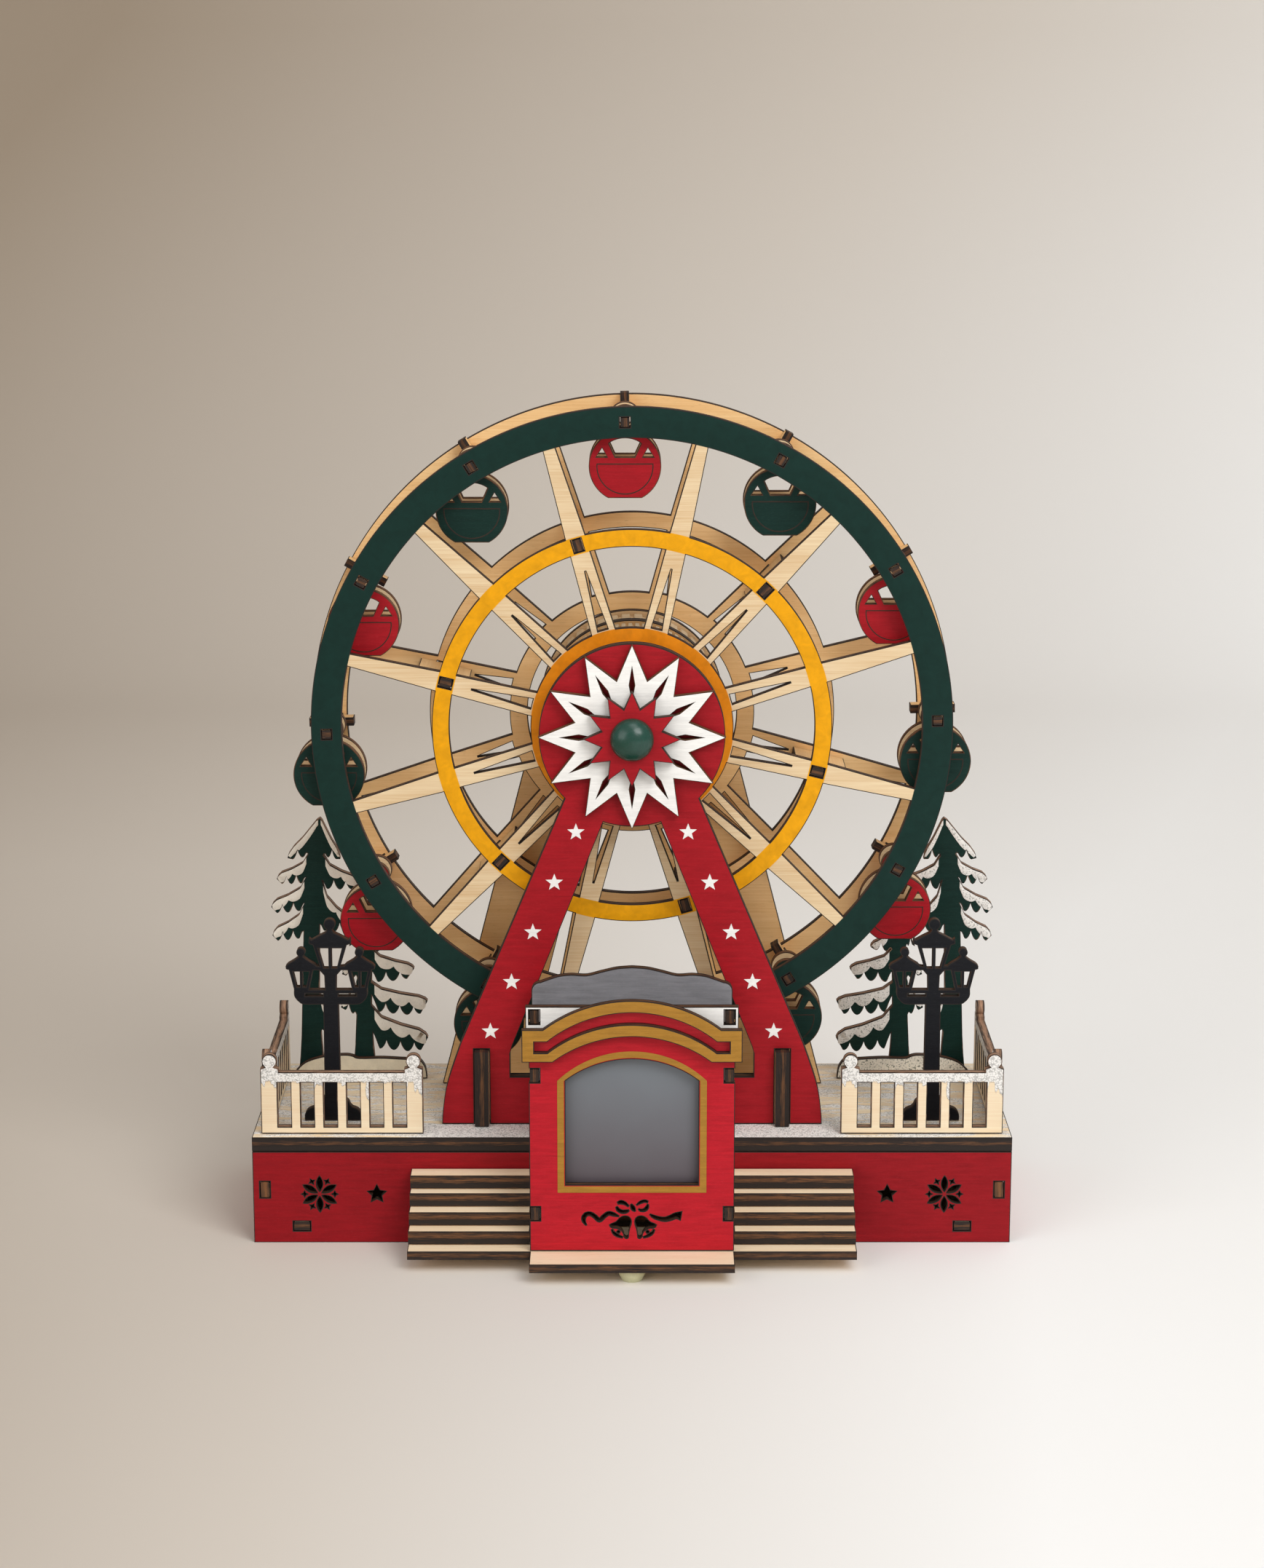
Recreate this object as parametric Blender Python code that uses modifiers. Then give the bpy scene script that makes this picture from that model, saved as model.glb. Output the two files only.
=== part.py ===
"""A light-up wooden ferris wheel, laser-cut from plywood boards and slotted together.

Blender 4.5 script, metres, +Z up. The front of the object looks along -Y. The origin is on the surface
that the object stands on, under the middle of its box. Depths are measured back from the base's front
face, and heights up from that surface.
"""
import math

import bmesh
import bpy
from mathutils import Matrix, Vector

MM = 0.001

# Boards and clearances
PLY = 3.0 * MM                      # thin plywood: panels, wheel plates, fences, trees
THICK_PLY = 4.85 * MM               # thick plywood: deck, stairs, frames, braces
GAP = 0.3 * MM                      # clearance between two boards that touch
SLOT_PLAY = 0.3 * MM                # clearance on each side of a tab in its slot
SEAT = 0.5 * MM                     # how far a glued board is let into its neighbour
TAB_PROUD = 0.2 * MM                # how far a glued tab stands out behind its board

# Base
BASE_WIDTH = 259.6 * MM
BASE_DEPTH = 84.0 * MM
DECK_BOTTOM = 33.0 * MM
SIDE_PANEL_INSET = 2.6 * MM
PLATE_BOTTOM = 4.4 * MM
STAIR_WIDTH = 150.8 * MM
STAIR_REACHES = (7.6 * MM, 11.8 * MM, 17.2 * MM, 22.5 * MM)
STAIR_PLATE_REACH = 28.6 * MM
BOOTH_PLATE_REACH = 40.8 * MM
SNOWFLAKE_INSET = 22.8 * MM         # from the end of the panel to the middle of the snowflake
SNOWFLAKE_HEIGHT = 17.5 * MM
SNOWFLAKE_RADIUS = 6.9 * MM
PANEL_STAR_INSET = 42.4 * MM
PANEL_STAR_RADIUS = 3.6 * MM
SIDE_TAB_HEIGHT = 19.1 * MM
SIDE_TAB_LENGTH = 5.4 * MM
PLATE_TAB_INSET = 16.5 * MM
PLATE_TAB_LENGTH = 5.4 * MM
FOOT_RADIUS = 4.5 * MM
STAIR_BRIDGE = 4.7 * MM              # strip that joins the two sides of a stair board behind the booth

# Booth
BOOTH_WIDTH = 68.3 * MM
BOOTH_FACE_REACH = 28.5 * MM        # how far the booth's front panel stands in front of the base
BOOTH_BACK_DEPTH = 5.0 * MM
WINDOW_WIDTH = 44.2 * MM
WINDOW_BOTTOM = 30.9 * MM
WINDOW_SPRING = 67.2 * MM
WINDOW_RISE = 7.5 * MM
PANE_THICKNESS = 2.0 * MM
PANE_LAP = 2.6 * MM
CORNICE_HALF = 36.4 * MM
CORNICE_BOTTOM = 74.5 * MM
CORNICE_SHOULDER = 85.6 * MM
CORNICE_TOP = 95.6 * MM
CORNICE_BAND = 4.1 * MM
GABLE_HALF = 35.3 * MM
GABLE_TOP = 91.7 * MM
WALL_TAB_LOW = 20.75 * MM
WALL_TAB_HIGH = 69.0 * MM
WALL_TAB_GABLE = 88.2 * MM
WALL_TAB_LENGTH = 4.4 * MM
BACK_BOARD_TOP = 96.7 * MM
BACK_BOARD_SHOULDER = 91.4 * MM

# Frames
HEAD_RADIUS = 31.4 * MM
FRONT_FRAME_DEPTH = 14.0 * MM
REAR_FRAME_DEPTH = 59.8 * MM
FOOT_HALF = 65.5 * MM
LEG_INNER_FOOT = 41.9 * MM
SILL_HEIGHT = 55.0 * MM
REAR_FOOT_HALF = 67.8 * MM
REAR_LEG_INNER_FOOT = 37.1 * MM
REAR_SILL_HEIGHT = 50.0 * MM
BRACE_X = 51.7 * MM
BRACE_TOP = 64.8 * MM
BRACE_PROUD = 3.2 * MM
BRACE_TAIL = 6.0 * MM

# Rosette
WHITE_STAR_TIP = 31.6 * MM
WHITE_STAR_NOTCH = 20.0 * MM
KITE_OUTER = 24.3 * MM
KITE_WIDEST = 17.9 * MM
KITE_INNER = 12.6 * MM
KITE_HALF_WIDTH = 0.85 * MM
RED_STAR_TIP = 16.3 * MM
RED_STAR_NOTCH = 10.5 * MM
KNOB_RADIUS = 7.3 * MM
KNOB_HEIGHT = 5.6 * MM
STAR_POINTS = 12

# Wheel
WHEEL_DEPTH = 27.0 * MM             # front face of the front plate, behind the base's front
PLATE_SPACING = 26.5 * MM           # front face to front face of the two plates
WHEEL_PHASE = 1.3                   # degrees by which the wheel stands turned
SPOKES = 12
RIM_OUTER = 109.25 * MM
RIM_INNER = 98.8 * MM
RING_OUTER = 68.1 * MM
RING_INNER = 62.15 * MM
HUB_OUTER = 34.55 * MM
REAR_RIM_OUTER = 110.8 * MM
REAR_RIM_INNER = 99.0 * MM
REAR_RING_OUTER = 70.3 * MM
REAR_RING_INNER = 64.9 * MM
REAR_HUB_OUTER = 42.5 * MM
REAR_HUB_INNER = 36.3 * MM
SPOKE_RIM_WIDTH = 4.4 * MM
SPOKE_RING_WIDTH = 7.0 * MM
SPOKE_HUB_WIDTH = 8.5 * MM
VEE_TIP_RADIUS = 56.0 * MM
VEE_HUB_WIDTH = 3.6 * MM
PIVOT_RADIUS = 104.0 * MM
HANGER_NECK = 3.0 * MM
HANGER_STOP_DEPTH = 21.0 * MM
HANGER_STOP_INNER = 96.4 * MM
HANGER_STOP_OUTER = 111.8 * MM
HANGER_REAR_TAB = 6.0 * MM
SPACER_INNER = 57.5 * MM
SPACER_OUTER = 75.5 * MM
SPACER_TAB = 4.0 * MM
HUB_DRUM_RADIUS = 31.0 * MM
AXLE_RADIUS = 3.0 * MM
AXLE_CLEARANCE = 0.3 * MM
COLLAR_RADIUS = 7.0 * MM

# Gondolas, measured from their pivot
CABIN_RADIUS = 12.2 * MM
CABIN_DROP = 15.4 * MM
CABIN_FLAT = 10.8 * MM
LOBE_RADIUS = 5.2 * MM
LOBE_HOLE = 2.5 * MM
CABIN_FRONT_GAP = 6.0 * MM          # behind the wheel's front face
CABIN_SPACING = 10.0 * MM
CABIN_CLEARANCE = 7.05 * MM         # between the lowest gondola and the deck
BENCH_WIDTH = 17.0 * MM
BENCH_DROP = 17.4 * MM

# Drive housing and what is in it
HOUSING_RADIUS = 31.0 * MM
HOUSING_LENGTH = 11.0 * MM
HOUSING_COVER_RADIUS = 32.2 * MM
MOTOR_RADIUS = 13.0 * MM
MOTOR_CAN_RADIUS = 9.0 * MM
HOUSING_GAP_ANGLE = 230.0            # where the wires leave the housing wall
HOUSING_GAP_WIDTH = 10.0             # degrees

# Garden
FENCE_INSET = 3.0 * MM              # from the end of the deck to the side fence
FENCE_LENGTH = 55.4 * MM
FENCE_DEPTH = 3.5 * MM
SIDE_FENCE_END = 72.0 * MM
FENCE_POST = 5.1 * MM
FENCE_FLARE = 0.6 * MM
FENCE_BALUSTER = 3.3 * MM
FENCE_SILL = 2.3 * MM
FENCE_RAIL_LOW = 18.2 * MM
FENCE_RAIL_HIGH = 21.8 * MM
FENCE_BALL_RADIUS = 2.5 * MM
FENCE_POST_TOP = 28.3 * MM
FRONT_BALUSTERS = 5
SIDE_BALUSTERS = 8
LAMP_INSET = 23.3 * MM              # from the side fence to the middle of the lamp
LAMP_HEIGHT = 72.1 * MM
LAMP_DEPTH = 17.8 * MM
TREE_DEPTH = 68.7 * MM
TREE_INSET = 11.3 * MM              # from the side fence to the middle of the tall tree
TREE_SPACING = 19.0 * MM
GROVE_FOOT = 5.0 * MM
TRUNK_FLARE = 2.0 * MM              # how much wider a trunk is at its foot, on each side
BRANCH_SHORT = 5.0 * MM             # a branch of this length has fingers that don't hang below its tip
BRANCH_HANG = 0.4                   # how much lower they hang for each step of length beyond it
FINGER = 3.4 * MM                   # from the bottom of a finger to the notch beside it
TALL_HEIGHT = 95.5 * MM
TALL_HALF = 2.85 * MM
TALL_LEAN = 4.6 * MM
SHORT_HEIGHT = 69.0 * MM
SHORT_HALF = 2.6 * MM
SHORT_LEAN = 3.0 * MM
MOUND_INSET = 28.6 * MM             # from the side fence to the middle of the mound
MOUND_HALF = 24.4 * MM
MOUND_HEIGHT = 8.7 * MM

# Tiers of branches from the top down: height of the root, reach of the tip from the foot's middle, height
# of the tip, and height where the branch ends at the trunk, as shares of the tree's height
TALL_OUTER = (
    (1.000, 0.075, 0.847, 0.863), (0.863, 0.117, 0.767, 0.773), (0.773, 0.140, 0.658, 0.674),
    (0.674, 0.138, 0.548, 0.564))
TALL_INNER = (
    (1.000, 0.122, 0.843, 0.857), (0.857, 0.185, 0.755, 0.762), (0.762, 0.152, 0.585, 0.591),
    (0.330, 0.094, 0.200, 0.170))
SHORT_INNER = (
    (1.000, 0.130, 0.810, 0.800), (0.800, 0.160, 0.696, 0.685), (0.685, 0.266, 0.580, 0.565),
    (0.507, 0.333, 0.404, 0.436), (0.378, 0.333, 0.206, 0.237))
SHORT_OUTER = (
    (1.000, 0.070, 0.700, 0.690), (0.690, 0.110, 0.550, 0.530), (0.530, 0.118, 0.370, 0.330))
# How a branch's upper edge falls: share of its length, and of the height from the tip to the root
BRANCH_TOP = ((0.0, 1.0), (0.17, 0.65), (0.52, 0.41), (0.84, 0.26), (0.96, 0.12), (1.0, 0.0))
CROWN_TOP = ((0.0, 1.0), (0.1, 0.95), (0.53, 0.52), (0.8, 0.3), (0.957, 0.12), (1.0, 0.0))

# Power and light
CELL_RADIUS = 7.1 * MM
CELL_LENGTH = 50.0 * MM
CELL_COUNT = 2
BOX_WALL = 1.5 * MM
BATTERY_X = -60.0 * MM
HATCH_MARGIN = 2.0 * MM
SWITCH_X = 60.0 * MM
SWITCH_HEIGHT = 18.0 * MM
SWITCH_SLOT = (10.0 * MM, 5.0 * MM)
SWITCH_TRAVEL = 4.0 * MM
SWITCH_BODY = (16.0 * MM, 6.0 * MM, 8.0 * MM)
SLIDER_SIZE = (4.5 * MM, 3.8 * MM)
WIRE_RADIUS = 0.9 * MM
WIRE_HOLE = 1.5 * MM
WIRE_BEND = 2.4 * MM
WIRE_SHIFT = 9.0 * MM                # wire hole beside the middle of the battery box
LIGHT_RADIUS = 2.5 * MM
LIGHT_LENGTH = 2.4 * MM
LIGHT_BOARD_SIZE = (24.0 * MM, 16.0 * MM, 1.6 * MM)
LIGHT_BOARD_HEIGHT = 58.0 * MM

# Worked out from the sizes above
FRONT_Y = (BOOTH_PLATE_REACH - BASE_DEPTH) / 2
DECK_TOP = DECK_BOTTOM + THICK_PLY
FLOOR = DECK_TOP + GAP              # where a board that stands on the deck begins
AXLE_HEIGHT = DECK_TOP + CABIN_CLEARANCE + CABIN_FLAT + CABIN_DROP + PIVOT_RADIUS
FENCE_OUTER = BASE_WIDTH / 2 - FENCE_INSET
FENCE_INNER = FENCE_OUTER - FENCE_LENGTH
SNOWFLAKE_X = BASE_WIDTH / 2 - SNOWFLAKE_INSET
PANEL_STAR_X = BASE_WIDTH / 2 - PANEL_STAR_INSET
PLATE_TAB_X = BASE_WIDTH / 2 - PLATE_TAB_INSET
LAMP_X = FENCE_OUTER - LAMP_INSET
TALL_X = FENCE_OUTER - TREE_INSET
MOUND_X = FENCE_OUTER - MOUND_INSET
PLATE_TOP = PLATE_BOTTOM + PLY
WHEEL_Y = FRONT_Y + WHEEL_DEPTH

# Colours as painted or printed, linear values
PAINT = {
    "red_paint": (0.36, 0.010, 0.020),
    "dark_green_paint": (0.010, 0.040, 0.032),
    "gold_paint": (0.40, 0.19, 0.035),
    "white_paint": (0.75, 0.73, 0.70),
    "grey_paint": (0.20, 0.20, 0.21),
    "black_paint": (0.010, 0.010, 0.012),
    "birch_ply": (0.70, 0.48, 0.27),
}
METAL = {"steel": (0.55, 0.55, 0.56)}
PLASTIC = {
    "frosted_acrylic": (0.16, 0.17, 0.19),
    "clear_rubber": (0.70, 0.70, 0.66),
    "black_plastic": (0.02, 0.02, 0.02),
    "cell_wrap": (0.05, 0.12, 0.20),
    "circuit_board": (0.03, 0.16, 0.06),
    "wire_cover": (0.45, 0.03, 0.03),
}


def clear_scene():
    for thing in list(bpy.data.objects):
        bpy.data.objects.remove(thing, do_unlink=True)


def make_material(name, color, roughness, metallic=0.0):
    material = bpy.data.materials.new(name)
    material.use_nodes = True
    shader = material.node_tree.nodes["Principled BSDF"]
    shader.inputs["Base Color"].default_value = (*color, 1.0)
    shader.inputs["Roughness"].default_value = roughness
    shader.inputs["Metallic"].default_value = metallic
    return material


def make_materials():
    table = {name: make_material(name, color, 0.7) for name, color in PAINT.items()}
    table.update({name: make_material(name, color, 0.3, 1.0) for name, color in METAL.items()})
    table.update({name: make_material(name, color, 0.5) for name, color in PLASTIC.items()})
    return table


# Placing: how a flat drawing with its own x and y stands in the world
def facing_front(y_middle, x=0.0, z=0.0):
    """Drawing x to the right and y up, the board's middle plane at y_middle."""
    return Matrix.Translation((x, y_middle, z)) @ Matrix.Rotation(math.pi / 2, 4, "X")


def facing_side(x_middle, z=0.0):
    """Drawing x towards the back and y up, the board's middle plane at x_middle."""
    turn = Matrix(((0, 0, 1, x_middle), (1, 0, 0, 0), (0, 1, 0, z), (0, 0, 0, 1)))
    return turn


def lying(z_middle):
    """Drawing x to the right and y to the back, the board's middle plane at z_middle."""
    return Matrix.Translation((0, 0, z_middle))


def along_radius(degrees):
    """Drawing x towards the back and y outwards from the axle, turned about the axle."""
    turn = Matrix.Rotation(-math.radians(degrees - 90.0), 4, "Y")
    return Matrix.Translation((0, 0, AXLE_HEIGHT)) @ turn @ facing_side(0.0)


# Drawings: lists of (x, y) points
def polar(radius, degrees, centre=(0.0, 0.0)):
    angle = math.radians(degrees)
    return (centre[0] + radius * math.cos(angle), centre[1] + radius * math.sin(angle))


def arc(radius, start, end, steps, centre=(0.0, 0.0)):
    return [polar(radius, start + (end - start) * i / steps, centre) for i in range(steps + 1)]


def circle(radius, steps, centre=(0.0, 0.0)):
    return arc(radius, 0.0, 360.0, steps, centre)[:-1]


def rectangle(x0, y0, x1, y1):
    return [(x0, y0), (x1, y0), (x1, y1), (x0, y1)]


def star(tip, notch, points, start=90.0, centre=(0.0, 0.0)):
    step = 180.0 / points
    return [polar(notch if i % 2 else tip, start + step * i, centre) for i in range(2 * points)]


def mirrored(half):
    """A right half drawn from bottom to top, closed by its mirror image on the left."""
    return half + [(-x, y) for x, y in reversed(half)]


def moved(points, dx, dy, degrees=0.0):
    c, s = math.cos(math.radians(degrees)), math.sin(math.radians(degrees))
    return [(dx + c * x - s * y, dy + s * x + c * y) for x, y in points]


def flipped(points):
    return [(-x, y) for x, y in points]


def arch(half_width, spring, rise, steps):
    """The points of a shallow arch from right to left, its ends at the spring line."""
    radius = (half_width ** 2 + rise ** 2) / (2 * rise)
    lean = math.degrees(math.asin(half_width / radius))
    return arc(radius, 90.0 - lean, 90.0 + lean, steps, (0.0, spring + rise - radius))


# Solids
def weld(mesh):
    work = bmesh.new()
    work.from_mesh(mesh)
    bmesh.ops.remove_doubles(work, verts=work.verts, dist=0.002 * MM)
    bmesh.ops.recalc_face_normals(work, faces=work.faces)
    work.to_mesh(mesh)
    work.free()
    mesh.shade_smooth()
    mesh.set_sharp_from_angle(angle=math.radians(35.0))
    return mesh


def evaluated_mesh(form):
    """The form's mesh as its modifiers leave it. The form itself is removed."""
    graph = bpy.context.evaluated_depsgraph_get()
    mesh = bpy.data.meshes.new_from_object(form.evaluated_get(graph))
    bpy.data.objects.remove(form, do_unlink=True)
    return weld(mesh)


def temporary(name, data):
    form = bpy.data.objects.new(name, data)
    bpy.context.scene.collection.objects.link(form)
    return form


def curve_of(name, splines, closed):
    curve = bpy.data.curves.new(name, "CURVE")
    for points in splines:
        spline = curve.splines.new("POLY")
        spline.points.add(len(points) - 1)
        for point, place in zip(spline.points, points):
            point.co = (*place, 1.0) if len(place) == 3 else (*place, 0.0, 1.0)
        spline.use_cyclic_u = closed
    return curve


def board_mesh(name, outline, thickness, holes=()):
    """A flat drawing cut out of a board: a filled 2D curve, extruded by half the thickness each way."""
    curve = curve_of(name, (outline, *holes), True)
    curve.dimensions = "2D"
    curve.fill_mode = "BOTH"
    curve.extrude = thickness / 2
    return evaluated_mesh(temporary(name, curve))


def drawn_board(name, drawing, thickness):
    outline, holes = drawing
    return board_mesh(name, outline, thickness, holes)


def tube_mesh(name, points, radius):
    curve = curve_of(name, [points], False)
    curve.dimensions = "3D"
    curve.bevel_depth = radius
    curve.bevel_resolution = 2
    curve.use_fill_caps = True
    return evaluated_mesh(temporary(name, curve))


def smooth_route(corners, radius):
    """Points along a route with its corners rounded by quadratic curves of about this reach."""
    corners = [Vector(corner) for corner in corners]
    points = [corners[0]]
    for before, corner, after in zip(corners, corners[1:], corners[2:]):
        reach = min(radius, (corner - before).length * 0.45, (after - corner).length * 0.45)
        start = corner + (before - corner).normalized() * reach
        end = corner + (after - corner).normalized() * reach
        points += [start.lerp(corner, t).lerp(corner.lerp(end, t), t) for t in (0.0, 0.5, 1.0)]
    points.append(corners[-1])
    return [tuple(point) for point in points]


def cylinder_mesh(name, radius, length, steps, hole=0.0):
    """A disc or pin, or a ring where a hole is given, lying on the XY plane about its middle."""
    holes = [circle(hole, steps)] if hole else []
    return board_mesh(name, circle(radius, steps), length, holes)


def box_mesh(name, low, high):
    work = bmesh.new()
    bmesh.ops.create_cube(work, size=1.0)
    size = [b - a for a, b in zip(low, high)]
    middle = [(a + b) / 2 for a, b in zip(low, high)]
    bmesh.ops.scale(work, vec=size, verts=work.verts)
    bmesh.ops.translate(work, vec=middle, verts=work.verts)
    mesh = bpy.data.meshes.new(name)
    work.to_mesh(mesh)
    work.free()
    return mesh


def turned_mesh(name, profile, steps):
    """A profile of (radius, height) points from top to bottom, turned about Z with a Screw modifier."""
    mesh = bpy.data.meshes.new(name)
    edges = [(i, i + 1) for i in range(len(profile) - 1)]
    mesh.from_pydata([(r, 0.0, h) for r, h in profile], edges, [])
    form = temporary(name, mesh)
    screw = form.modifiers.new("turn", "SCREW")
    screw.steps = steps
    screw.render_steps = steps
    screw.use_merge_vertices = True
    screw.merge_threshold = 0.01 * MM
    return evaluated_mesh(form)


def combined_mesh(name, first, second, operation):
    """Two meshes joined into one body, or the second cut out of the first, with a Boolean modifier."""
    form = temporary(name, first)
    other = temporary(name + "_tool", second)
    boolean = form.modifiers.new("combine", "BOOLEAN")
    boolean.operation = operation
    boolean.solver = "MANIFOLD"         # the exact solver leaves open edges on boards in one plane
    boolean.object = other
    graph = bpy.context.evaluated_depsgraph_get()
    mesh = bpy.data.meshes.new_from_object(form.evaluated_get(graph))
    for thing in (form, other):
        bpy.data.objects.remove(thing, do_unlink=True)
    return weld(mesh)


def joined_mesh(name, pieces):
    """Several shapes in one mesh, each given as (mesh, matrix), ready to be combined with another."""
    work = bmesh.new()
    for mesh, matrix in pieces:
        copy = mesh.copy()
        copy.transform(matrix)
        work.from_mesh(copy)
        bpy.data.meshes.remove(copy)
    bmesh.ops.recalc_face_normals(work, faces=work.faces)
    result = bpy.data.meshes.new(name)
    work.to_mesh(result)
    work.free()
    return result


class Workshop:
    """Puts finished meshes into the object's collection under their names."""

    def __init__(self):
        self.materials = make_materials()
        self.collection = bpy.data.collections.new("wooden_ferris_wheel")
        bpy.context.scene.collection.children.link(self.collection)

    def add(self, thing, world, parent):
        """Link an object, under its parent if it has one. Every parent is an empty with no turn."""
        self.collection.objects.link(thing)
        thing["rest"] = [world.translation.x, world.translation.y, world.translation.z]
        if parent is not None:
            thing.parent = parent
            world = Matrix.Translation(-Vector(parent["rest"])) @ world
        thing.matrix_basis = world
        return thing

    def place(self, name, mesh, material, world=None, parent=None):
        part = bpy.data.objects.new(name, mesh)
        mesh.materials.clear()
        mesh.materials.append(self.materials[material])
        return self.add(part, world or Matrix.Identity(4), parent)

    def pivot(self, name, x, y, z, parent=None):
        return self.add(bpy.data.objects.new(name, None), Matrix.Translation((x, y, z)), parent)


# Base
def snowflake_holes(x):
    """Six long petals, and six small diamonds between their tips."""
    holes = []
    for k in range(6):
        turn = 90.0 + 60.0 * k
        petal = [polar(SNOWFLAKE_RADIUS * 0.13, turn), polar(SNOWFLAKE_RADIUS * 0.58, turn - 13.0),
                 polar(SNOWFLAKE_RADIUS, turn), polar(SNOWFLAKE_RADIUS * 0.58, turn + 13.0)]
        holes.append(moved(petal, x, SNOWFLAKE_HEIGHT))
        centre = polar(SNOWFLAKE_RADIUS * 0.82, turn + 30.0, (x, SNOWFLAKE_HEIGHT))
        holes.append(circle(SNOWFLAKE_RADIUS * 0.15, 4, centre))
    return holes


def tab_slot(x, y, width, height):
    """A slot round a tab that is centred on x, y."""
    w, h = width / 2 + SLOT_PLAY, height / 2 + SLOT_PLAY
    return rectangle(x - w, y - h, x + w, y + h)


def side_panel_x():
    return BASE_WIDTH / 2 - SIDE_PANEL_INSET - PLY / 2


def battery_box_size():
    """Outer width, length and height of the battery box, which holds the cells side by side."""
    width = CELL_COUNT * (2 * CELL_RADIUS + GAP) + GAP + 2 * BOX_WALL
    return width, CELL_LENGTH + 2 * GAP + BOX_WALL, 2 * CELL_RADIUS + 2 * GAP + 2 * BOX_WALL


def hatch_outline():
    width, _, height = battery_box_size()
    low = PLATE_TOP + GAP - HATCH_MARGIN + GAP
    half = width / 2 + HATCH_MARGIN
    return rectangle(BATTERY_X - half, low, BATTERY_X + half, low + height + 2 * HATCH_MARGIN)


def grown(points, by):
    """A rectangle made larger by the same amount on each side."""
    (x0, y0), _, (x1, y1), _ = points
    return rectangle(x0 - by, y0 - by, x1 + by, y1 + by)


def wire_hole():
    """Where the wires go through the deck behind the rear frame's left leg."""
    return BATTERY_X + WIRE_SHIFT, FRONT_Y + REAR_FRAME_DEPTH + THICK_PLY + GAP + WIRE_RADIUS


def panel_wire_hole():
    """Where the wires go through the front panel into the booth, between stairs and deck."""
    stair_top = PLATE_TOP + len(STAIR_REACHES) * THICK_PLY
    return WIRE_SHIFT - BOOTH_WIDTH / 2, (stair_top + DECK_BOTTOM) / 2


def base_panel_holes(with_snow):
    holes = []
    plate_middle = PLATE_BOTTOM + PLY / 2
    for side in (-1, 1):
        holes.append(tab_slot(side * side_panel_x(), SIDE_TAB_HEIGHT, PLY, SIDE_TAB_LENGTH))
        holes.append(tab_slot(side * PLATE_TAB_X, plate_middle, PLATE_TAB_LENGTH, PLY))
        if with_snow:
            holes += snowflake_holes(side * SNOWFLAKE_X)
            middle = (side * PANEL_STAR_X, SNOWFLAKE_HEIGHT)
            holes.append(star(PANEL_STAR_RADIUS, PANEL_STAR_RADIUS * 0.45, 5, 90.0, middle))
    return holes


def build_base(shop):
    half = BASE_WIDTH / 2
    back_y = FRONT_Y + BASE_DEPTH
    top = DECK_BOTTOM - GAP
    panel = rectangle(-half, 0.0, half, top)
    plate_middle = PLATE_BOTTOM + PLY / 2

    openings = [tab_slot(0.0, plate_middle, STAIR_WIDTH, PLY), circle(WIRE_HOLE, 12, panel_wire_hole())]
    front = board_mesh("base_front_panel", panel, PLY, base_panel_holes(True) + openings)
    shop.place("base_front_panel", front, "red_paint", facing_front(FRONT_Y + PLY / 2))

    hatch = hatch_outline()
    switch = tab_slot(SWITCH_X, SWITCH_HEIGHT, *SWITCH_SLOT)
    back = board_mesh("base_back_panel", panel, PLY, base_panel_holes(False) + [grown(hatch, GAP), switch])
    shop.place("base_back_panel", back, "red_paint", facing_front(back_y - PLY / 2))

    inner_front, inner_back = FRONT_Y + PLY + GAP, back_y - PLY - GAP
    low, high = SIDE_TAB_HEIGHT - SIDE_TAB_LENGTH / 2, SIDE_TAB_HEIGHT + SIDE_TAB_LENGTH / 2
    side = [(inner_front, 0.0), (inner_back, 0.0), (inner_back, low), (back_y, low),
            (back_y, high), (inner_back, high), (inner_back, top), (inner_front, top),
            (inner_front, high), (FRONT_Y, high), (FRONT_Y, low), (inner_front, low)]
    for name, sign in (("base_left_panel", -1), ("base_right_panel", 1)):
        mesh = board_mesh(name, side, PLY)
        shop.place(name, mesh, "red_paint", facing_side(sign * side_panel_x()))

    edge = rectangle(-half, FRONT_Y, half, back_y)
    deck = board_mesh("deck", edge, THICK_PLY, [circle(WIRE_HOLE, 12, wire_hole())])
    shop.place("deck", deck, "birch_ply", lying(DECK_BOTTOM + THICK_PLY / 2))
    build_bottom_plate(shop, inner_front, inner_back, back_y)


def build_bottom_plate(shop, inner_front, inner_back, back_y):
    """The bottom board, its tabs through the panels and its stepped tongue under stairs and booth."""
    half = side_panel_x() - PLY / 2 - GAP
    tab0, tab1 = PLATE_TAB_X - PLATE_TAB_LENGTH / 2, PLATE_TAB_X + PLATE_TAB_LENGTH / 2
    right = [(BOOTH_WIDTH / 2, FRONT_Y - BOOTH_PLATE_REACH), (BOOTH_WIDTH / 2, FRONT_Y - STAIR_PLATE_REACH),
             (STAIR_WIDTH / 2, FRONT_Y - STAIR_PLATE_REACH), (STAIR_WIDTH / 2, inner_front),
             (tab0, inner_front), (tab0, FRONT_Y), (tab1, FRONT_Y), (tab1, inner_front),
             (half, inner_front), (half, inner_back), (tab1, inner_back), (tab1, back_y),
             (tab0, back_y), (tab0, inner_back)]
    plate = board_mesh("bottom_plate", mirrored(right), PLY)
    shop.place("bottom_plate", plate, "birch_ply", lying(PLATE_BOTTOM + PLY / 2))

    height = PLATE_BOTTOM - GAP
    profile = [(0.0, height), (FOOT_RADIUS, height), (FOOT_RADIUS, height * 0.55),
               (FOOT_RADIUS * 0.75, 0.0), (0.0, 0.0)]
    foot = turned_mesh("booth_foot", profile, 20)
    middle = FRONT_Y - (BOOTH_FACE_REACH + BOOTH_PLATE_REACH) / 2
    shop.place("booth_foot", foot, "clear_rubber", Matrix.Translation((0.0, middle, 0.0)))


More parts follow.
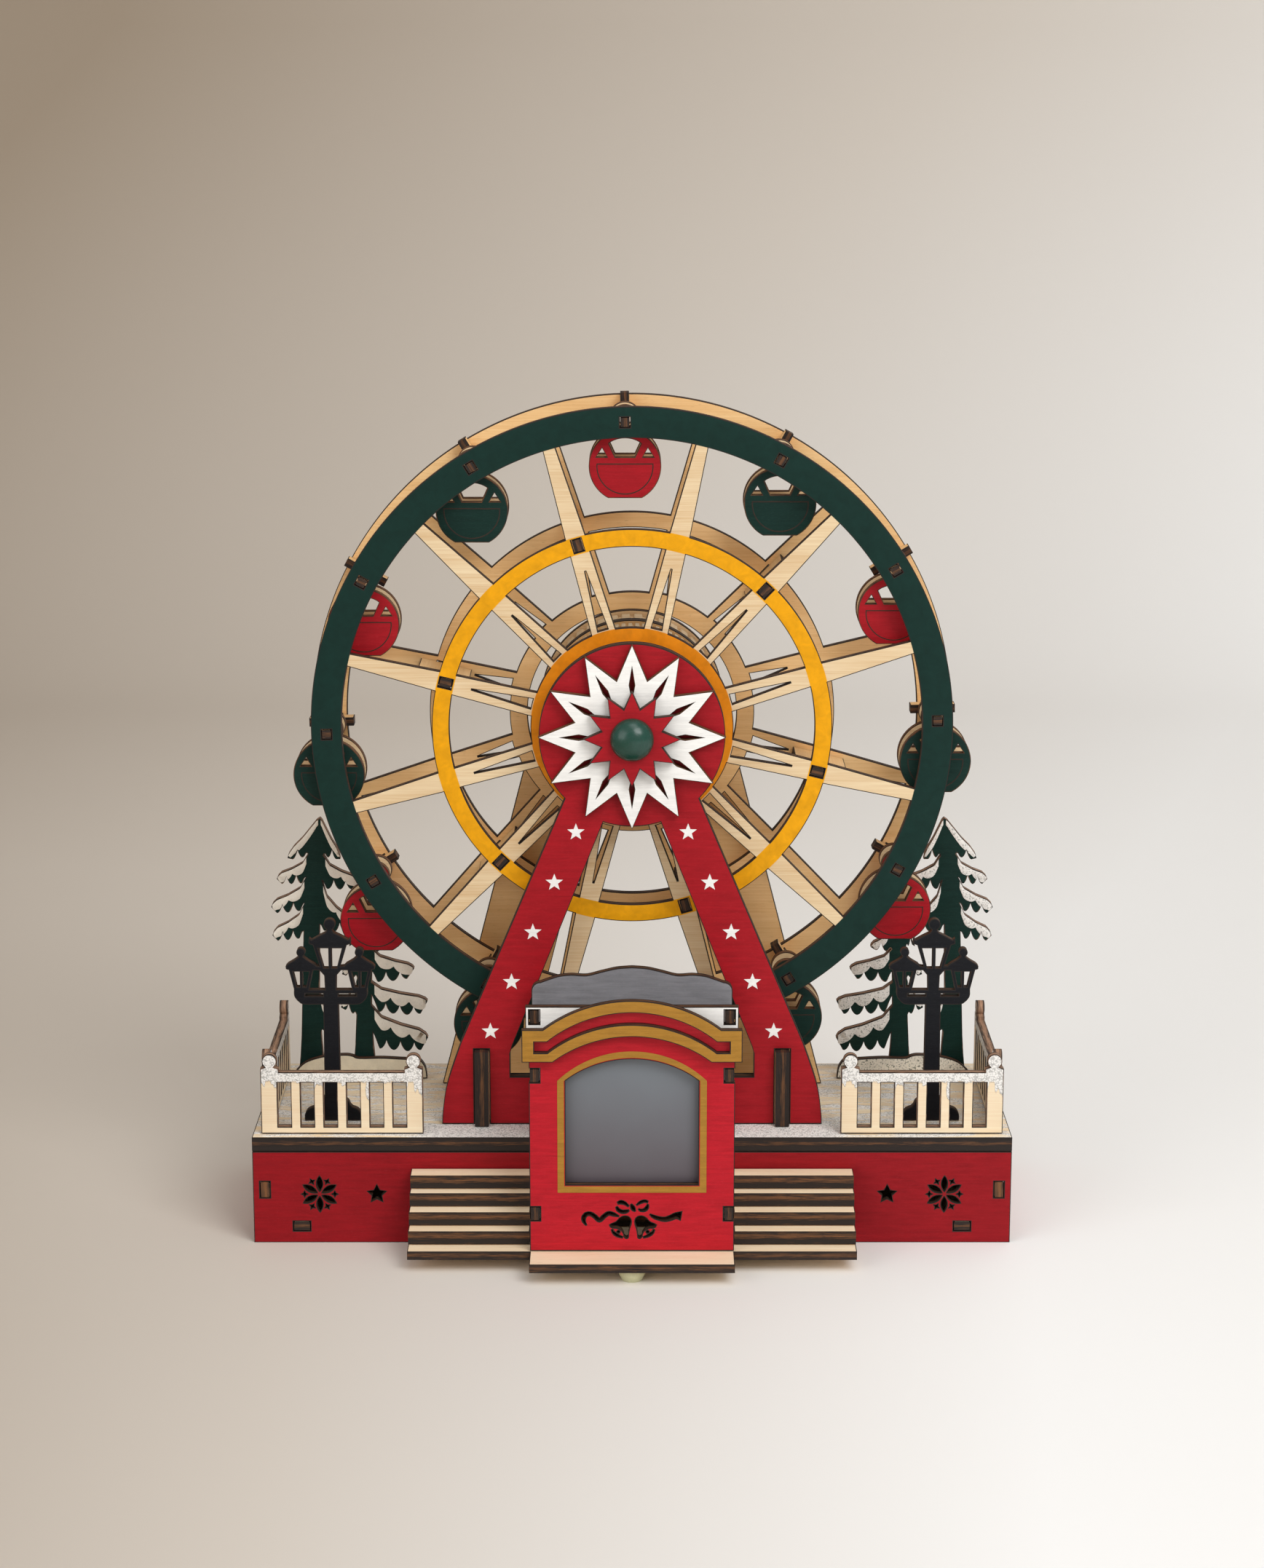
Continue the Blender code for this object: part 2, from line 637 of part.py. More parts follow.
def build_stairs(shop):
    """Four boards, each reaching further forward than the one above. The booth stands in their notch."""
    outer, notch = STAIR_WIDTH / 2, BOOTH_WIDTH / 2 + GAP
    back = FRONT_Y - GAP
    for k, reach in enumerate(reversed(STAIR_REACHES)):
        low = PLATE_TOP + GAP + k * THICK_PLY
        right = [(notch, FRONT_Y - reach), (outer, FRONT_Y - reach), (outer, back)]
        left = flipped(right)[::-1]
        bridge = [(-notch, back - STAIR_BRIDGE), (notch, back - STAIR_BRIDGE)]
        name = "stair_board_%d" % (k + 1)
        mesh = board_mesh(name, right + left + bridge, THICK_PLY - GAP)
        shop.place(name, mesh, "birch_ply", lying(low + (THICK_PLY - GAP) / 2))


# Booth
def bell_holes():
    """A bell leaning outwards: its dome, and its open mouth below with the clapper left standing."""
    dome = [(-2.9 * MM, 0.0), (-2.0 * MM, 1.0 * MM), (-1.6 * MM, 3.0 * MM), (-0.6 * MM, 4.4 * MM),
            (0.6 * MM, 4.4 * MM), (1.6 * MM, 3.0 * MM), (2.0 * MM, 1.0 * MM), (2.9 * MM, 0.0)]
    lip = arc(3.1 * MM, 180.0, 360.0, 6, (0.0, -0.6 * MM))
    mouth = lip + arc(2.2 * MM, 350.0, 190.0, 4, (0.0, -0.5 * MM))
    return [moved(dome, -4.7 * MM, 14.3 * MM, -33.0), moved(mouth, -4.9 * MM, 14.1 * MM, -33.0)]


def ribbon_hole(start_x, start_z, length, swing, waves, width):
    """A waving band: a sine line with a parallel one below it."""
    steps = 5 * waves
    upper, lower = [], []
    for i in range(steps + 1):
        t = i / steps
        x = start_x + length * t
        z = start_z + swing * math.sin(math.pi * waves * t)
        half = width * (0.35 + 0.4 * math.sin(math.pi * t))
        upper.append((x, z + half))
        lower.append((x, z - half))
    return upper + lower[::-1]


def bow_holes():
    """The bow above the bells: a crescent for each loop, and the knot."""
    loop = arc(2.0 * MM, 30.0, 330.0, 8) + arc(1.1 * MM, 320.0, 40.0, 6, (0.25 * MM, 0.0))
    left = moved(loop, -3.6 * MM, 22.5 * MM)
    knot = moved(rectangle(-0.55 * MM, -1.0 * MM, 0.55 * MM, 1.0 * MM), 0.2 * MM, 22.3 * MM, 20.0)
    return [left, moved(flipped(left), 0.4 * MM, 0.0), knot]


def ornament_holes():
    bells = bell_holes()
    return (bells + [flipped(points) for points in bells] + bow_holes()
            + [ribbon_hole(-17.6 * MM, 18.3 * MM, 10.6 * MM, 1.3 * MM, 3, 1.3 * MM),
               ribbon_hole(7.0 * MM, 18.6 * MM, 10.6 * MM, -1.2 * MM, 2, 1.7 * MM)])


def booth_panel_outline():
    """The front panel: notches for the wall tabs in its edges, and a top that follows the cornice."""
    half = BOOTH_WIDTH / 2
    notch = half - PLY - 2 * SLOT_PLAY
    right = [(half, PLATE_TOP + GAP)]
    for middle in (WALL_TAB_LOW, WALL_TAB_HIGH):
        low, high = (middle + s * (WALL_TAB_LENGTH / 2 + SLOT_PLAY) for s in (-1, 1))
        right += [(half, low), (notch, low), (notch, high), (half, high)]
    shoulder = CORNICE_SHOULDER - 1.0 * MM
    right += [(half, shoulder), (half - 5.0 * MM, shoulder)]
    rise = CORNICE_TOP - 1.0 * MM - shoulder
    top = arch(half - 5.0 * MM, shoulder, rise, 12)
    return right + top[1:-1] + flipped(right)[::-1]


def cornice_curves():
    """Outer outline and the slot between the two gold bands."""
    outer_spring = CORNICE_HALF - 7.0 * MM
    lower_spring = CORNICE_HALF - 10.2 * MM
    outline = [(CORNICE_HALF, CORNICE_BOTTOM), (CORNICE_HALF, CORNICE_SHOULDER)]
    outline += arch(outer_spring, CORNICE_SHOULDER, CORNICE_TOP - CORNICE_SHOULDER, 14)
    outline += [(-CORNICE_HALF, CORNICE_SHOULDER), (-CORNICE_HALF, CORNICE_BOTTOM)]
    lower_top = CORNICE_TOP - 3 * CORNICE_BAND
    outline += arch(lower_spring, CORNICE_BOTTOM, lower_top - CORNICE_BOTTOM, 12)[::-1]
    inner = CORNICE_HALF - CORNICE_BAND
    slot_top, slot_low = CORNICE_SHOULDER - CORNICE_BAND, CORNICE_BOTTOM + 0.76 * CORNICE_BAND
    top_spring, low_spring = outer_spring - 1.4 * MM, lower_spring + 1.8 * MM
    slot = [(inner, slot_low), (inner, slot_top)]
    slot += arch(top_spring, slot_top, CORNICE_TOP - CORNICE_BAND - slot_top, 14)
    slot += [(-inner, slot_top), (-inner, slot_low)]
    slot += arch(low_spring, slot_low, CORNICE_TOP - 2 * CORNICE_BAND - slot_low, 12)[::-1]
    return outline, slot


def window_outline(grow):
    half = WINDOW_WIDTH / 2 + grow
    right = [(half, WINDOW_BOTTOM - grow), (half, WINDOW_SPRING)]
    top = arch(half, WINDOW_SPRING, WINDOW_RISE + grow, 10)
    return right + top[1:-1] + flipped(right)[::-1]


def back_board_outline():
    """Straight sides, round shoulders and a wave along the top."""
    half = BOOTH_WIDTH / 2
    corner = 3.0 * MM
    wave = [(half * f, BACK_BOARD_SHOULDER + (BACK_BOARD_TOP - BACK_BOARD_SHOULDER) * h)
            for f, h in ((0.82, 0.22), (0.72, 0.42), (0.60, 0.50), (0.45, 0.46), (0.30, 0.70),
                         (0.15, 0.92), (0.0, 1.0))]
    bend = arc(corner, 0.0, 90.0, 3, (half - corner, BACK_BOARD_SHOULDER - corner))
    right = [(half, FLOOR)] + bend + wave
    return right + flipped(right[:-1])[::-1]


def build_booth(shop):
    face_y = FRONT_Y - BOOTH_FACE_REACH
    back_y = FRONT_Y + BOOTH_BACK_DEPTH
    behind = face_y + PLY + GAP
    holes = [window_outline(0.0)] + ornament_holes()
    panel = board_mesh("booth_front_panel", booth_panel_outline(), PLY, holes)
    shop.place("booth_front_panel", panel, "red_paint", facing_front(face_y + PLY / 2))

    outline, slot = cornice_curves()
    cornice = board_mesh("booth_cornice", outline, PLY - GAP, [slot])
    shop.place("booth_cornice", cornice, "gold_paint", facing_front(face_y - GAP - (PLY - GAP) / 2))

    pane = board_mesh("booth_window", window_outline(PANE_LAP), PANE_THICKNESS)
    shop.place("booth_window", pane, "frosted_acrylic", facing_front(behind + PANE_THICKNESS / 2))

    wall_x = BOOTH_WIDTH / 2 - SLOT_PLAY - PLY / 2
    gable_slots = [tab_slot(side * wall_x, WALL_TAB_GABLE, PLY, WALL_TAB_LENGTH) for side in (-1, 1)]
    low = WINDOW_SPRING + WINDOW_RISE + PANE_LAP + GAP
    gable_box = rectangle(-GABLE_HALF, low, GABLE_HALF, GABLE_TOP)
    gable = board_mesh("booth_gable", gable_box, PLY, gable_slots)
    shop.place("booth_gable", gable, "white_paint", facing_front(behind + PLY / 2))
    build_booth_walls(shop, face_y, behind, back_y, wall_x, low)

    back = board_mesh("booth_back_board", back_board_outline(), PLY)
    shop.place("booth_back_board", back, "grey_paint", facing_front(back_y + PLY / 2))


def build_booth_walls(shop, face_y, behind, back_y, wall_x, gable_bottom):
    """Two side walls: tabs through the front panel and the gable, a step over stairs and deck."""
    rear = back_y - GAP
    gable_back = behind + PLY + GAP
    stair_y = FRONT_Y - 2 * GAP - STAIR_BRIDGE
    stair_top = PLATE_TOP + 2 * GAP + len(STAIR_REACHES) * THICK_PLY
    under = DECK_TOP + GAP
    top_front, top_back = GABLE_TOP - 1.0 * MM, BACK_BOARD_SHOULDER - 8.0 * MM
    wall = [(behind, PLATE_TOP + GAP), (stair_y, PLATE_TOP + GAP), (stair_y, stair_top),
            (FRONT_Y - GAP, stair_top), (FRONT_Y - GAP, under),
            (rear, under), (rear, top_back), (gable_back, top_front)]
    gable_low, gable_high = (WALL_TAB_GABLE + s * WALL_TAB_LENGTH / 2 for s in (1, -1))
    wall += [(gable_back, gable_low), (behind, gable_low), (behind, gable_high), (gable_back, gable_high)]
    ledge = gable_bottom - GAP
    wall += [(gable_back, ledge), (behind, ledge)]
    for middle in (WALL_TAB_HIGH, WALL_TAB_LOW):
        high, low = (middle + s * WALL_TAB_LENGTH / 2 for s in (1, -1))
        wall += [(behind, high), (face_y, high), (face_y, low), (behind, low)]
    for name, side in (("booth_left_wall", -1), ("booth_right_wall", 1)):
        mesh = board_mesh(name, wall, PLY)
        shop.place(name, mesh, "white_paint", facing_side(side * wall_x))


# Frames, drawn with the axle at height zero
def brace_notch(x, foot):
    """The notch that a brace stands in, open at the bottom, drawn from right to left."""
    w = THICK_PLY / 2 + SLOT_PLAY
    top = BRACE_TOP - AXLE_HEIGHT + SLOT_PLAY
    return [(x + w, foot), (x + w, top), (x - w, top), (x - w, foot)]


def head_angle(x, z):
    return math.degrees(math.atan2(z, x))


def front_frame_drawing():
    foot = FLOOR - AXLE_HEIGHT
    leg = [(FOOT_HALF, foot), (FOOT_HALF - 0.3 * MM, foot + 5.2 * MM),
           (FOOT_HALF - 1.9 * MM, foot + 14.8 * MM), (FOOT_HALF - 6.7 * MM, foot + 29.2 * MM)]
    head = arc(HEAD_RADIUS, -43.7, 223.7, 32)
    outline = leg + head + flipped(leg)[::-1]
    outline += brace_notch(-BRACE_X, foot)[::-1] + brace_notch(BRACE_X, foot)[::-1]
    sill = SILL_HEIGHT - AXLE_HEIGHT
    crotch = arc(HEAD_RADIUS, -72.0, -108.0, 6)
    inner = LEG_INNER_FOOT
    opening = [(inner, sill), (inner, sill + 8.4 * MM), (inner - 0.8 * MM, sill + 11.2 * MM)]
    return outline, opening + crotch + flipped(opening)[::-1]


def rear_frame_drawing():
    """Broad straight legs whose outer edges touch the head's circle."""
    foot = FLOOR - AXLE_HEIGHT
    distance = math.hypot(REAR_FOOT_HALF, foot)
    touch = head_angle(REAR_FOOT_HALF, foot) + math.degrees(math.acos(HEAD_RADIUS / distance))
    head = arc(HEAD_RADIUS, touch, 180.0 - touch, 22)
    outline = [(REAR_FOOT_HALF, foot)] + head + [(-REAR_FOOT_HALF, foot)]
    sill = REAR_SILL_HEIGHT - AXLE_HEIGHT
    inner = REAR_LEG_INNER_FOOT
    crotch = arc(HEAD_RADIUS, -66.0, -114.0, 6)
    opening = [(inner, sill)] + crotch + [(-inner, sill)]
    return outline, opening


def build_frames(shop):
    axle_hole = circle(AXLE_RADIUS + AXLE_CLEARANCE, 16)
    for name, drawing, depth, paint in (
            ("front_frame", front_frame_drawing(), FRONT_FRAME_DEPTH, "red_paint"),
            ("rear_frame", rear_frame_drawing(), REAR_FRAME_DEPTH, "birch_ply")):
        outline, opening = drawing
        mesh = board_mesh(name, outline, THICK_PLY, [opening, axle_hole])
        shop.place(name, mesh, paint, facing_front(FRONT_Y + depth + THICK_PLY / 2, z=AXLE_HEIGHT))

    front_y = FRONT_Y + FRONT_FRAME_DEPTH
    y0, y1 = front_y - BRACE_PROUD, front_y + THICK_PLY + BRACE_TAIL
    for name, side in (("front_brace_left", -1), ("front_brace_right", 1)):
        brace = box_mesh(name, (-THICK_PLY / 2, y0, FLOOR), (THICK_PLY / 2, y1, BRACE_TOP))
        shop.place(name, brace, "birch_ply", Matrix.Translation((side * BRACE_X, 0.0, 0.0)))


def build_rosette(shop):
    """White star, red star and knob, stacked on the front frame's head."""
    face = FRONT_Y + FRONT_FRAME_DEPTH
    kites = []
    for k in range(STAR_POINTS):
        turn = 90.0 + 360.0 / STAR_POINTS * k
        lean = math.degrees(KITE_HALF_WIDTH / KITE_WIDEST)
        kites.append([polar(KITE_INNER, turn), polar(KITE_WIDEST, turn - lean),
                      polar(KITE_OUTER, turn), polar(KITE_WIDEST, turn + lean)])
    white_y = face - GAP - PLY / 2
    outline = star(WHITE_STAR_TIP, WHITE_STAR_NOTCH, STAR_POINTS)
    white = board_mesh("white_star", outline, PLY, kites + [circle(AXLE_RADIUS + AXLE_CLEARANCE, 16)])
    shop.place("white_star", white, "white_paint", facing_front(white_y, z=AXLE_HEIGHT))
    red_y = white_y - PLY - GAP
    red = board_mesh("red_star", star(RED_STAR_TIP, RED_STAR_NOTCH, STAR_POINTS), PLY)
    shop.place("red_star", red, "red_paint", facing_front(red_y, z=AXLE_HEIGHT))
    dome = [(0.0, KNOB_HEIGHT)]
    for degrees in (70.0, 50.0, 30.0, 12.0, 0.0):
        angle = math.radians(degrees)
        dome.append((KNOB_RADIUS * math.cos(angle), KNOB_HEIGHT * math.sin(angle)))
    knob = turned_mesh("hub_knob", dome + [(0.0, 0.0)], 20)
    place = facing_front(red_y - PLY / 2 - GAP, z=AXLE_HEIGHT)
    shop.place("hub_knob", knob, "dark_green_paint", place)


# Wheel, drawn with the axle at height zero
def spoke_angle(k):
    return WHEEL_PHASE + 360.0 / SPOKES * (k + 0.5)


def hanger_angle(k):
    return WHEEL_PHASE + 360.0 / SPOKES * k


def lean_of(width, radius):
    """The angle at the axle between a spoke's middle line and its edge, at this radius."""
    return math.degrees(math.asin(width / 2 / radius))


def sector(outer, inner, outer_width, inner_width, k, steps):
    """The opening between two spokes and two rings."""
    a, b = spoke_angle(k), spoke_angle(k + 1)
    lean_out, lean_in = lean_of(outer_width, outer), lean_of(inner_width, inner)
    return (arc(outer, a + lean_out, b - lean_out, steps)
            + arc(inner, b - lean_in, a + lean_in, steps - 1))


def radial_slot(radius, length, width, degrees):
    slot = tab_slot(0.0, 0.0, length, width)
    x, y = polar(radius, degrees)
    return moved(slot, x, y, degrees)


def vee_slot(tip, base, degrees):
    """The narrow slot up the inner part of a spoke, wide at the hub ring and sharp at its tip."""
    half, point = VEE_HUB_WIDTH / 2, 0.15 * MM
    slot = [(base, -half), (tip, -point), (tip, point), (base, half)]
    return moved(slot, 0.0, 0.0, degrees)


def wheel_plate_holes(rim_inner, ring_outer, ring_inner, hub_outer):
    holes = []
    for k in range(SPOKES):
        holes.append(sector(rim_inner, ring_outer, SPOKE_RIM_WIDTH, SPOKE_RING_WIDTH, k, 4))
        holes.append(sector(ring_inner, hub_outer, SPOKE_RING_WIDTH, SPOKE_HUB_WIDTH, k, 3))
        holes.append(vee_slot(VEE_TIP_RADIUS, hub_outer + 0.5 * MM, spoke_angle(k)))
    return holes


def build_wheel(shop, spin):
    front_holes = wheel_plate_holes(RIM_INNER, RING_OUTER, RING_INNER, HUB_OUTER)
    front_holes.append(circle(AXLE_RADIUS + AXLE_CLEARANCE, 16))
    for k in range(SPOKES):
        front_holes.append(radial_slot(PIVOT_RADIUS, HANGER_NECK, PLY, hanger_angle(k)))
        if k % 2:
            front_holes.append(radial_slot((RING_OUTER + RING_INNER) / 2, SPACER_TAB, PLY, spoke_angle(k)))
    front = board_mesh("wheel_front_plate", circle(RIM_OUTER, 60), PLY, front_holes)
    shop.place("wheel_front_plate", front, "dark_green_paint",
               facing_front(WHEEL_Y + PLY / 2, z=AXLE_HEIGHT), spin)

    rear_y = WHEEL_Y + PLATE_SPACING
    rear_holes = wheel_plate_holes(REAR_RIM_INNER, REAR_RING_OUTER, REAR_RING_INNER, REAR_HUB_OUTER)
    rear_holes.append(circle(REAR_HUB_INNER, 30))
    rear = board_mesh("rear_plate", circle(REAR_RIM_OUTER, 60), PLY, rear_holes)
    rear.transform(facing_front(rear_y + PLY / 2, z=AXLE_HEIGHT))
    hanger = board_mesh("hanger", hanger_drawing(rear_y), PLY)
    spacer = board_mesh("spacer", spacer_drawing(rear_y), PLY)
    glued = [(hanger, along_radius(hanger_angle(k))) for k in range(SPOKES)]
    glued += [(spacer, along_radius(spoke_angle(k))) for k in range(1, SPOKES, 2)]
    rear = combined_mesh("wheel_rear_plate", rear, joined_mesh("glued_boards", glued), "UNION")
    rear.transform(Matrix.Translation((0.0, -WHEEL_Y, -AXLE_HEIGHT)))
    shop.place("wheel_rear_plate", rear, "birch_ply", spin.matrix_basis.copy(), spin)
    build_hub(shop, spin, rear_y)


def hanger_drawing(rear_y):
    """Neck through the front rim and the gondola, wide stop against the rear rim, tab through it."""
    neck0, neck1 = PIVOT_RADIUS - HANGER_NECK / 2, PIVOT_RADIUS + HANGER_NECK / 2
    tab0, tab1 = PIVOT_RADIUS - HANGER_REAR_TAB / 2, PIVOT_RADIUS + HANGER_REAR_TAB / 2
    stop_y, plate_y, end_y = WHEEL_Y + HANGER_STOP_DEPTH, rear_y + SEAT, rear_y + PLY + TAB_PROUD
    return [(WHEEL_Y, neck0), (stop_y, neck0), (stop_y, HANGER_STOP_INNER), (plate_y, HANGER_STOP_INNER),
            (plate_y, tab0), (end_y, tab0), (end_y, tab1), (plate_y, tab1),
            (plate_y, HANGER_STOP_OUTER), (stop_y, HANGER_STOP_OUTER), (stop_y, neck1), (WHEEL_Y, neck1)]


def spacer_drawing(rear_y):
    """Tab through the front ring, body between the two plates, tab through the rear ring."""
    front_middle, rear_middle = (RING_OUTER + RING_INNER) / 2, (REAR_RING_OUTER + REAR_RING_INNER) / 2
    half = SPACER_TAB / 2
    y0, y1, end_y = WHEEL_Y + PLY + GAP, rear_y + SEAT, rear_y + PLY + TAB_PROUD
    return [(WHEEL_Y, front_middle - half), (y0, front_middle - half), (y0, SPACER_INNER),
            (y1, SPACER_INNER), (y1, rear_middle - half), (end_y, rear_middle - half),
            (end_y, rear_middle + half), (y1, rear_middle + half), (y1, SPACER_OUTER),
            (y0, SPACER_OUTER), (y0, front_middle + half), (WHEEL_Y, front_middle + half)]


def build_hub(shop, spin, rear_y):
    """The drum between the plates with the disc that closes its rear, and the axle with its collars."""
    front_y = WHEEL_Y + PLY + GAP
    length, disc = rear_y + PLY - front_y, PLY
    hole, inner = AXLE_RADIUS + AXLE_CLEARANCE, HUB_DRUM_RADIUS - PLY
    profile = [(hole, disc), (inner, disc), (inner, length), (HUB_DRUM_RADIUS, length),
               (HUB_DRUM_RADIUS, 0.0), (hole, 0.0), (hole, disc)]
    drum = turned_mesh("hub_drum", profile, 32)
    shop.place("hub_drum", drum, "birch_ply", facing_front(rear_y + PLY, z=AXLE_HEIGHT), spin)

    frame_back = FRONT_Y + FRONT_FRAME_DEPTH + THICK_PLY
    rear_frame = FRONT_Y + REAR_FRAME_DEPTH
    front_end, rear_end = FRONT_Y + FRONT_FRAME_DEPTH - PLY, rear_frame + THICK_PLY
    profile = [(0.0, rear_end - front_end)]
    for y, radius in ((front_end, AXLE_RADIUS), (frame_back + GAP, COLLAR_RADIUS),
                      (WHEEL_Y - GAP, AXLE_RADIUS), (rear_y + PLY + GAP, COLLAR_RADIUS),
                      (rear_frame - GAP, AXLE_RADIUS), (rear_end, 0.0)):
        profile += [(profile[-1][0], rear_end - y), (radius, rear_end - y)]
    axle = turned_mesh("axle", profile[1:], 16)
    shop.place("axle", axle, "steel", facing_front(rear_end, z=AXLE_HEIGHT), spin)


# Gondolas, drawn with the pivot at height zero
def cabin_outline():
    """A disc with a flat bottom, joined to the round lobe that hangs on the neck."""
    along = (CABIN_DROP ** 2 + LOBE_RADIUS ** 2 - CABIN_RADIUS ** 2) / (2 * CABIN_DROP)
    across = math.sqrt(LOBE_RADIUS ** 2 - along ** 2)
    lobe_start = head_angle(across, -along)
    disc_start = head_angle(-across, CABIN_DROP - along)
    flat = math.degrees(math.asin(CABIN_FLAT / CABIN_RADIUS))
    lobe = arc(LOBE_RADIUS, lobe_start, 180.0 - lobe_start, 6)
    left = arc(CABIN_RADIUS, disc_start, 180.0 + flat, 5, (0.0, -CABIN_DROP))
    return lobe + left[1:] + flipped(left[1:])[::-1]


def cabin_holes():
    """The window, the small triangle on each side of it, and the round pivot hole."""
    bottom, top, rim = 3.0 * MM, 7.6 * MM, CABIN_RADIUS - 2.8 * MM
    window = [(-3.3 * MM, bottom), (3.3 * MM, bottom), (5.4 * MM, top)]
    window += arc(rim, head_angle(5.4 * MM, top), 180.0 - head_angle(5.4 * MM, top), 3)[1:-1]
    window.append((-5.4 * MM, top))
    triangle = [(-9.7 * MM, bottom), (-6.0 * MM, bottom), (-7.7 * MM, 6.1 * MM)]
    drawn = [moved(points, 0.0, -CABIN_DROP) for points in (window, triangle, flipped(triangle))]
    return drawn + [circle(LOBE_HOLE, 8)]


def build_gondolas(shop, spin):
    side = board_mesh("gondola_side", cabin_outline(), PLY, cabin_holes())
    front_y = CABIN_FRONT_GAP + PLY / 2
    rear_y = front_y + CABIN_SPACING
    bench = box_mesh("bench", (-BENCH_WIDTH / 2, front_y + PLY / 2 - SEAT, -BENCH_DROP - PLY / 2),
                     (BENCH_WIDTH / 2, rear_y - PLY / 2 + SEAT, -BENCH_DROP + PLY / 2))
    boards = joined_mesh("boards", [(side, facing_front(front_y)), (side, facing_front(rear_y))])
    shape = combined_mesh("gondola", boards, bench, "UNION")
    for k in range(SPOKES):
        x, z = polar(PIVOT_RADIUS, hanger_angle(k), (0.0, AXLE_HEIGHT))
        pivot = shop.pivot("gondola_pivot_%02d" % (k + 1), x, WHEEL_Y, z, spin)
        paint = "red_paint" if k % 2 else "dark_green_paint"
        shop.place("gondola_%02d" % (k + 1), shape.copy(), paint, Matrix.Translation((x, WHEEL_Y, z)), pivot)


# Drive behind the rear frame
def build_drive(shop):
    """The housing on the rear frame's head, with the gear motor that turns the axle."""
    start = FRONT_Y + REAR_FRAME_DEPTH + THICK_PLY + GAP
    half_gap = HOUSING_GAP_WIDTH / 2
    first, last = HOUSING_GAP_ANGLE - 360.0 + half_gap, HOUSING_GAP_ANGLE - half_gap
    drawing = arc(HOUSING_RADIUS, first, last, 32) + arc(HOUSING_RADIUS - PLY, last, first, 32)
    wall = board_mesh("drive_housing_wall", drawing, HOUSING_LENGTH)
    shop.place("drive_housing_wall", wall, "birch_ply",
               facing_front(start + HOUSING_LENGTH / 2, z=AXLE_HEIGHT))
    cover_y = start + HOUSING_LENGTH + GAP
    cover = board_mesh("drive_housing_cover", circle(HOUSING_COVER_RADIUS, 32), PLY)
    shop.place("drive_housing_cover", cover, "birch_ply", facing_front(cover_y + PLY / 2, z=AXLE_HEIGHT))

    middle, depth = HOUSING_LENGTH * 0.45, HOUSING_LENGTH - GAP
    profile = [(0.0, depth), (AXLE_RADIUS, depth), (AXLE_RADIUS, depth - 1.5 * MM),
               (MOTOR_RADIUS, depth - 1.5 * MM), (MOTOR_RADIUS, middle), (MOTOR_CAN_RADIUS, middle),
               (MOTOR_CAN_RADIUS, 0.0), (0.0, 0.0)]
    motor = turned_mesh("gear_motor", profile, 20)
    shop.place("gear_motor", motor, "black_plastic", facing_front(cover_y - GAP, z=AXLE_HEIGHT))


# Garden
def fence_post(middle):
    """The head of a fence post, from its right shoulder over the ball to its left shoulder."""
    neck, shoulder = FENCE_BALL_RADIUS * 0.6, FENCE_POST / 2 + FENCE_FLARE
    ball_z = FENCE_POST_TOP - FENCE_BALL_RADIUS
    right = [(shoulder, FENCE_RAIL_HIGH), (shoulder, FENCE_RAIL_HIGH + 2 * FENCE_FLARE),
             (neck, FENCE_RAIL_HIGH + 3 * FENCE_FLARE)]
    ball = arc(FENCE_BALL_RADIUS, -40.0, 220.0, 7, (0.0, ball_z))
    return moved(right + ball + flipped(right)[::-1], middle, 0.0)


def fence_drawing(length, balusters, tongue=0.0):
    """A fence from x = 0 to its length, standing on y = 0: posts with ball tops, rail, sill, balusters."""
    shoulder = FENCE_RAIL_HIGH - FENCE_FLARE
    outline = [(0.0, 0.0), (length, 0.0), (length, shoulder)]
    outline += fence_post(length - FENCE_POST / 2 - FENCE_FLARE) + fence_post(FENCE_POST / 2 + FENCE_FLARE)
    outline.append((0.0, shoulder))
    if tongue:
        outline += [(0.0, FENCE_RAIL_LOW), (-tongue, FENCE_RAIL_LOW), (-tongue, FENCE_SILL), (0.0, FENCE_SILL)]
    clear = length - 2 * (FENCE_POST + FENCE_FLARE)
    pitch = (clear + FENCE_BALUSTER) / (balusters + 1)
    start = FENCE_POST + FENCE_FLARE
    holes = [rectangle(start + pitch * i, FENCE_SILL, start + pitch * (i + 1) - FENCE_BALUSTER, FENCE_RAIL_LOW)
             for i in range(balusters + 1)]
    return outline, holes


def build_fences(shop):
    """On each side, a fence along the front and one along the side, glued at the corner."""
    length = FENCE_OUTER - FENCE_INNER
    y0 = FRONT_Y + FENCE_DEPTH
    front = drawn_board("front_fence", fence_drawing(length, FRONT_BALUSTERS), PLY)
    start = y0 + PLY + GAP
    drawing = fence_drawing(FRONT_Y + SIDE_FENCE_END - start, SIDE_BALUSTERS, GAP + PLY / 2)
    side = drawn_board("side_fence", drawing, PLY)
    for name, sign in (("fence_left", -1), ("fence_right", 1)):
        along, across = front.copy(), side.copy()
        left = -FENCE_OUTER if sign < 0 else FENCE_INNER
        along.transform(facing_front(y0 + PLY / 2, left, FLOOR))
        inset = FENCE_OUTER - PLY / 2 - TAB_PROUD
        across.transform(Matrix.Translation((0.0, start, 0.0)) @ facing_side(sign * inset, FLOOR))
        shop.place(name, combined_mesh(name, along, across, "UNION"), "birch_ply")


def lantern(half_top, half_bottom, height, knob):
    """Right half of a lantern standing on y = 0: glass box, eaves, roof and ball."""
    eaves = half_top + 1.3
    return [(half_bottom, 0.0), (half_top, height), (eaves, height + 0.6), (eaves, height + 2.2),
            (half_top - 0.6, height + 2.6), (knob * 0.8, height + 5.4),
            (knob, height + 7.0), (knob * 0.7, height + 8.4), (0.0, height + 8.9)]


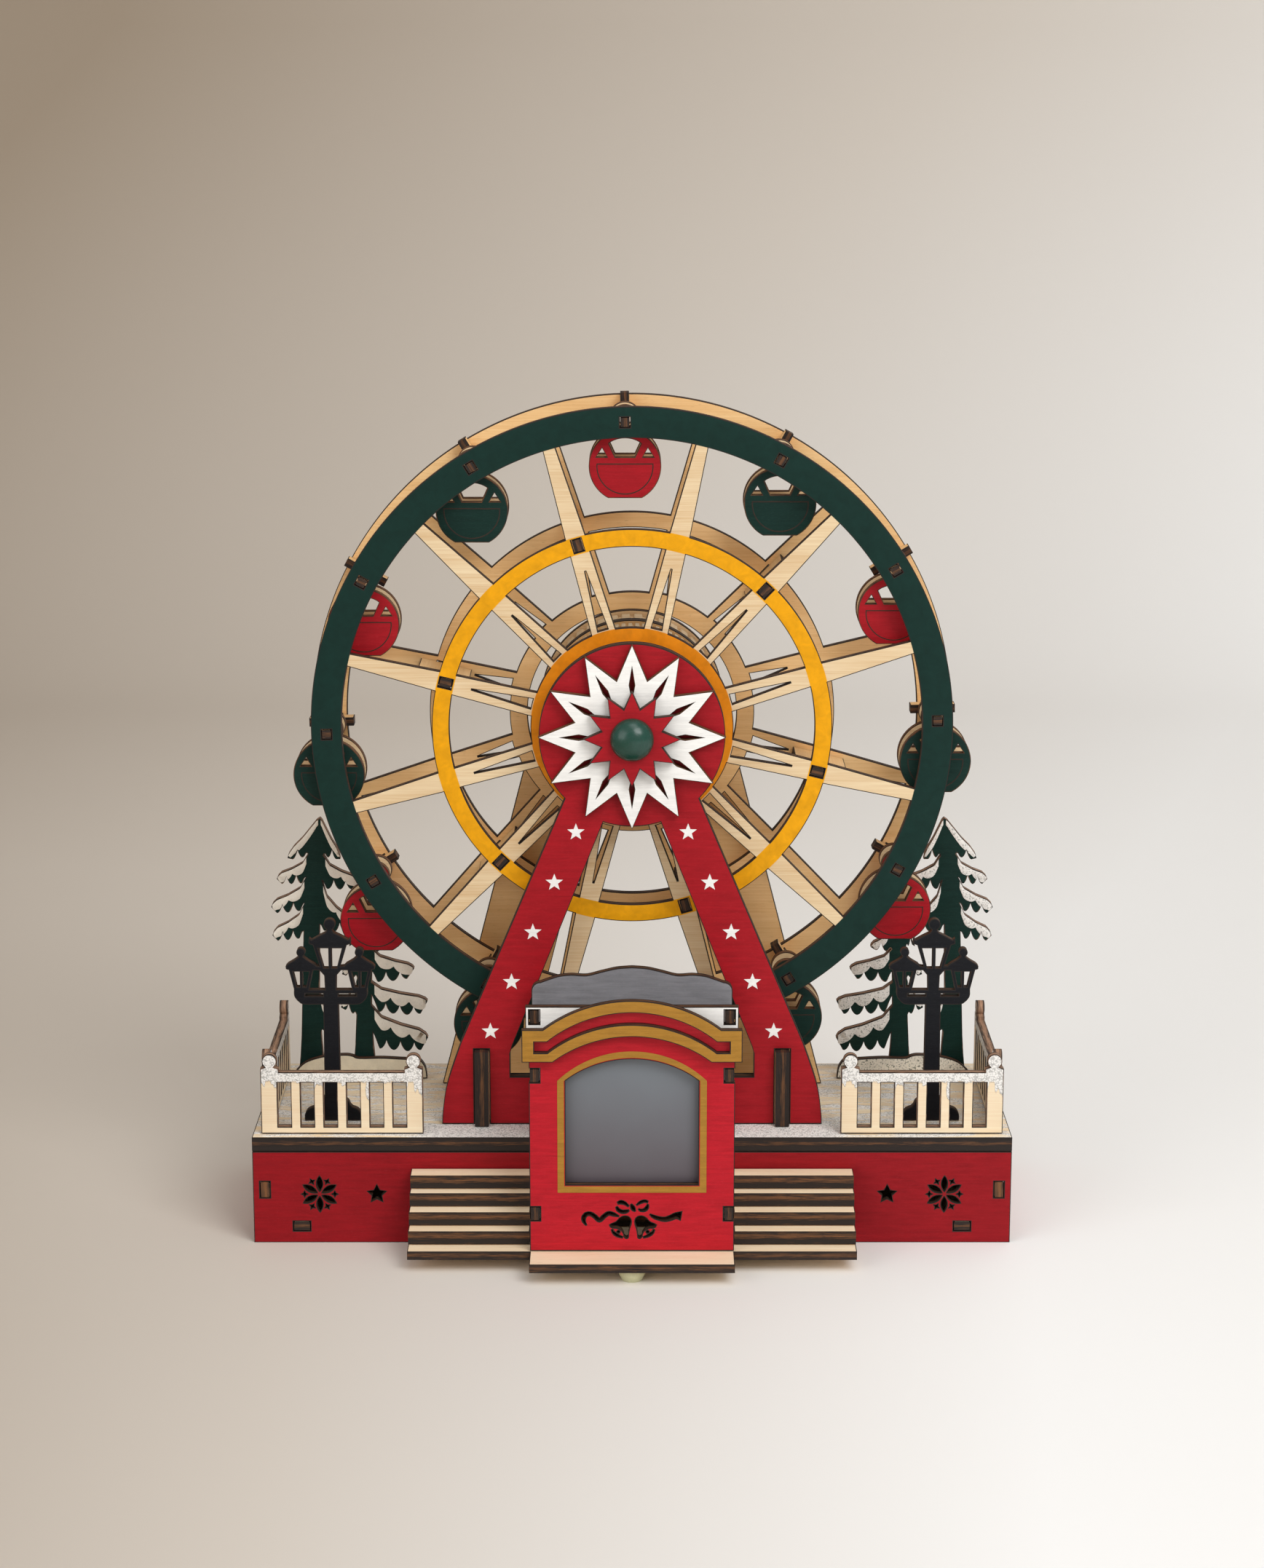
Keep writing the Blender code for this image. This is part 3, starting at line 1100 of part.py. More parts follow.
def lamp_drawing():
    """A street lamp on y = 0: lobed foot, post, cross arm, two side lanterns and a taller middle one.
    It is drawn in units of its own and scaled to its height."""
    post, arm_low, arm_high = 2.5, 42.4, 47.0
    side_x, side_base, side_half = 10.2, 47.0, 2.6
    foot = [(9.8, 0.0), (8.8, 3.2), (6.6, 5.2), (5.2, 5.6), (4.4, 7.8), (2.4, 9.2)]
    side = moved(lantern(4.6, side_half, 8.4, 1.7), side_x, side_base)
    side_left = moved(flipped(lantern(3.6, side_half, 8.4, 1.7)), side_x, side_base)
    arm = [(post, arm_low), (8.8, arm_low), (11.6, arm_low + 2.2)]
    inner = [(side_x - side_half, arm_high), (post, arm_high)]
    middle = moved(lantern(6.0, 3.4, 9.6, 2.1), 0.0, 53.6)
    right = foot + arm + side + side_left[::-1][1:-1] + inner + middle
    top = middle[-1][1]
    outline = right[:-1] + [(0.0, top)] + flipped(right[:-1])[::-1]
    drawings, bar = [outline], 0.5
    for x, base, half_top, half_low, height in ((0.0, 54.6, 4.0, 2.4, 7.4), (side_x, 48.2, 2.9, 1.7, 6.2),
                                                (-side_x, 48.2, 2.9, 1.7, 6.2)):
        pane = [(bar, 0.0), (half_low, 0.0), (half_top, height), (bar, height)]
        drawings += [moved(pane, x, base), moved(flipped(pane), x, base)]
    scaled = [[(x * LAMP_HEIGHT / top, y * LAMP_HEIGHT / top) for x, y in points] for points in drawings]
    return scaled[0], scaled[1:]


def trunk_edge(share, sign, height, half, lean):
    """Where the trunk's edge is at a share of the tree's height: flared below, leaning above."""
    return lean * share ** 3 + sign * (half + TRUNK_FLARE * (1.0 - share) ** 6), share * height


def tree_side(tiers, sign, height, half, lean):
    """One side of a fir from its foot up, without its top. Its tiers come from the top down."""
    edge = [trunk_edge(share, sign, height, half, lean) for share in (0.0, 0.08, 0.16)]
    for root, reach, tip, foot in reversed(tiers):
        start = (lean, height) if root == 1.0 else trunk_edge(root, sign, height, half, lean)
        end = trunk_edge(foot, sign, height, half, lean)
        edge += branch(start, (sign * reach * height, tip * height), end, CROWN_TOP if root == 1.0 else BRANCH_TOP)
    return edge[:-1]


def fall(table, t):
    """Straight lines between the rows of a table."""
    for (t0, h0), (t1, h1) in zip(table, table[1:]):
        if t <= t1:
            return h0 + (h1 - h0) * (t - t0) / (t1 - t0)
    return 0.0


def branch(start, tip, end, top):
    """A branch from its lower root along its hanging fingers to its tip, and back along its upper edge."""
    length = abs(tip[0] - end[0])
    fingers = 2 + int(length / (9.0 * MM))
    hang = BRANCH_HANG * (length - BRANCH_SHORT)
    lower = []
    for i in range(1, 4 * fingers - 1):
        t = i / (4.0 * fingers)
        notch = 1.0 - abs(math.sin(math.pi * fingers * t)) ** 0.7
        fade = min(1.0, t / 0.12) * math.sqrt(1.0 - t ** 8)
        level = end[1] + (tip[1] - end[1]) * t
        lower.append((end[0] + (tip[0] - end[0]) * t, level - fade * (hang - FINGER * notch)))
    upper = [(start[0] + (tip[0] - start[0]) * t, tip[1] + (start[1] - tip[1]) * h) for t, h in top]
    return [end] + lower + upper[::-1]


def grove_drawing():
    """A tall fir and a short one cut from one board with a common foot. The short one stands to the right."""
    tall_left = tree_side(TALL_OUTER, -1, TALL_HEIGHT, TALL_HALF, TALL_LEAN)
    tall_right = tree_side(TALL_INNER, 1, TALL_HEIGHT, TALL_HALF, TALL_LEAN)
    short_left = tree_side(SHORT_OUTER, -1, SHORT_HEIGHT, SHORT_HALF, SHORT_LEAN)
    short_right = tree_side(SHORT_INNER, 1, SHORT_HEIGHT, SHORT_HALF, SHORT_LEAN)
    short_left[0] = (short_left[0][0], GROVE_FOOT)
    tall_right[0] = (tall_right[0][0], GROVE_FOOT)
    short = short_right + [(SHORT_LEAN, SHORT_HEIGHT)] + short_left[::-1]
    tall = tall_right + [(TALL_LEAN, TALL_HEIGHT)] + tall_left[::-1]
    return moved(short, TREE_SPACING, 0.0) + tall


def mound_drawing():
    """A low bank of snow, highest near its middle and steep at its inner end."""
    half, height = MOUND_HALF, MOUND_HEIGHT
    rows = ((1.0, 0.0), (0.97, 0.5), (0.86, 0.86), (0.73, 0.82), (0.35, 0.87), (0.0, 0.86), (-0.1, 0.96),
            (-0.22, 1.0), (-0.52, 0.93), (-0.78, 0.7), (-0.93, 0.32), (-1.0, 0.0))
    return [(half * x, height * z) for x, z in rows]


def build_garden(shop):
    outline, holes = lamp_drawing()
    for name, sign in (("street_lamp_left", -1), ("street_lamp_right", 1)):
        mesh = board_mesh(name, outline, PLY, holes)
        place = facing_front(FRONT_Y + LAMP_DEPTH + PLY / 2, sign * LAMP_X, FLOOR)
        shop.place(name, mesh, "black_paint", place)

    rows = (("trees", grove_drawing(), TALL_X, FRONT_Y + TREE_DEPTH, "dark_green_paint"),
            ("snow_mound", mound_drawing(), MOUND_X, FRONT_Y + TREE_DEPTH - PLY - GAP, "white_paint"))
    for kind, drawing, x, y, paint in rows:
        for side, sign in (("left", -1), ("right", 1)):
            name = "%s_%s" % (kind, side)
            points = drawing if sign < 0 else flipped(drawing)[::-1]
            shop.place(name, board_mesh(name, points, PLY), paint, facing_front(y + PLY / 2, sign * x, FLOOR))


# Power and light
def build_power(shop, hatch_turn, switch_slide):
    back_y = FRONT_Y + BASE_DEPTH
    width, length, height = battery_box_size()
    low_z = PLATE_TOP + GAP
    mouth_y = back_y - PLY - GAP
    x0, x1 = BATTERY_X - width / 2, BATTERY_X + width / 2
    y0 = mouth_y - length
    outer = box_mesh("battery_box", (x0, y0, low_z), (x1, mouth_y, low_z + height))
    inner = box_mesh("hollow", (x0 + BOX_WALL, y0 + BOX_WALL, low_z + BOX_WALL),
                     (x1 - BOX_WALL, mouth_y + BOX_WALL, low_z + height - BOX_WALL))
    shop.place("battery_box", combined_mesh("battery_box", outer, inner, "DIFFERENCE"), "black_plastic")

    pitch = 2 * CELL_RADIUS + GAP
    first = BATTERY_X - pitch * (CELL_COUNT - 1) / 2
    cell_z = low_z + BOX_WALL + GAP + CELL_RADIUS
    for k in range(CELL_COUNT):
        name = "battery_cell_%d" % (k + 1)
        cell = cylinder_mesh(name, CELL_RADIUS, CELL_LENGTH, 20)
        place = facing_front(mouth_y - GAP - CELL_LENGTH / 2, first + pitch * k, cell_z)
        shop.place(name, cell, "cell_wrap", place)

    hatch = board_mesh("battery_hatch", hatch_outline(), PLY)
    shop.place("battery_hatch", hatch, "red_paint", facing_front(back_y - PLY / 2), hatch_turn)

    body_w, body_d, body_h = SWITCH_BODY
    body = box_mesh("switch_body", (-body_w / 2, -body_d, -body_h / 2), (body_w / 2, 0.0, body_h / 2))
    shop.place("switch_body", body, "black_plastic", Matrix.Translation((SWITCH_X, mouth_y, SWITCH_HEIGHT)))
    wide, tall = SLIDER_SIZE
    deep = back_y - mouth_y - 2 * GAP
    slider = box_mesh("switch_slider", (-wide / 2, -deep, -tall / 2), (wide / 2, 0.0, tall / 2))
    place = Matrix.Translation((SWITCH_X - SWITCH_TRAVEL / 2, back_y - GAP, SWITCH_HEIGHT))
    shop.place("switch_slider", slider, "black_plastic", place, switch_slide)
    build_light(shop, low_z + height)


def build_light(shop, box_top):
    """The light board on the booth's back board, and the wires from the motor to it over the batteries."""
    board_y = FRONT_Y + BOOTH_BACK_DEPTH - GAP
    wide, tall, thick = LIGHT_BOARD_SIZE
    board = box_mesh("light_board", (-wide / 2, board_y - thick, LIGHT_BOARD_HEIGHT - tall / 2),
                     (wide / 2, board_y, LIGHT_BOARD_HEIGHT + tall / 2))
    light = cylinder_mesh("light", LIGHT_RADIUS, LIGHT_LENGTH + SEAT, 12)
    light_y = board_y - thick - (LIGHT_LENGTH - SEAT) / 2
    lights = joined_mesh("lights", [(light, facing_front(light_y, x, LIGHT_BOARD_HEIGHT))
                                    for x in (-wide / 4, wide / 4)])
    shop.place("light_board", combined_mesh("light_board", board, lights, "UNION"), "circuit_board")

    start = FRONT_Y + REAR_FRAME_DEPTH + THICK_PLY
    inside_y, leg_y = start + HOUSING_LENGTH / 2, start + GAP + WIRE_RADIUS
    out = [polar(radius, HOUSING_GAP_ANGLE, (0.0, AXLE_HEIGHT)) for radius in (
        MOTOR_RADIUS + GAP, (MOTOR_RADIUS + HOUSING_RADIUS) / 2, HOUSING_RADIUS + 3.0 * MM)]
    (x0, z0), (x1, z1), (x2, z2) = out
    hole_x, hole_y = wire_hole()
    through_x, through_z = panel_wire_hole()
    over = (box_top + DECK_BOTTOM) / 2
    front = FRONT_Y - STAIR_BRIDGE / 2
    route = [(x0, inside_y, z0), (x1, inside_y, z1), (x2, leg_y, z2), (hole_x, hole_y, FLOOR + 20.0 * MM),
             (hole_x, hole_y, over), (through_x, FRONT_Y + 3 * PLY, through_z), (through_x, front, through_z),
             (through_x, front, LIGHT_BOARD_HEIGHT - tall), (-wide / 4, board_y - thick - GAP - WIRE_RADIUS,
                                                             LIGHT_BOARD_HEIGHT - tall / 4)]
    wires = tube_mesh("wiring_loom", smooth_route(route, WIRE_BEND), WIRE_RADIUS)
    shop.place("wiring_loom", wires, "wire_cover")


def main():
    clear_scene()
    shop = Workshop()
    build_base(shop)
    build_stairs(shop)
    build_booth(shop)
    build_frames(shop)
    build_rosette(shop)
    spin = shop.pivot("wheel_axis", 0.0, WHEEL_Y, AXLE_HEIGHT)
    build_wheel(shop, spin)
    build_gondolas(shop, spin)
    build_drive(shop)
    build_fences(shop)
    build_garden(shop)
    hatch_low = hatch_outline()[0][1]
    hatch_turn = shop.pivot("hatch_axis", BATTERY_X, FRONT_Y + BASE_DEPTH, hatch_low)
    switch_slide = shop.pivot("switch_track", SWITCH_X, FRONT_Y + BASE_DEPTH, SWITCH_HEIGHT)
    build_power(shop, hatch_turn, switch_slide)


main()
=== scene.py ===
"""The looks of a light-up wooden ferris wheel: scorched plywood boards, paint, snow and a small studio.

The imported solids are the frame. Every board here is worked out in the same metres, with +Z up and the front
of the object towards -Y, stands where its solid stands and rides on the same body. A drawing is an array of
points in a board's own x and y, and a place says how the board stands in the frame.
"""
import math
from collections import namedtuple

import bmesh
import bpy
import numpy as np
from mathutils import Matrix, Vector
from mathutils.geometry import delaunay_2d_cdt


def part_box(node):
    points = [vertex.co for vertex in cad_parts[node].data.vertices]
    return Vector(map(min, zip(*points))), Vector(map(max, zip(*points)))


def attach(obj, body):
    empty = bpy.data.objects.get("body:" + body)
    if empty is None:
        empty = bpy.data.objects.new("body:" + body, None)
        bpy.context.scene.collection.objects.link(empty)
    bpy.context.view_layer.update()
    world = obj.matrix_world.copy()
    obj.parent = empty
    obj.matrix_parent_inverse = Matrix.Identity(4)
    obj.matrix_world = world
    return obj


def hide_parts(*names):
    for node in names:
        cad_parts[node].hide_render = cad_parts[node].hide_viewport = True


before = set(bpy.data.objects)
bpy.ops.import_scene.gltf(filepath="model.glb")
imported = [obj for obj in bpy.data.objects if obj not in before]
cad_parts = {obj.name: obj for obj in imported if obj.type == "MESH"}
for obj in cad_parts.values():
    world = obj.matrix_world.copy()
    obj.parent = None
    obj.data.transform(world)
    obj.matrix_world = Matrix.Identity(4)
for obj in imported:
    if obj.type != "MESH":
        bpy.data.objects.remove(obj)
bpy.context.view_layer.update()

bl_info = {
    "name": "Wooden ferris wheel",
    "version": (1, 0, 0),
    "blender": (4, 5, 0),
    "location": "View3D > Sidebar > Ferris wheel",
    "description": "Builds the boards, paint and snow of a light-up wooden ferris wheel",
    "category": "Object",
}

MM = 0.001
MERGE = 1e-6                        # metres within which two corners are one
PROUD = 0.6                         # share of a raised layer that stands in front of its board
POINTS = 12                         # of the rosette's stars, and spokes and gondolas of the wheel
PHASE = 1.3                         # degrees by which the wheel stands turned
GRAIN_STEP = 0.05                   # metres by which the next board's grain lies further on

Place = namedtuple("Place", "origin along up out")
Drawing = namedtuple("Drawing", "outline holes", defaults=((),))

# The three directions of a place: the drawing's x, its y, and the way its front looks
FRONT = ((1, 0, 0), (0, 0, 1), (0, -1, 0))
SIDE = ((0, 1, 0), (0, 0, 1), (1, 0, 0))
TOP = ((1, 0, 0), (0, 1, 0), (0, 0, 1))


# Sizes and colours that a user would change
def length(note, millimetres):
    return bpy.props.FloatProperty(description=note, default=millimetres * MM, unit="LENGTH", precision=5)


def angle(note, degrees):
    return bpy.props.FloatProperty(description=note, default=math.radians(degrees), subtype="ANGLE")


def count(note, number):
    return bpy.props.IntProperty(description=note, default=number, min=1)


def colour(note, red, green, blue):
    """A colour as the eye sees it, in steps from 0 to 255."""
    return bpy.props.FloatVectorProperty(description=note, subtype="COLOR_GAMMA", size=3, min=0.0, max=1.0,
                                         default=(red / 255, green / 255, blue / 255))


class CutSizes(bpy.types.PropertyGroup):
    scorch: length("Width of the burnt line round every cut", 0.28)
    arris: length("How far the burnt line falls away", 0.06)
    chord: length("Longest straight step on a curve", 0.9)
    play: length("Clearance on each side of a tab", 0.3)
    relief: length("How far a layer of paint or snow stands proud", 0.22)
    ply: length("Thickness of the thin boards", 3.0)


class BaseSizes(bpy.types.PropertyGroup):
    snowflake_inset: length("From the panel's end to the snowflake's middle", 22.8)
    snowflake_height: length("Middle of the snowflake and the star", 17.5)
    snowflake_radius: length("From the middle to a petal's tip", 6.45)
    petal_half: length("Half a petal's width", 1.05)
    star_inset: length("From the panel's end to the star's middle", 42.4)
    star_radius: length("From the middle to a point", 3.4)
    side_tab_height: length("Middle of the side panel's tab", 19.1)
    side_tab_length: length("Length of the side panel's tab", 5.4)
    plate_tab_inset: length("From the panel's end to the bottom plate's tab", 16.5)
    plate_tab_length: length("Length of the bottom plate's tab", 5.4)
    wire_hole: length("Radius of the wire's hole in deck and panel", 1.5)
    wire_panel_x: length("Where the wire goes through the front panel", -25.15)
    wire_panel_z: length("Height of the wire in the front panel", 29.9)
    wire_deck_x: length("Where the wire goes through the deck", -51.0)
    wire_deck_y: length("How far back the wire goes through the deck", 44.25)
    switch_length: length("Length of the switch's slot", 10.0)
    switch_height: length("Height of the switch's slot", 5.0)
    tongue_step: length("From the front panel to the step in the tongue", 28.6)
    stair_bridge: length("Depth of a stair board's bridge behind the booth", 4.7)


class BoothSizes(bpy.types.PropertyGroup):
    window_half: length("Half the width of the window", 22.1)
    window_bottom: length("Height of the sill", 30.9)
    window_spring: length("Height at which the arch starts", 67.2)
    window_rise: length("Rise of the arch", 7.5)
    frame_width: length("Width of the painted frame", 2.7)
    cornice_bottom: length("Lowest edge of the cornice", 74.5)
    cornice_shoulder: length("Height at which the cornice's arch starts", 85.6)
    cornice_top: length("Peak of the cornice", 95.6)
    cornice_band: length("Width of a gold band", 4.1)
    tab_length: length("Length of a wall's tab", 4.4)
    tab_low: length("Middle of the low tab", 20.75)
    tab_high: length("Middle of the high tab", 69.0)
    tab_gable: length("Middle of the tab through the gable", 88.2)
    shoulder: length("Height of the back board's shoulders", 91.4)
    back_corner: length("Radius of the back board's shoulders", 3.0)
    panel_drop: length("From the cornice's shoulder down to the panel's", 1.0)
    panel_shoulder: length("Width of the panel's shoulder", 5.0)
    cornice_shoulder_width: length("From the cornice's end to its upper arch", 7.0)
    cornice_foot_width: length("From the cornice's end to its lower arch", 10.2)
    band_upper_inset: length("From the cornice's upper arch to the band's, sideways", 1.4)
    band_lower_inset: length("From the cornice's lower arch to the band's, sideways", 1.8)
    frame_margin: length("Bare strip between the window's cut and its painted frame", 0.5)
    pane_overlap: length("How far the pane reaches past the window", 2.6)
    wall_front_drop: length("From the gable's top down to a wall's", 1.0)
    wall_back_drop: length("From the back board's shoulder down to a wall's", 8.0)


class FrameSizes(bpy.types.PropertyGroup):
    axle_height: length("Height of the axle above the table", 175.1)
    head_radius: length("Radius of both frames' heads", 31.4)
    foot_half: length("Half the front frame's width at its foot", 65.5)
    leg_inner: length("From the middle to a front leg's inner edge", 41.9)
    sill: length("Top of the front frame's cross board", 55.0)
    rear_foot_half: length("Half the rear frame's width at its foot", 67.8)
    rear_leg_inner: length("From the middle to a rear leg's inner edge", 37.1)
    rear_sill: length("Top of the rear frame's cross board", 50.0)
    brace_x: length("From the middle to a brace", 51.7)
    star_radius: length("Radius of a star painted on a leg", 3.1)


class RosetteSizes(bpy.types.PropertyGroup):
    white_tip: length("Radius of the white star's points", 31.6)
    white_notch: length("Radius of the white star's notches", 20.0)
    kite_outer: length("Outer end of a kite cut-out", 24.3)
    kite_widest: length("Where a kite is widest", 17.9)
    kite_inner: length("Inner end of a kite cut-out", 12.6)
    kite_half: length("Half a kite's width", 0.85)
    red_tip: length("Radius of the red star's points", 16.3)
    red_notch: length("Radius of the red star's notches", 10.5)
    knob_radius: length("Radius of the green knob", 7.3)


class WheelSizes(bpy.types.PropertyGroup):
    rim_outer: length("Outer radius of the front rim", 109.25)
    rim_inner: length("Inner radius of the front rim", 98.8)
    ring_outer: length("Outer radius of the yellow ring", 68.1)
    ring_inner: length("Inner radius of the yellow ring", 62.15)
    hub_outer: length("Outer radius of the orange hub ring", 34.55)
    rear_rim_outer: length("Outer radius of the rear rim", 110.8)
    rear_rim_inner: length("Inner radius of the rear rim", 99.0)
    rear_ring_outer: length("Outer radius of the rear ring", 70.3)
    rear_ring_inner: length("Inner radius of the rear ring", 64.9)
    rear_hub_outer: length("Outer radius of the rear hub ring", 42.5)
    rear_hub_inner: length("Inner radius of the rear hub ring", 36.3)
    spoke_rim: length("Width of a spoke at the rim", 4.4)
    spoke_ring: length("Width of a spoke at the ring", 7.0)
    spoke_hub: length("Width of a spoke at the hub", 8.5)
    vee_tip: length("Radius of the sharp end of a spoke's slot", 56.0)
    vee_width: length("Width of a spoke's slot at the hub", 3.6)
    vee_margin: length("From the hub ring to a slot's wide end", 0.5)
    vee_point: length("Half the width of a slot's sharp end", 0.15)
    pivot: length("From the axle to a gondola's pivot", 104.0)
    neck: length("Height of a hanger's neck", 3.0)
    stop_depth: length("From the wheel's front to a hanger's stop", 21.0)
    stop_inner: length("Inner radius of a hanger's stop", 96.4)
    stop_outer: length("Outer radius of a hanger's stop", 111.8)
    hanger_tab: length("Height of a hanger's rear tab", 6.0)
    spacer_inner: length("Inner radius of a spacer", 57.5)
    spacer_outer: length("Outer radius of a spacer", 75.5)
    spacer_tab: length("Height of a spacer's tabs", 4.0)
    axle_radius: length("Radius of the axle", 3.0)
    drum_radius: length("Radius of the hub drum", 31.0)
    kerf_pitch: length("Distance between the saw cuts of the drum", 2.4)
    housing_kerf_pitch: length("Distance between the housing's cuts", 4.4)
    kerf_depth: length("Depth of a saw cut", 0.9)


class GondolaSizes(bpy.types.PropertyGroup):
    radius: length("Radius of a gondola's board", 12.2)
    drop: length("From the pivot to the middle of the board", 15.4)
    flat: length("From the middle of the board to its flat bottom", 10.8)
    lobe: length("Radius of the lobe round the pivot", 5.2)
    hole: length("Radius of the pivot hole", 2.5)
    front_gap: length("From the wheel's front to the front board", 6.0)
    spacing: length("From the front of one board to that of the other", 10.0)
    bench_half: length("Half the bench's width", 8.5)
    bench_drop: length("From the pivot to the bench's middle", 17.4)
    score: length("Width of the line scored into the boards", 0.35)
    score_inset: length("From a board's edge to the scored half moon", 2.6)
    score_drop: length("From the board's middle down to the half moon's flat side", 0.9)
    score_height: length("Thickness of the scored line's layer", 0.1)
    window_rim: length("From a board's edge to its window", 2.8)


class GardenSizes(bpy.types.PropertyGroup):
    post: length("Width of a fence post", 5.1)
    flare: length("How far a post's head stands out", 0.6)
    baluster: length("Width of a baluster", 3.3)
    sill: length("Height of the fence's sill", 2.3)
    rail_low: length("Lower edge of the rail", 18.2)
    rail_high: length("Upper edge of the rail", 21.8)
    ball: length("Radius of a post's ball", 2.5)
    side_inset: length("How far a side fence stands in from the front one's end", 0.2)
    front_balusters: count("Balusters in a front fence", 5)
    side_balusters: count("Balusters in a side fence", 8)
    tree_inset: length("From the side fence to the tall tree", 11.3)
    tree_spacing: length("From the tall tree to the short one", 19.0)
    tall_height: length("Height of the tall tree", 95.5)
    tall_half: length("Half the tall tree's trunk", 2.85)
    tall_lean: length("How far the tall tree's top leans inwards", 4.6)
    short_height: length("Height of the short tree", 69.0)
    short_half: length("Half the short tree's trunk", 2.6)
    short_lean: length("How far the short tree's top leans inwards", 3.0)
    trunk_flare: length("How much wider a trunk is at its foot, on each side", 2.0)
    foot: length("Height of the foot that joins the two trees", 5.0)
    finger: length("From the bottom of a finger to the notch beside it", 3.4)
    finger_pitch: length("Length of branch that each further finger takes", 9.0)
    branch_short: length("Branch whose fingers don't hang below its tip", 5.0)
    snow_depth: length("Depth of the snow on a short branch", 4.2)
    snow_rim: length("Bare rim above the snow on a branch", 0.35)


class Colours(bpy.types.PropertyGroup):
    red: colour("Front frame, gondolas and star", 168, 20, 32)
    # Painted shade: the base's panels carry the frame's red paint, made darker for the light they lack
    deep_red: colour("Panels of the base", 150, 16, 26)
    # Painted light: the booth's front panel carries the same red paint, made lighter because it catches more light
    bright_red: colour("Front panel of the booth", 188, 26, 40)
    # Painted light: a lighter red laid on the panel inside the cornice's slot, where the recess lies in shade
    band_red: colour("Painted band between the cornice's arches", 214, 42, 54)
    green: colour("Rim, gondolas and trees", 14, 46, 40)
    knob_green: colour("Gloss paint of the knob", 24, 68, 56)
    yellow: colour("Middle ring of the wheel", 236, 164, 8)
    orange: colour("Hub ring of the wheel", 222, 134, 12)
    gold: colour("Cornice and window frame", 172, 124, 48)
    white: colour("Star, gable and walls", 244, 242, 238)
    grey: colour("Back board of the booth", 134, 133, 137)
    black: colour("Street lamps", 20, 21, 26)
    pane: colour("Frosted window", 114, 119, 125)
    # Painted shade: the pane's colour at its sill, where it is darker
    pane_shaded_sill: colour("Frosted window at its sill", 92, 82, 88)
    birch: colour("Bare plywood", 240, 218, 180)
    birch_dark: colour("Grain of the bare plywood", 208, 168, 118)
    # Painted light: the treads and the plate's top are the bare birch made lighter, as more light falls on faces
    # that look up
    top_birch: colour("Treads of the stairs and the bottom plate", 252, 232, 202)
    lit_top_grain: colour("Grain of the treads", 232, 198, 156)
    # Painted light: the rear frame's and rear wheel's birch, made lighter and warmer than the bare birch to offset
    # the shade they stand in
    gold_birch: colour("Rear frame and rear wheel", 252, 212, 154)
    lit_gold_grain: colour("Grain of the rear frame and wheel", 226, 174, 108)
    scorched: colour("Darkest ply of a cut edge", 30, 18, 11)
    pale_birch: colour("Plywood of the fences and the deck", 247, 231, 200)
    toasted: colour("Lightest ply of a cut edge", 122, 78, 42)
    snow: colour("Grains of snow", 242, 239, 234)
    # Painted light and shade: the trees' snow and the banks' snow are one snow, the trees' made lighter against
    # the shade they stand in and the banks' a darker copy
    left_tree_snow: colour("Smooth snow on the left trees", 246, 238, 224)
    left_bank_snow: colour("Smooth snow of the left bank", 232, 220, 194)
    right_tree_snow: colour("Crusted snow on the right trees", 250, 246, 240)
    right_bank_snow: colour("Crusted snow of the right bank", 236, 228, 212)
    speck: colour("What shows between the grains of crusted snow", 92, 98, 84)
    snowed_edge: colour("Cut edges of fences and trees", 186, 144, 114)
    # Painted light and shade: the floor and backdrop are one pale sheet, painted darker at the upper left and
    # lighter on the right
    floor_painted_shade: colour("Backdrop at the upper left", 166, 150, 131)
    floor: colour("Floor and backdrop between", 214, 205, 194)
    floor_painted_light: colour("Floor on the right", 250, 249, 247)


class StudioSizes(bpy.types.PropertyGroup):
    camera_distance: length("From the object's middle to the camera", 1110.6)
    camera_height: length("Height of the camera above the table", 407.0)
    camera_pitch: angle("How far the camera looks down", 12.7)
    lens: bpy.props.FloatProperty(description="Focal length of the lens in millimetres", default=76.9)
    floor_half: length("Half the floor's width", 3000.0)
    floor_back: length("From the object to the backdrop's foot", 900.0)
    bend: length("Radius of the bend between floor and backdrop", 500.0)
    wall: length("Height of the backdrop", 3200.0)


# Drawings: arrays of points, one row each
def mm(*points):
    return np.array(points, float) * MM


def polar(radius, degrees, centre=(0.0, 0.0)):
    """Points at a radius and an angle from a centre: radius times cosine and sine."""
    turn = np.radians(degrees)
    return np.stack([centre[0] + radius * np.cos(turn), centre[1] + radius * np.sin(turn)], -1)


def arc(radius, start, end, centre=(0.0, 0.0)):
    """Points along a circle, close enough together that no chord is longer than the set one."""
    chord = bpy.context.scene.cut_sizes.chord
    steps = math.ceil(abs(math.radians(end - start)) * max(abs(radius) / chord, 7.0)) + 1
    return polar(radius, np.linspace(start, end, steps + 1), centre)


def circle(radius, centre=(0.0, 0.0)):
    return arc(radius, 0.0, 360.0, centre)[:-1]


def rectangle(x0, y0, x1, y1):
    return np.array([(x0, y0), (x1, y0), (x1, y1), (x0, y1)])


def star(tip, notch, points, centre=(0.0, 0.0), start=90.0):
    turns = start + 180.0 / points * np.arange(2 * points)
    return polar(np.where(np.arange(2 * points) % 2, notch, tip), turns, centre)


def moved(points, dx, dy, degrees=0.0):
    """Points turned about zero and then shifted."""
    c, s = math.cos(math.radians(degrees)), math.sin(math.radians(degrees))
    return points @ np.array([(c, s), (-s, c)]) + (dx, dy)


def flipped(points):
    return points * (-1.0, 1.0)


def mirrored(half):
    """A right half drawn from bottom to top, closed by its mirror image on the left."""
    return np.concatenate([half, flipped(half)[::-1]])


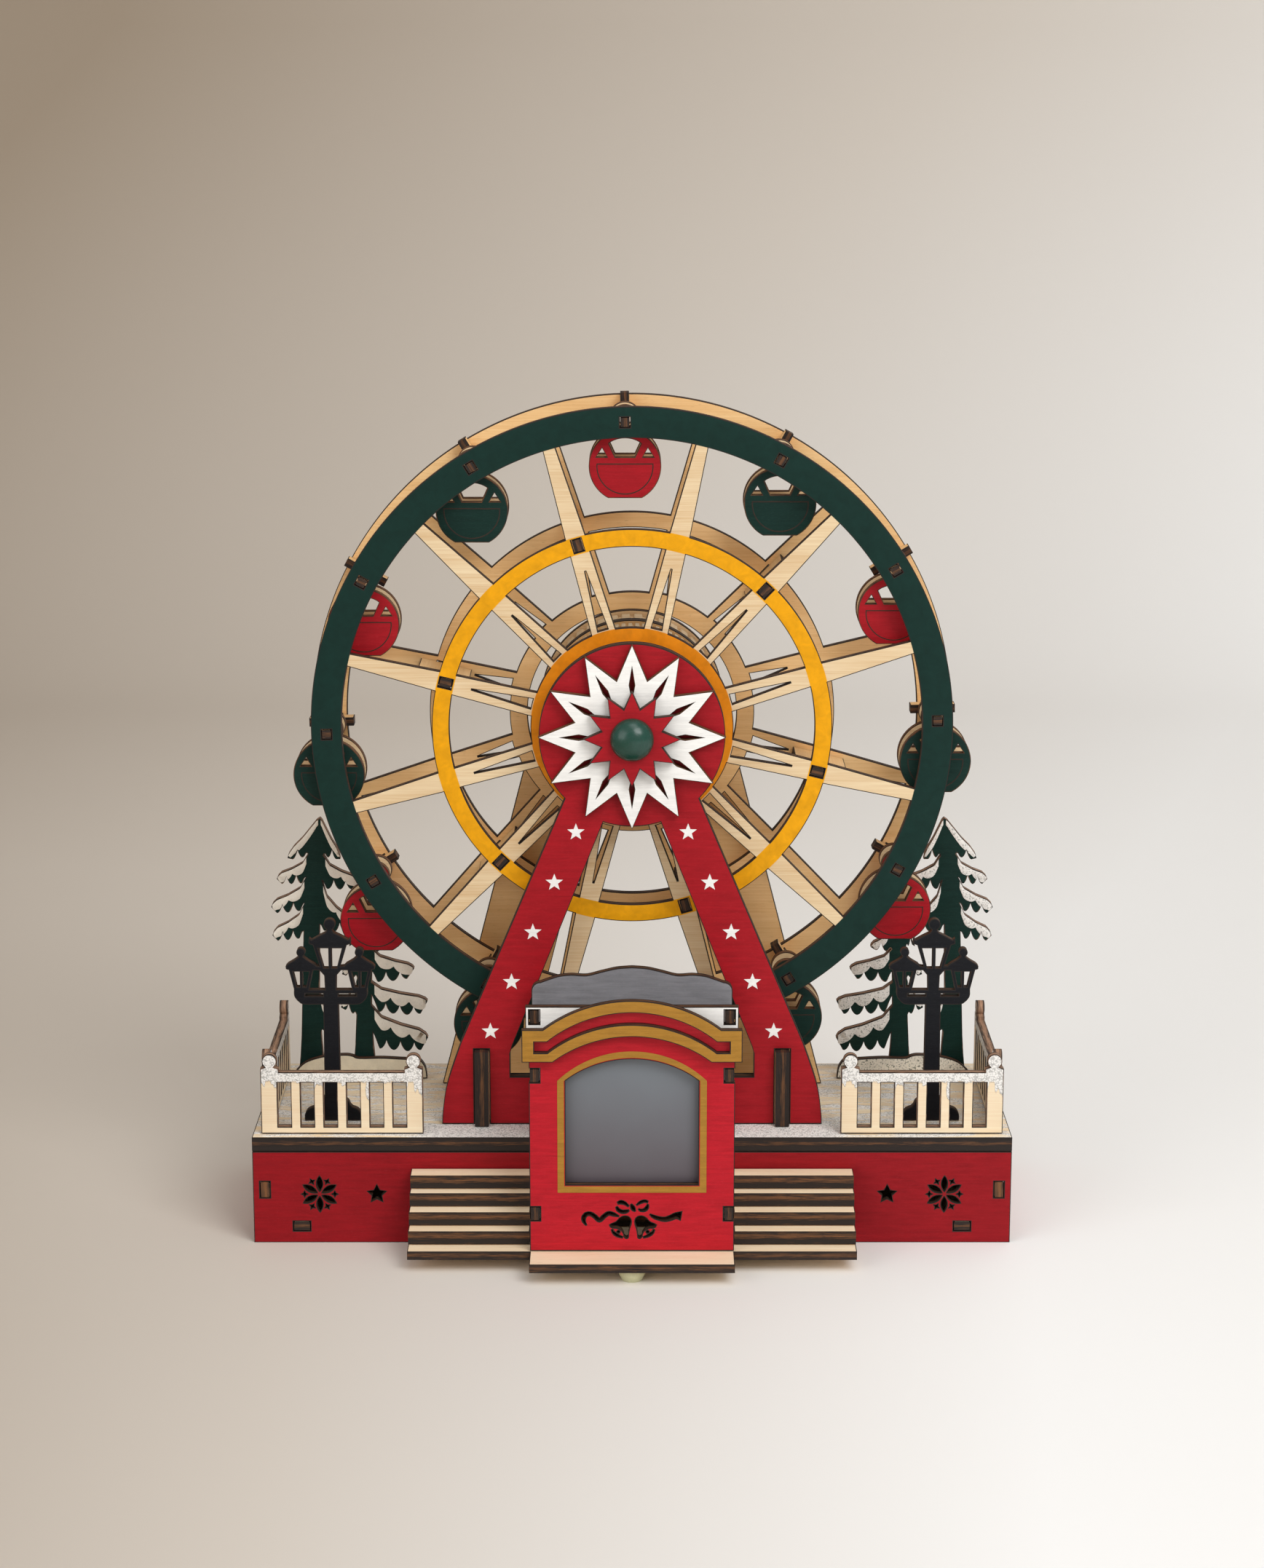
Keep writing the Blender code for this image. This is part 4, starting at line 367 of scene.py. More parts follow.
def arch(half_width, spring, rise):
    """A shallow arch from right to left: the part of a circle through both ends and the peak."""
    radius = (half_width ** 2 + rise ** 2) / (2 * rise)
    lean = math.degrees(math.asin(half_width / radius))
    return arc(radius, 90.0 - lean, 90.0 + lean, (0.0, spring + rise - radius))


def joined(*lines):
    return np.concatenate([np.asarray(line, float).reshape(-1, 2) for line in lines])


def eased(points, pieces=6):
    """A smooth line through points: each stretch is the cubic that passes its two ends in the direction
    from the point before to the point after."""
    points = np.asarray(points, float)
    padded = np.concatenate([points[:1], points, points[-1:]])
    before, start, end, after = (padded[i:len(padded) - 3 + i, None] for i in range(4))
    t = np.linspace(0.0, 1.0, pieces + 1)[:-1, None]
    curve = (start + 0.5 * t * (end - before) + t ** 2 * (before - 2.5 * start + 2 * end - 0.5 * after)
             + t ** 3 * (1.5 * (start - end) + 0.5 * (after - before)))
    return np.concatenate([curve.reshape(-1, points.shape[1]), points[-1:]])


def stroke(*rows):
    """A brush line through rows of (x, y, half width) in millimetres: the smooth line through them, plus and
    minus its half width along its normal."""
    line = eased(mm(*rows), 4)
    way = np.gradient(line[:, :2], axis=0)
    side = np.stack([-way[:, 1], way[:, 0]], 1) / np.linalg.norm(way, axis=1, keepdims=True) * line[:, 2:]
    return np.concatenate([line[:, :2] + side, (line[:, :2] - side)[::-1]])


def slot(x, y, width, height, degrees=0.0):
    """The hole round a tab of this size, its middle at x, y."""
    play = bpy.context.scene.cut_sizes.play
    w, h = width / 2 + play, height / 2 + play
    return moved(rectangle(-w, -h, w, h), x, y, degrees)


def area(points):
    """Signed area of a closed line, by the sum of the cross products of neighbours."""
    ahead = np.roll(points, -1, 0)
    return 0.5 * (points[:, 0] * ahead[:, 1] - points[:, 1] * ahead[:, 0]).sum()


def tidied(points, turning):
    """A closed line without doubled points, running left round for turning 1 and right round for -1."""
    points = np.asarray(points, float)
    gap = np.linalg.norm(points - np.roll(points, 1, 0), axis=1)
    points = points[gap > 10 * MERGE]
    return points if area(points) * turning > 0 else points[::-1]


# Places: how a drawing stands in the frame
def span(node, axis):
    """The middle of a node along an axis, 0, 1 or 2, and its length there."""
    low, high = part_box(node)
    return (low[axis] + high[axis]) / 2, high[axis] - low[axis]


def box_outline(node, across, up):
    """The outline of a node's box, drawn with these two axes."""
    low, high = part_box(node)
    return rectangle(low[across], low[up], high[across], high[up])


def facing_front(node, x=0.0, z=0.0):
    """Drawing x to the right, y up and its front towards the viewer, in the middle of the node's thickness."""
    middle, thickness = span(node, 1)
    return Place((x, middle, z), *FRONT), thickness


def facing_side(node):
    """Drawing x towards the back, y up and its front to the right."""
    middle, thickness = span(node, 0)
    return Place((middle, 0.0, 0.0), *SIDE), thickness


def lying(node):
    """Drawing x to the right, y to the back and its front up."""
    middle, thickness = span(node, 2)
    return Place((0.0, 0.0, middle), *TOP), thickness


def along_radius(degrees, axle_height):
    """Drawing x towards the back and y outwards from the axle, at an angle round it."""
    c, s = math.cos(math.radians(degrees)), math.sin(math.radians(degrees))
    return Place((0.0, 0.0, axle_height), (0, 1, 0), (c, 0, s), (s, 0, -c))


# Surfaces
class Workpiece:
    """Surfaces gathered for one mesh: corners, faces, the pattern's place on each face and its finish."""

    def __init__(self):
        self.points, self.faces, self.patterns, self.finishes = [], [], [], []
        self.total = 0

    def add(self, points, faces, pattern, finish):
        """Corners (n, 3), faces (m, k) as rows of corner numbers, pattern (m, k, 2), a finish number."""
        self.points.append(np.asarray(points, float).reshape(-1, 3))
        self.faces += (np.asarray(faces) + self.total).tolist()
        self.patterns.append(np.asarray(pattern, float).reshape(-1, 2))
        self.finishes += [finish] * len(faces)
        self.total += len(self.points[-1])

    def grid(self, points, pattern, finish, turned=False):
        """A grid of points (rows, columns, 3) as quads between neighbours."""
        rows, columns = points.shape[:2]
        i, j = np.meshgrid(np.arange(rows - 1), np.arange(columns - 1), indexing="ij")
        first = (i * columns + j).ravel()
        faces = np.stack([first, first + columns, first + columns + 1, first + 1], 1)
        if turned:
            faces = faces[:, ::-1]
        self.add(points, faces, pattern.reshape(-1, 2)[faces], finish)

    def board(self, drawing, thickness, place, shift=(0.0, 0.0), finishes=(0, 1, 2)):
        """A board cut along a drawing. Its wall is a short profile carried along each closed line: a point
        of the line, plus its inward direction times the profile's inset, at the profile's height. The two
        caps fill what the wall leaves open."""
        sizes = bpy.context.scene.cut_sizes
        scorch = min(sizes.scorch, thickness / 3)
        arris = min(sizes.arris, thickness / 5)
        half = thickness / 2
        inset = np.array([scorch, 0.0, 0.0, scorch])
        height = np.array([-half, arris - half, half - arris, half])
        lines = [tidied(drawing.outline, 1)] + [tidied(hole, -1) for hole in drawing.holes]
        rims = []
        for line in lines:
            inward = inward_directions(line)
            flat = line[:, None] + inward[:, None] * inset[:, None]
            rims.append(flat[:, 0])
            ring = np.concatenate([flat, flat[:1]])
            level = np.broadcast_to(height, ring.shape[:2])
            run = np.concatenate([[0.0], np.cumsum(np.linalg.norm(np.roll(line, -1, 0) - line, axis=1))])
            pattern = np.stack([np.broadcast_to(run[:, None], level.shape) + shift[0], level], -1)
            self.grid(standing(ring, level, place), pattern, finishes[1])
        flat, triangles = filled(rims)
        for side, finish in ((1, finishes[0]), (-1, finishes[2])):
            corners = triangles if side > 0 else triangles[:, ::-1]
            points = standing(flat, np.full(len(flat), side * half), place)
            self.add(points, corners, (flat + shift)[corners], finish)

    def turned(self, profile, place, finish=0, steps=96, radius_of=None):
        """A profile of (radius, height) rows turned about the place's out direction: each point goes to
        radius times cosine and sine of the angle. radius_of may change the radius by the angle."""
        turn = np.linspace(0.0, 2 * np.pi, steps + 1)
        radius = np.broadcast_to(profile[None, :, 0], (steps + 1, len(profile)))
        if radius_of is not None:
            radius = radius_of(turn[:, None], radius)
        flat = np.stack([radius * np.cos(turn)[:, None], radius * np.sin(turn)[:, None]], -1)
        level = np.broadcast_to(profile[None, :, 1], radius.shape)
        run = np.concatenate([[0.0], np.cumsum(np.linalg.norm(np.diff(profile, axis=0), axis=1))])
        around = turn[:, None] * profile[:, 0].max()
        pattern = np.stack(np.broadcast_arrays(around, run[None]), -1)
        self.grid(standing(flat, level, place), pattern, finish)

    def finished(self, name, kinds, body, material_slot, *nodes):
        """The gathered surfaces as one object in these kinds of finish, which rides on its body and stands
        for its nodes."""
        mesh = bpy.data.meshes.new(name)
        mesh.from_pydata(np.concatenate(self.points).tolist(), [], self.faces)
        layer = mesh.uv_layers.new(name="pattern")
        layer.data.foreach_set("uv", np.concatenate(self.patterns).ravel())
        mesh.polygons.foreach_set("material_index", self.finishes)
        for kind in kinds:
            mesh.materials.append(finish(kind))
        work = bmesh.new()
        work.from_mesh(mesh)
        bmesh.ops.remove_doubles(work, verts=work.verts, dist=MERGE)
        bmesh.ops.recalc_face_normals(work, faces=work.faces)
        work.to_mesh(mesh)
        work.free()
        mesh.shade_smooth()
        mesh.set_sharp_from_angle(angle=math.radians(30.0))
        piece = bpy.data.objects.new(name, mesh)
        bpy.context.scene.collection.objects.link(piece)
        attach(piece, body)
        if nodes:
            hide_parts(*nodes)


def standing(flat, level, place):
    """Drawing points as places in the frame: origin plus x, y and level along the place's directions."""
    along, up, out = (np.array(direction, float) for direction in place[1:])
    return np.array(place.origin) + flat[..., :1] * along + flat[..., 1:] * up + level[..., None] * out


def inward_directions(line):
    """For each corner of a closed line the way to its left: the sum of its two edges' left normals over one
    plus their dot product, held to one and a half so that sharp points stay apart."""
    edge = np.roll(line, -1, 0) - line
    edge /= np.linalg.norm(edge, axis=1, keepdims=True)
    left = np.stack([-edge[:, 1], edge[:, 0]], 1)
    before = np.roll(left, 1, 0)
    inward = (left + before) / np.maximum(1.0 + (left * before).sum(1, keepdims=True), 0.05)
    reach = np.linalg.norm(inward, axis=1, keepdims=True)
    return inward * np.minimum(1.0, 1.5 / np.maximum(reach, 1e-9))


def filled(lines):
    """The triangles between an outline and its holes: those of a constrained triangulation round whose
    middle the lines turn once, summed from the angles under which it sees their edges."""
    points = np.concatenate(lines) / MM
    starts = np.cumsum([0] + [len(line) for line in lines])
    ahead = np.concatenate([np.roll(np.arange(first, last), -1) for first, last in zip(starts, starts[1:])])
    edges = np.stack([np.arange(len(points)), ahead], 1)
    result = delaunay_2d_cdt([Vector(point) for point in points.tolist()], edges.tolist(), [], 0, 1e-6)
    corners = np.array([tuple(corner) for corner in result[0]])
    triangles = np.array(result[2])
    middles = corners[triangles].mean(1)
    start, end = (points[edges[:, side]][None] - middles[:, None] for side in (0, 1))
    turn = np.arctan2(start[..., 0] * end[..., 1] - start[..., 1] * end[..., 0], (start * end).sum(-1))
    return corners * MM, triangles[turn.sum(1) > np.pi]


# Finishes
class Recipe:
    """A finish being mixed: its nodes, each made and joined in one call."""

    def __init__(self, name):
        self.material = bpy.data.materials.new(name)
        self.material.use_nodes = True
        self.tree = self.material.node_tree
        self.shader = self.tree.nodes["Principled BSDF"]
        self.pattern = self.node("ShaderNodeUVMap", uv_map="pattern").outputs[0]

    def node(self, kind, inputs=(), **settings):
        node = self.tree.nodes.new(kind)
        for key, value in settings.items():
            setattr(node, key, value)
        for key, value in dict(inputs).items():
            self.put(node.inputs[key], value)
        return node

    def put(self, socket, value):
        if isinstance(value, bpy.types.NodeSocket):
            self.tree.links.new(value, socket)
        else:
            socket.default_value = value

    def math(self, operation, first, second=0.0, third=0.0):
        return self.node("ShaderNodeMath", {0: first, 1: second, 2: third}, operation=operation).outputs[0]

    def stretched(self, width, height, source=None):
        """The pattern's place, or another source's, in steps of this width and height, in metres."""
        return self.node("ShaderNodeMapping", {"Vector": source or self.pattern,
                                               "Scale": (1 / width, 1 / height, 1 / width)}).outputs[0]

    def noise(self, vector, detail=3.0, roughness=0.55, distortion=0.0):
        return self.node("ShaderNodeTexNoise", {"Vector": vector, "Scale": 1.0, "Detail": detail,
                                                "Roughness": roughness, "Distortion": distortion}).outputs[0]

    def weighed(self, first, share, second, other_share):
        """Two numbers, each times its share, added up."""
        return self.math("ADD", self.math("MULTIPLY", first, share), self.math("MULTIPLY", second, other_share))

    def axes(self, place=None):
        """The x, y and z of a place, or of the pattern's."""
        return self.node("ShaderNodeSeparateXYZ", {0: place or self.pattern}).outputs

    def grains(self, size):
        """The distance from the middle of the nearest grain, with grains of this size."""
        return self.node("ShaderNodeTexVoronoi", {"Vector": self.stretched(size, size),
                                                  "Scale": 1.0}).outputs["Distance"]

    def between(self, value, low, high, start=0.0, end=1.0):
        """Value mapped from low..high to start..end, and held there."""
        return self.node("ShaderNodeMapRange", {0: value, 1: low, 2: high, 3: start, 4: end}).outputs[0]

    def mix(self, factor, first, second, blend="MIX"):
        node = self.node("ShaderNodeMix", {0: factor, 6: first, 7: second}, data_type="RGBA", blend_type=blend)
        return node.outputs[2]

    def bump(self, height, distance, strength):
        return self.node("ShaderNodeBump", {"Height": height, "Distance": distance,
                                            "Strength": strength}).outputs[0]

    def done(self, base, roughness, normal=None, **constants):
        self.put(self.shader.inputs["Base Color"], base)
        self.put(self.shader.inputs["Roughness"], roughness)
        if normal is not None:
            self.put(self.shader.inputs["Normal"], normal)
        for name, value in constants.items():
            self.put(self.shader.inputs[name.replace("_", " ")], value)
        return self.material


def seen(gamma, share=1.0):
    """A colour as the eye sees it, as the shader wants it: each channel through the standard screen curve,
    times a share of its light."""
    values = np.array(gamma, float)
    linear = np.where(values <= 0.04045, values / 12.92, ((values + 0.055) / 1.055) ** 2.4)
    return (*(linear * share).tolist(), 1.0)


def long_fibres(recipe):
    """The wood's long fibres, a number from 0 to 1."""
    return recipe.noise(recipe.stretched(24 * MM, 0.55 * MM), 4.0, 0.6, 0.3)


def dark_pores(recipe):
    """Short dark pores, 1 in a pore and 0 beside it."""
    return recipe.between(recipe.noise(recipe.stretched(3.2 * MM, 0.22 * MM), 1.0), 0.66, 0.76)


def bare_wood(recipe, fibres, light, grain):
    """The colour of bare wood, which changes with its fibres and its broad bands."""
    bands = recipe.noise(recipe.stretched(90 * MM, 7 * MM), 2.0, 0.5, 0.8)
    tone = recipe.weighed(fibres, 0.6, bands, 0.5)
    return recipe.mix(recipe.between(tone, 0.35, 0.85), seen(light), seen(grain))


def birch_finish(name, light, grain):
    """Bare birch with dark pores, smoother where its fibres are dense."""
    recipe = Recipe(name)
    fibres, pores = long_fibres(recipe), dark_pores(recipe)
    base = bare_wood(recipe, fibres, light, grain)
    base = recipe.mix(recipe.math("MULTIPLY", pores, 0.45), base, seen(grain, 0.5))
    rough = recipe.between(fibres, 0.3, 0.7, 0.62, 0.48)
    relief = recipe.math("SUBTRACT", fibres, recipe.math("MULTIPLY", pores, 0.8))
    return recipe.done(base, rough, recipe.bump(relief, 0.05 * MM, 0.5))


PAINT_SHINE = 0.18                  # matt paint mirrors less than bare wood


def painted(name, gamma, gloss=0.5, cover=0.9, shine=PAINT_SHINE):
    """Thin paint that lets the grain show: darker along fibres and where the brush left it thick."""
    recipe = Recipe(name)
    fibres, pores = long_fibres(recipe), dark_pores(recipe)
    brushed = recipe.noise(recipe.stretched(9 * MM, 1.6 * MM), 3.0, 0.6, 0.4)
    tone = recipe.weighed(fibres, 0.45, brushed, 0.55)
    base = recipe.mix(recipe.between(tone, 0.3, 0.7), seen(gamma, cover * 0.82), seen(gamma, 1.14))
    base = recipe.mix(recipe.math("MULTIPLY", pores, 0.3), base, seen(gamma, 0.5))
    flecks = recipe.between(recipe.noise(recipe.stretched(1.1 * MM, 0.35 * MM), 2.0), 0.55, 0.75, 0.0, 0.3)
    base = recipe.mix(flecks, base, seen(np.array(gamma) * 0.9 + 0.1, 1.1))
    rough = recipe.between(brushed, 0.3, 0.7, gloss + 0.1, gloss - 0.05)
    relief = recipe.math("ADD", fibres, recipe.math("MULTIPLY", brushed, 0.6))
    return recipe.done(base, rough, recipe.bump(relief, 0.04 * MM, 0.5), Specular_IOR_Level=shine)


def cut_edge_finish(name, colours, toast=0.0, heart=0.0, light=None):
    """The burnt edge of a board: plies as stripes across its thickness, streaked along the cut, lightest at
    its heart, a height above the middle of its thickness, and black towards its faces."""
    recipe = Recipe(name)
    across = recipe.axes()[1]
    streaks = recipe.noise(recipe.stretched(8 * MM, 0.42 * MM), 4.0, 0.65, 0.5)
    plies = recipe.math("SINE", recipe.math("MULTIPLY_ADD", across, 2 * math.pi / (2.4 * MM), 0.6))
    away = recipe.math("ABSOLUTE", recipe.math("SUBTRACT", across, heart))
    tone = recipe.math("MULTIPLY_ADD", plies, 0.05, streaks)
    tone = recipe.math("ADD", tone, recipe.between(away, 0.2 * MM, 2.0 * MM, 0.08, -0.2))
    base = recipe.mix(recipe.between(tone, 0.46 - toast, 0.82 - toast), seen(colours.scorched),
                      seen(light or colours.toasted))
    soot = recipe.noise(recipe.stretched(2.2 * MM, 0.9 * MM), 3.0)
    base = recipe.mix(recipe.between(soot, 0.55, 0.75, 0.0, 0.5), base, seen(colours.scorched, 0.8))
    return recipe.done(base, 0.75, recipe.bump(recipe.math("ADD", streaks, plies), 0.05 * MM, 0.5))


def snow_grains(recipe, colours):
    """Colour and height of grains of snow stuck in glue, with painted shade darkening the hollows between them."""
    grains = recipe.grains(0.55 * MM)
    clumps = recipe.noise(recipe.stretched(1.7 * MM, 1.7 * MM), 3.0, 0.6)
    hollow_shade = recipe.between(recipe.math("ADD", grains, clumps), 0.95, 1.25)
    base = recipe.mix(hollow_shade, seen(colours.snow, 1.04), seen(colours.snow, 0.62))
    return base, recipe.math("SUBTRACT", clumps, grains)


def crusted(name, colours, gamma, share):
    """Flock of snow in glue: nearly smooth where the share of specks is small, and loose grains with the
    paint showing between them where it is one."""
    recipe = Recipe(name)
    broad = recipe.noise(recipe.stretched(5 * MM, 5 * MM), 3.0)
    grains = recipe.grains(0.5 * MM)
    fine = recipe.noise(recipe.stretched(0.7 * MM, 0.7 * MM), 3.0, 0.65)
    base = recipe.mix(recipe.between(broad, 0.3, 0.7), seen(gamma, 0.9), seen(gamma, 1.08))
    open_places = recipe.between(recipe.math("MULTIPLY_ADD", grains, 0.35, fine), 0.74, 0.84, 0.0, share)
    base = recipe.mix(open_places, base, seen(colours.speck))
    height = recipe.math("SUBTRACT", fine, recipe.math("MULTIPLY", grains, 0.6))
    return recipe.done(base, 0.8, recipe.bump(height, 0.22 * MM, 0.35 + 0.5 * share))


def snowed_birch(name, colours, cover_of):
    """Bare birch where cover_of gives 0, snow where it gives 1."""
    recipe = Recipe(name)
    # The grain takes the treads' lighter colour: painted light
    wood = bare_wood(recipe, long_fibres(recipe), colours.pale_birch, colours.lit_top_grain)
    snow, height = snow_grains(recipe, colours)
    cover = cover_of(recipe)
    base = recipe.mix(cover, wood, snow)
    relief = recipe.math("MULTIPLY", recipe.math("ADD", height, 1.2), cover)
    return recipe.done(base, recipe.between(cover, 0.0, 1.0, 0.55, 0.8), recipe.bump(relief, 0.3 * MM, 0.8))


def fence_cover(recipe):
    """Snow on a fence lies on its rail and its balls, and runs down from them in ragged drips."""
    sizes = bpy.context.scene.garden_sizes
    height = recipe.axes()[1]
    ragged = recipe.math("MULTIPLY", recipe.noise(recipe.stretched(2.0 * MM, 2.4 * MM), 3.0), 3.0 * MM)
    drips = recipe.between(recipe.noise(recipe.stretched(4.5 * MM, 30 * MM), 2.0), 0.48, 0.7, 0.0, 9 * MM)
    level = recipe.math("ADD", recipe.math("ADD", height, ragged), drips)
    return recipe.between(level, sizes.rail_low + 1.4 * MM, sizes.rail_low + 2.0 * MM)


def deck_cover(recipe):
    """Snow on the deck lies in long thin drifts, and closed along the front between the fences."""
    x, y = recipe.axes()[:2]
    drifts = recipe.noise(recipe.stretched(26 * MM, 5 * MM), 3.0, 0.55, 1.2)
    fine = recipe.noise(recipe.stretched(1.5 * MM, 1.2 * MM), 3.0)
    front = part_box("deck")[0].y
    strip = recipe.between(y, front + 15 * MM, front + 12 * MM)
    middle = recipe.between(recipe.math("ABSOLUTE", x), 74 * MM, 66 * MM)
    lift = recipe.math("MULTIPLY", recipe.math("MULTIPLY", strip, middle), 0.6)
    level = recipe.math("ADD", recipe.math("MULTIPLY_ADD", fine, 0.22, drifts), lift)
    return recipe.between(level, 0.54, 0.68)


def wheel_paint(name, colours):
    """The wheel's front: green rim, yellow ring, orange hub ring, and bare spokes between them."""
    sizes = bpy.context.scene.wheel_sizes
    recipe = Recipe(name)
    fibres = long_fibres(recipe)
    brushed = recipe.noise(recipe.stretched(4 * MM, 4 * MM), 4.0, 0.6, 0.6)
    radius = recipe.node("ShaderNodeVectorMath", {0: recipe.pattern}, operation="LENGTH").outputs["Value"]
    base = bare_wood(recipe, fibres, colours.birch, colours.birch_dark)
    shade = recipe.between(brushed, 0.3, 0.7, 0.86, 1.1)
    grey = recipe.node("ShaderNodeCombineColor", {0: shade, 1: shade, 2: shade}).outputs[0]
    soft = 0.08 * MM
    for gamma, inner, outer in ((colours.orange, 0.0, sizes.hub_outer),
                                (colours.yellow, sizes.ring_inner, sizes.ring_outer),
                                (colours.green, sizes.rim_inner, 1.0)):
        cover = recipe.math("MULTIPLY", recipe.between(radius, inner - soft, inner + soft),
                            recipe.between(radius, outer + soft, outer - soft))
        base = recipe.mix(cover, base, recipe.mix(1.0, seen(gamma), grey, "MULTIPLY"))
    relief = recipe.math("ADD", fibres, recipe.math("MULTIPLY", brushed, 0.5))
    return recipe.done(base, recipe.between(brushed, 0.3, 0.7, 0.58, 0.46), recipe.bump(relief, 0.04 * MM, 0.5),
                       Specular_IOR_Level=PAINT_SHINE)


def pane_finish(name, colours):
    """Frosted sheet, darkened towards its sill by painted shade, with a fine matt tooth."""
    recipe = Recipe(name)
    height = recipe.axes()[1]
    cloud = recipe.noise(recipe.stretched(22 * MM, 22 * MM), 2.0)
    level = recipe.math("MULTIPLY_ADD", cloud, 12 * MM, height)
    base = recipe.mix(recipe.between(level, 34 * MM, 74 * MM), seen(colours.pane_shaded_sill), seen(colours.pane, 1.1))
    tooth = recipe.noise(recipe.stretched(0.18 * MM, 0.18 * MM), 2.0)
    return recipe.done(base, 0.38, recipe.bump(tooth, 0.01 * MM, 0.4), Transmission_Weight=0.08)


def moulded(name, gamma, roughness, metallic=0.0, clear=0.0):
    """Plastic, rubber or metal of a CAD solid: a soft mottle and a fine tooth on Object coordinates."""
    recipe = Recipe(name)
    place = recipe.node("ShaderNodeTexCoord").outputs["Object"]
    mottle = recipe.noise(recipe.stretched(4 * MM, 4 * MM, place), 3.0)
    tooth = recipe.noise(recipe.stretched(0.3 * MM, 0.3 * MM, place), 2.0)
    base = recipe.mix(recipe.between(mottle, 0.3, 0.7), seen(gamma, 0.85), seen(gamma, 1.12))
    return recipe.done(base, recipe.between(mottle, 0.3, 0.7, roughness - 0.06, roughness + 0.08),
                       recipe.bump(tooth, 0.02 * MM, 0.3), Metallic=metallic, Transmission_Weight=clear)


def mixing_table():
    """For each finish what mixes it, and what that is given after the finish's name."""
    colours = bpy.context.scene.ferris_colours
    table = {
        "birch": (birch_finish, colours.birch, colours.birch_dark),
        "top_birch": (birch_finish, colours.top_birch, colours.lit_top_grain),
        "gold_birch": (birch_finish, colours.gold_birch, colours.lit_gold_grain),
        "cut_edge": (cut_edge_finish, colours),
        "light_cut_edge": (cut_edge_finish, colours, 0.2),
        "stair_edge": (cut_edge_finish, colours, 0.06, 0.9 * MM),
        "deck_edge": (cut_edge_finish, colours, -0.05, 0.3 * MM),
        "snowed_edge": (cut_edge_finish, colours, 0.12, 0.0, colours.snowed_edge),
        "knob_green": (painted, colours.knob_green, 0.25, 0.95, 0.5),
        "gold": (painted, colours.gold, 0.42),
        "white": (painted, colours.white, 0.6, 1.1),
        "black": (painted, colours.black, 0.55),
        "wheel_paint": (wheel_paint, colours),
        "snowed_fence": (snowed_birch, colours, fence_cover),
        "snowed_deck": (snowed_birch, colours, deck_cover),
        "pane": (pane_finish, colours),
        "plastic": (moulded, (0.13, 0.13, 0.14), 0.45),
        "steel": (moulded, (0.76, 0.76, 0.78), 0.3, 1.0),
        "cell": (moulded, (0.12, 0.32, 0.45), 0.35),
        "circuit": (moulded, (0.10, 0.42, 0.22), 0.4),
        "wire": (moulded, (0.66, 0.10, 0.10), 0.4),
        "rubber": (moulded, (0.90, 0.89, 0.72), 0.35, 0.0, 0.3),
    }
    for name in ("red", "deep_red", "bright_red", "band_red", "green", "grey"):
        table[name] = (painted, getattr(colours, name))
    for name, specks in (("left_tree_snow", 0.08), ("left_bank_snow", 0.05), ("right_tree_snow", 0.6),
                         ("right_bank_snow", 0.9)):
        table[name] = (crusted, colours, getattr(colours, name), specks)
    return table


FINISHES = {}


def finish(name):
    """The finish of this name, mixed on first use."""
    if name not in FINISHES:
        mixer, *given = mixing_table()[name]
        FINISHES[name] = mixer(name, *given)
    return FINISHES[name]


# Boards: the finishes of the front, the cut edge and the back
RED_BOARD = ("red", "cut_edge", "birch")
# The base's boards take the darker red: painted shade
SHADED_BASE_BOARD = ("deep_red", "cut_edge", "birch")
BIRCH_BOARD = ("birch", "cut_edge", "birch")
# Treads in the lighter birch: painted light
LIT_TREAD_BOARD = ("top_birch", "cut_edge", "birch")
# Rear boards in the lighter, warmer birch: painted light
LIT_GOLDEN_BOARD = ("gold_birch", "cut_edge", "gold_birch")
WHITE_BOARD = ("white", "cut_edge", "white")


def cut_board(name, drawing, placed, finishes, slot_name, body="stand", shift=(0.0, 0.0)):
    """One board in the place and thickness of its node."""
    place, thickness = placed
    piece = Workpiece()
    piece.board(drawing, thickness, place, shift)
    piece.finished(name + "_board", finishes, body, slot_name, name)


def lifted(place, out):
    """The same place, moved forward by this distance."""
    return place._replace(origin=tuple(np.array(place.origin) + out * np.array(place.out)))


def raised(piece, outline, placed, height, holes=()):
    """A thin layer of paint or snow on the front of a board, of which three fifths stand proud."""
    place, thickness = placed
    drawing = Drawing(outline, list(holes))
    piece.board(drawing, height, lifted(place, thickness / 2 + height * (PROUD - 0.5)), finishes=(0, 0, 0))


class Button:
    """What the operators share: each builds its pieces with the sizes and colours set in the scene."""

    def execute(self, context):
        self.build(context.scene)
        return {"FINISHED"}


# Base
STAR_NOTCH = 0.48                   # of the cut stars: radius of a notch as a share of a point's


def snowflake_holes(x, sizes):
    """Six petals, each as wide as a parabola over its length, and a small cross between each two."""
    middle, tip = (x, sizes.snowflake_height), sizes.snowflake_radius
    t = np.linspace(0.0, 1.0, 13)
    reach, half = tip * (0.14 + 0.86 * t), sizes.petal_half * 4 * t * (1 - t)
    petal = np.concatenate([np.stack([reach, half], 1), np.stack([reach, -half], 1)[-2:0:-1]])
    cross = star(tip * 0.18, tip * 0.07, 4, (tip * 0.8, 0.0))
    turns = 90.0 + 60.0 * np.arange(6)
    return ([moved(petal, *middle, turn) for turn in turns]
            + [moved(cross, *middle, turn + 30.0) for turn in turns])


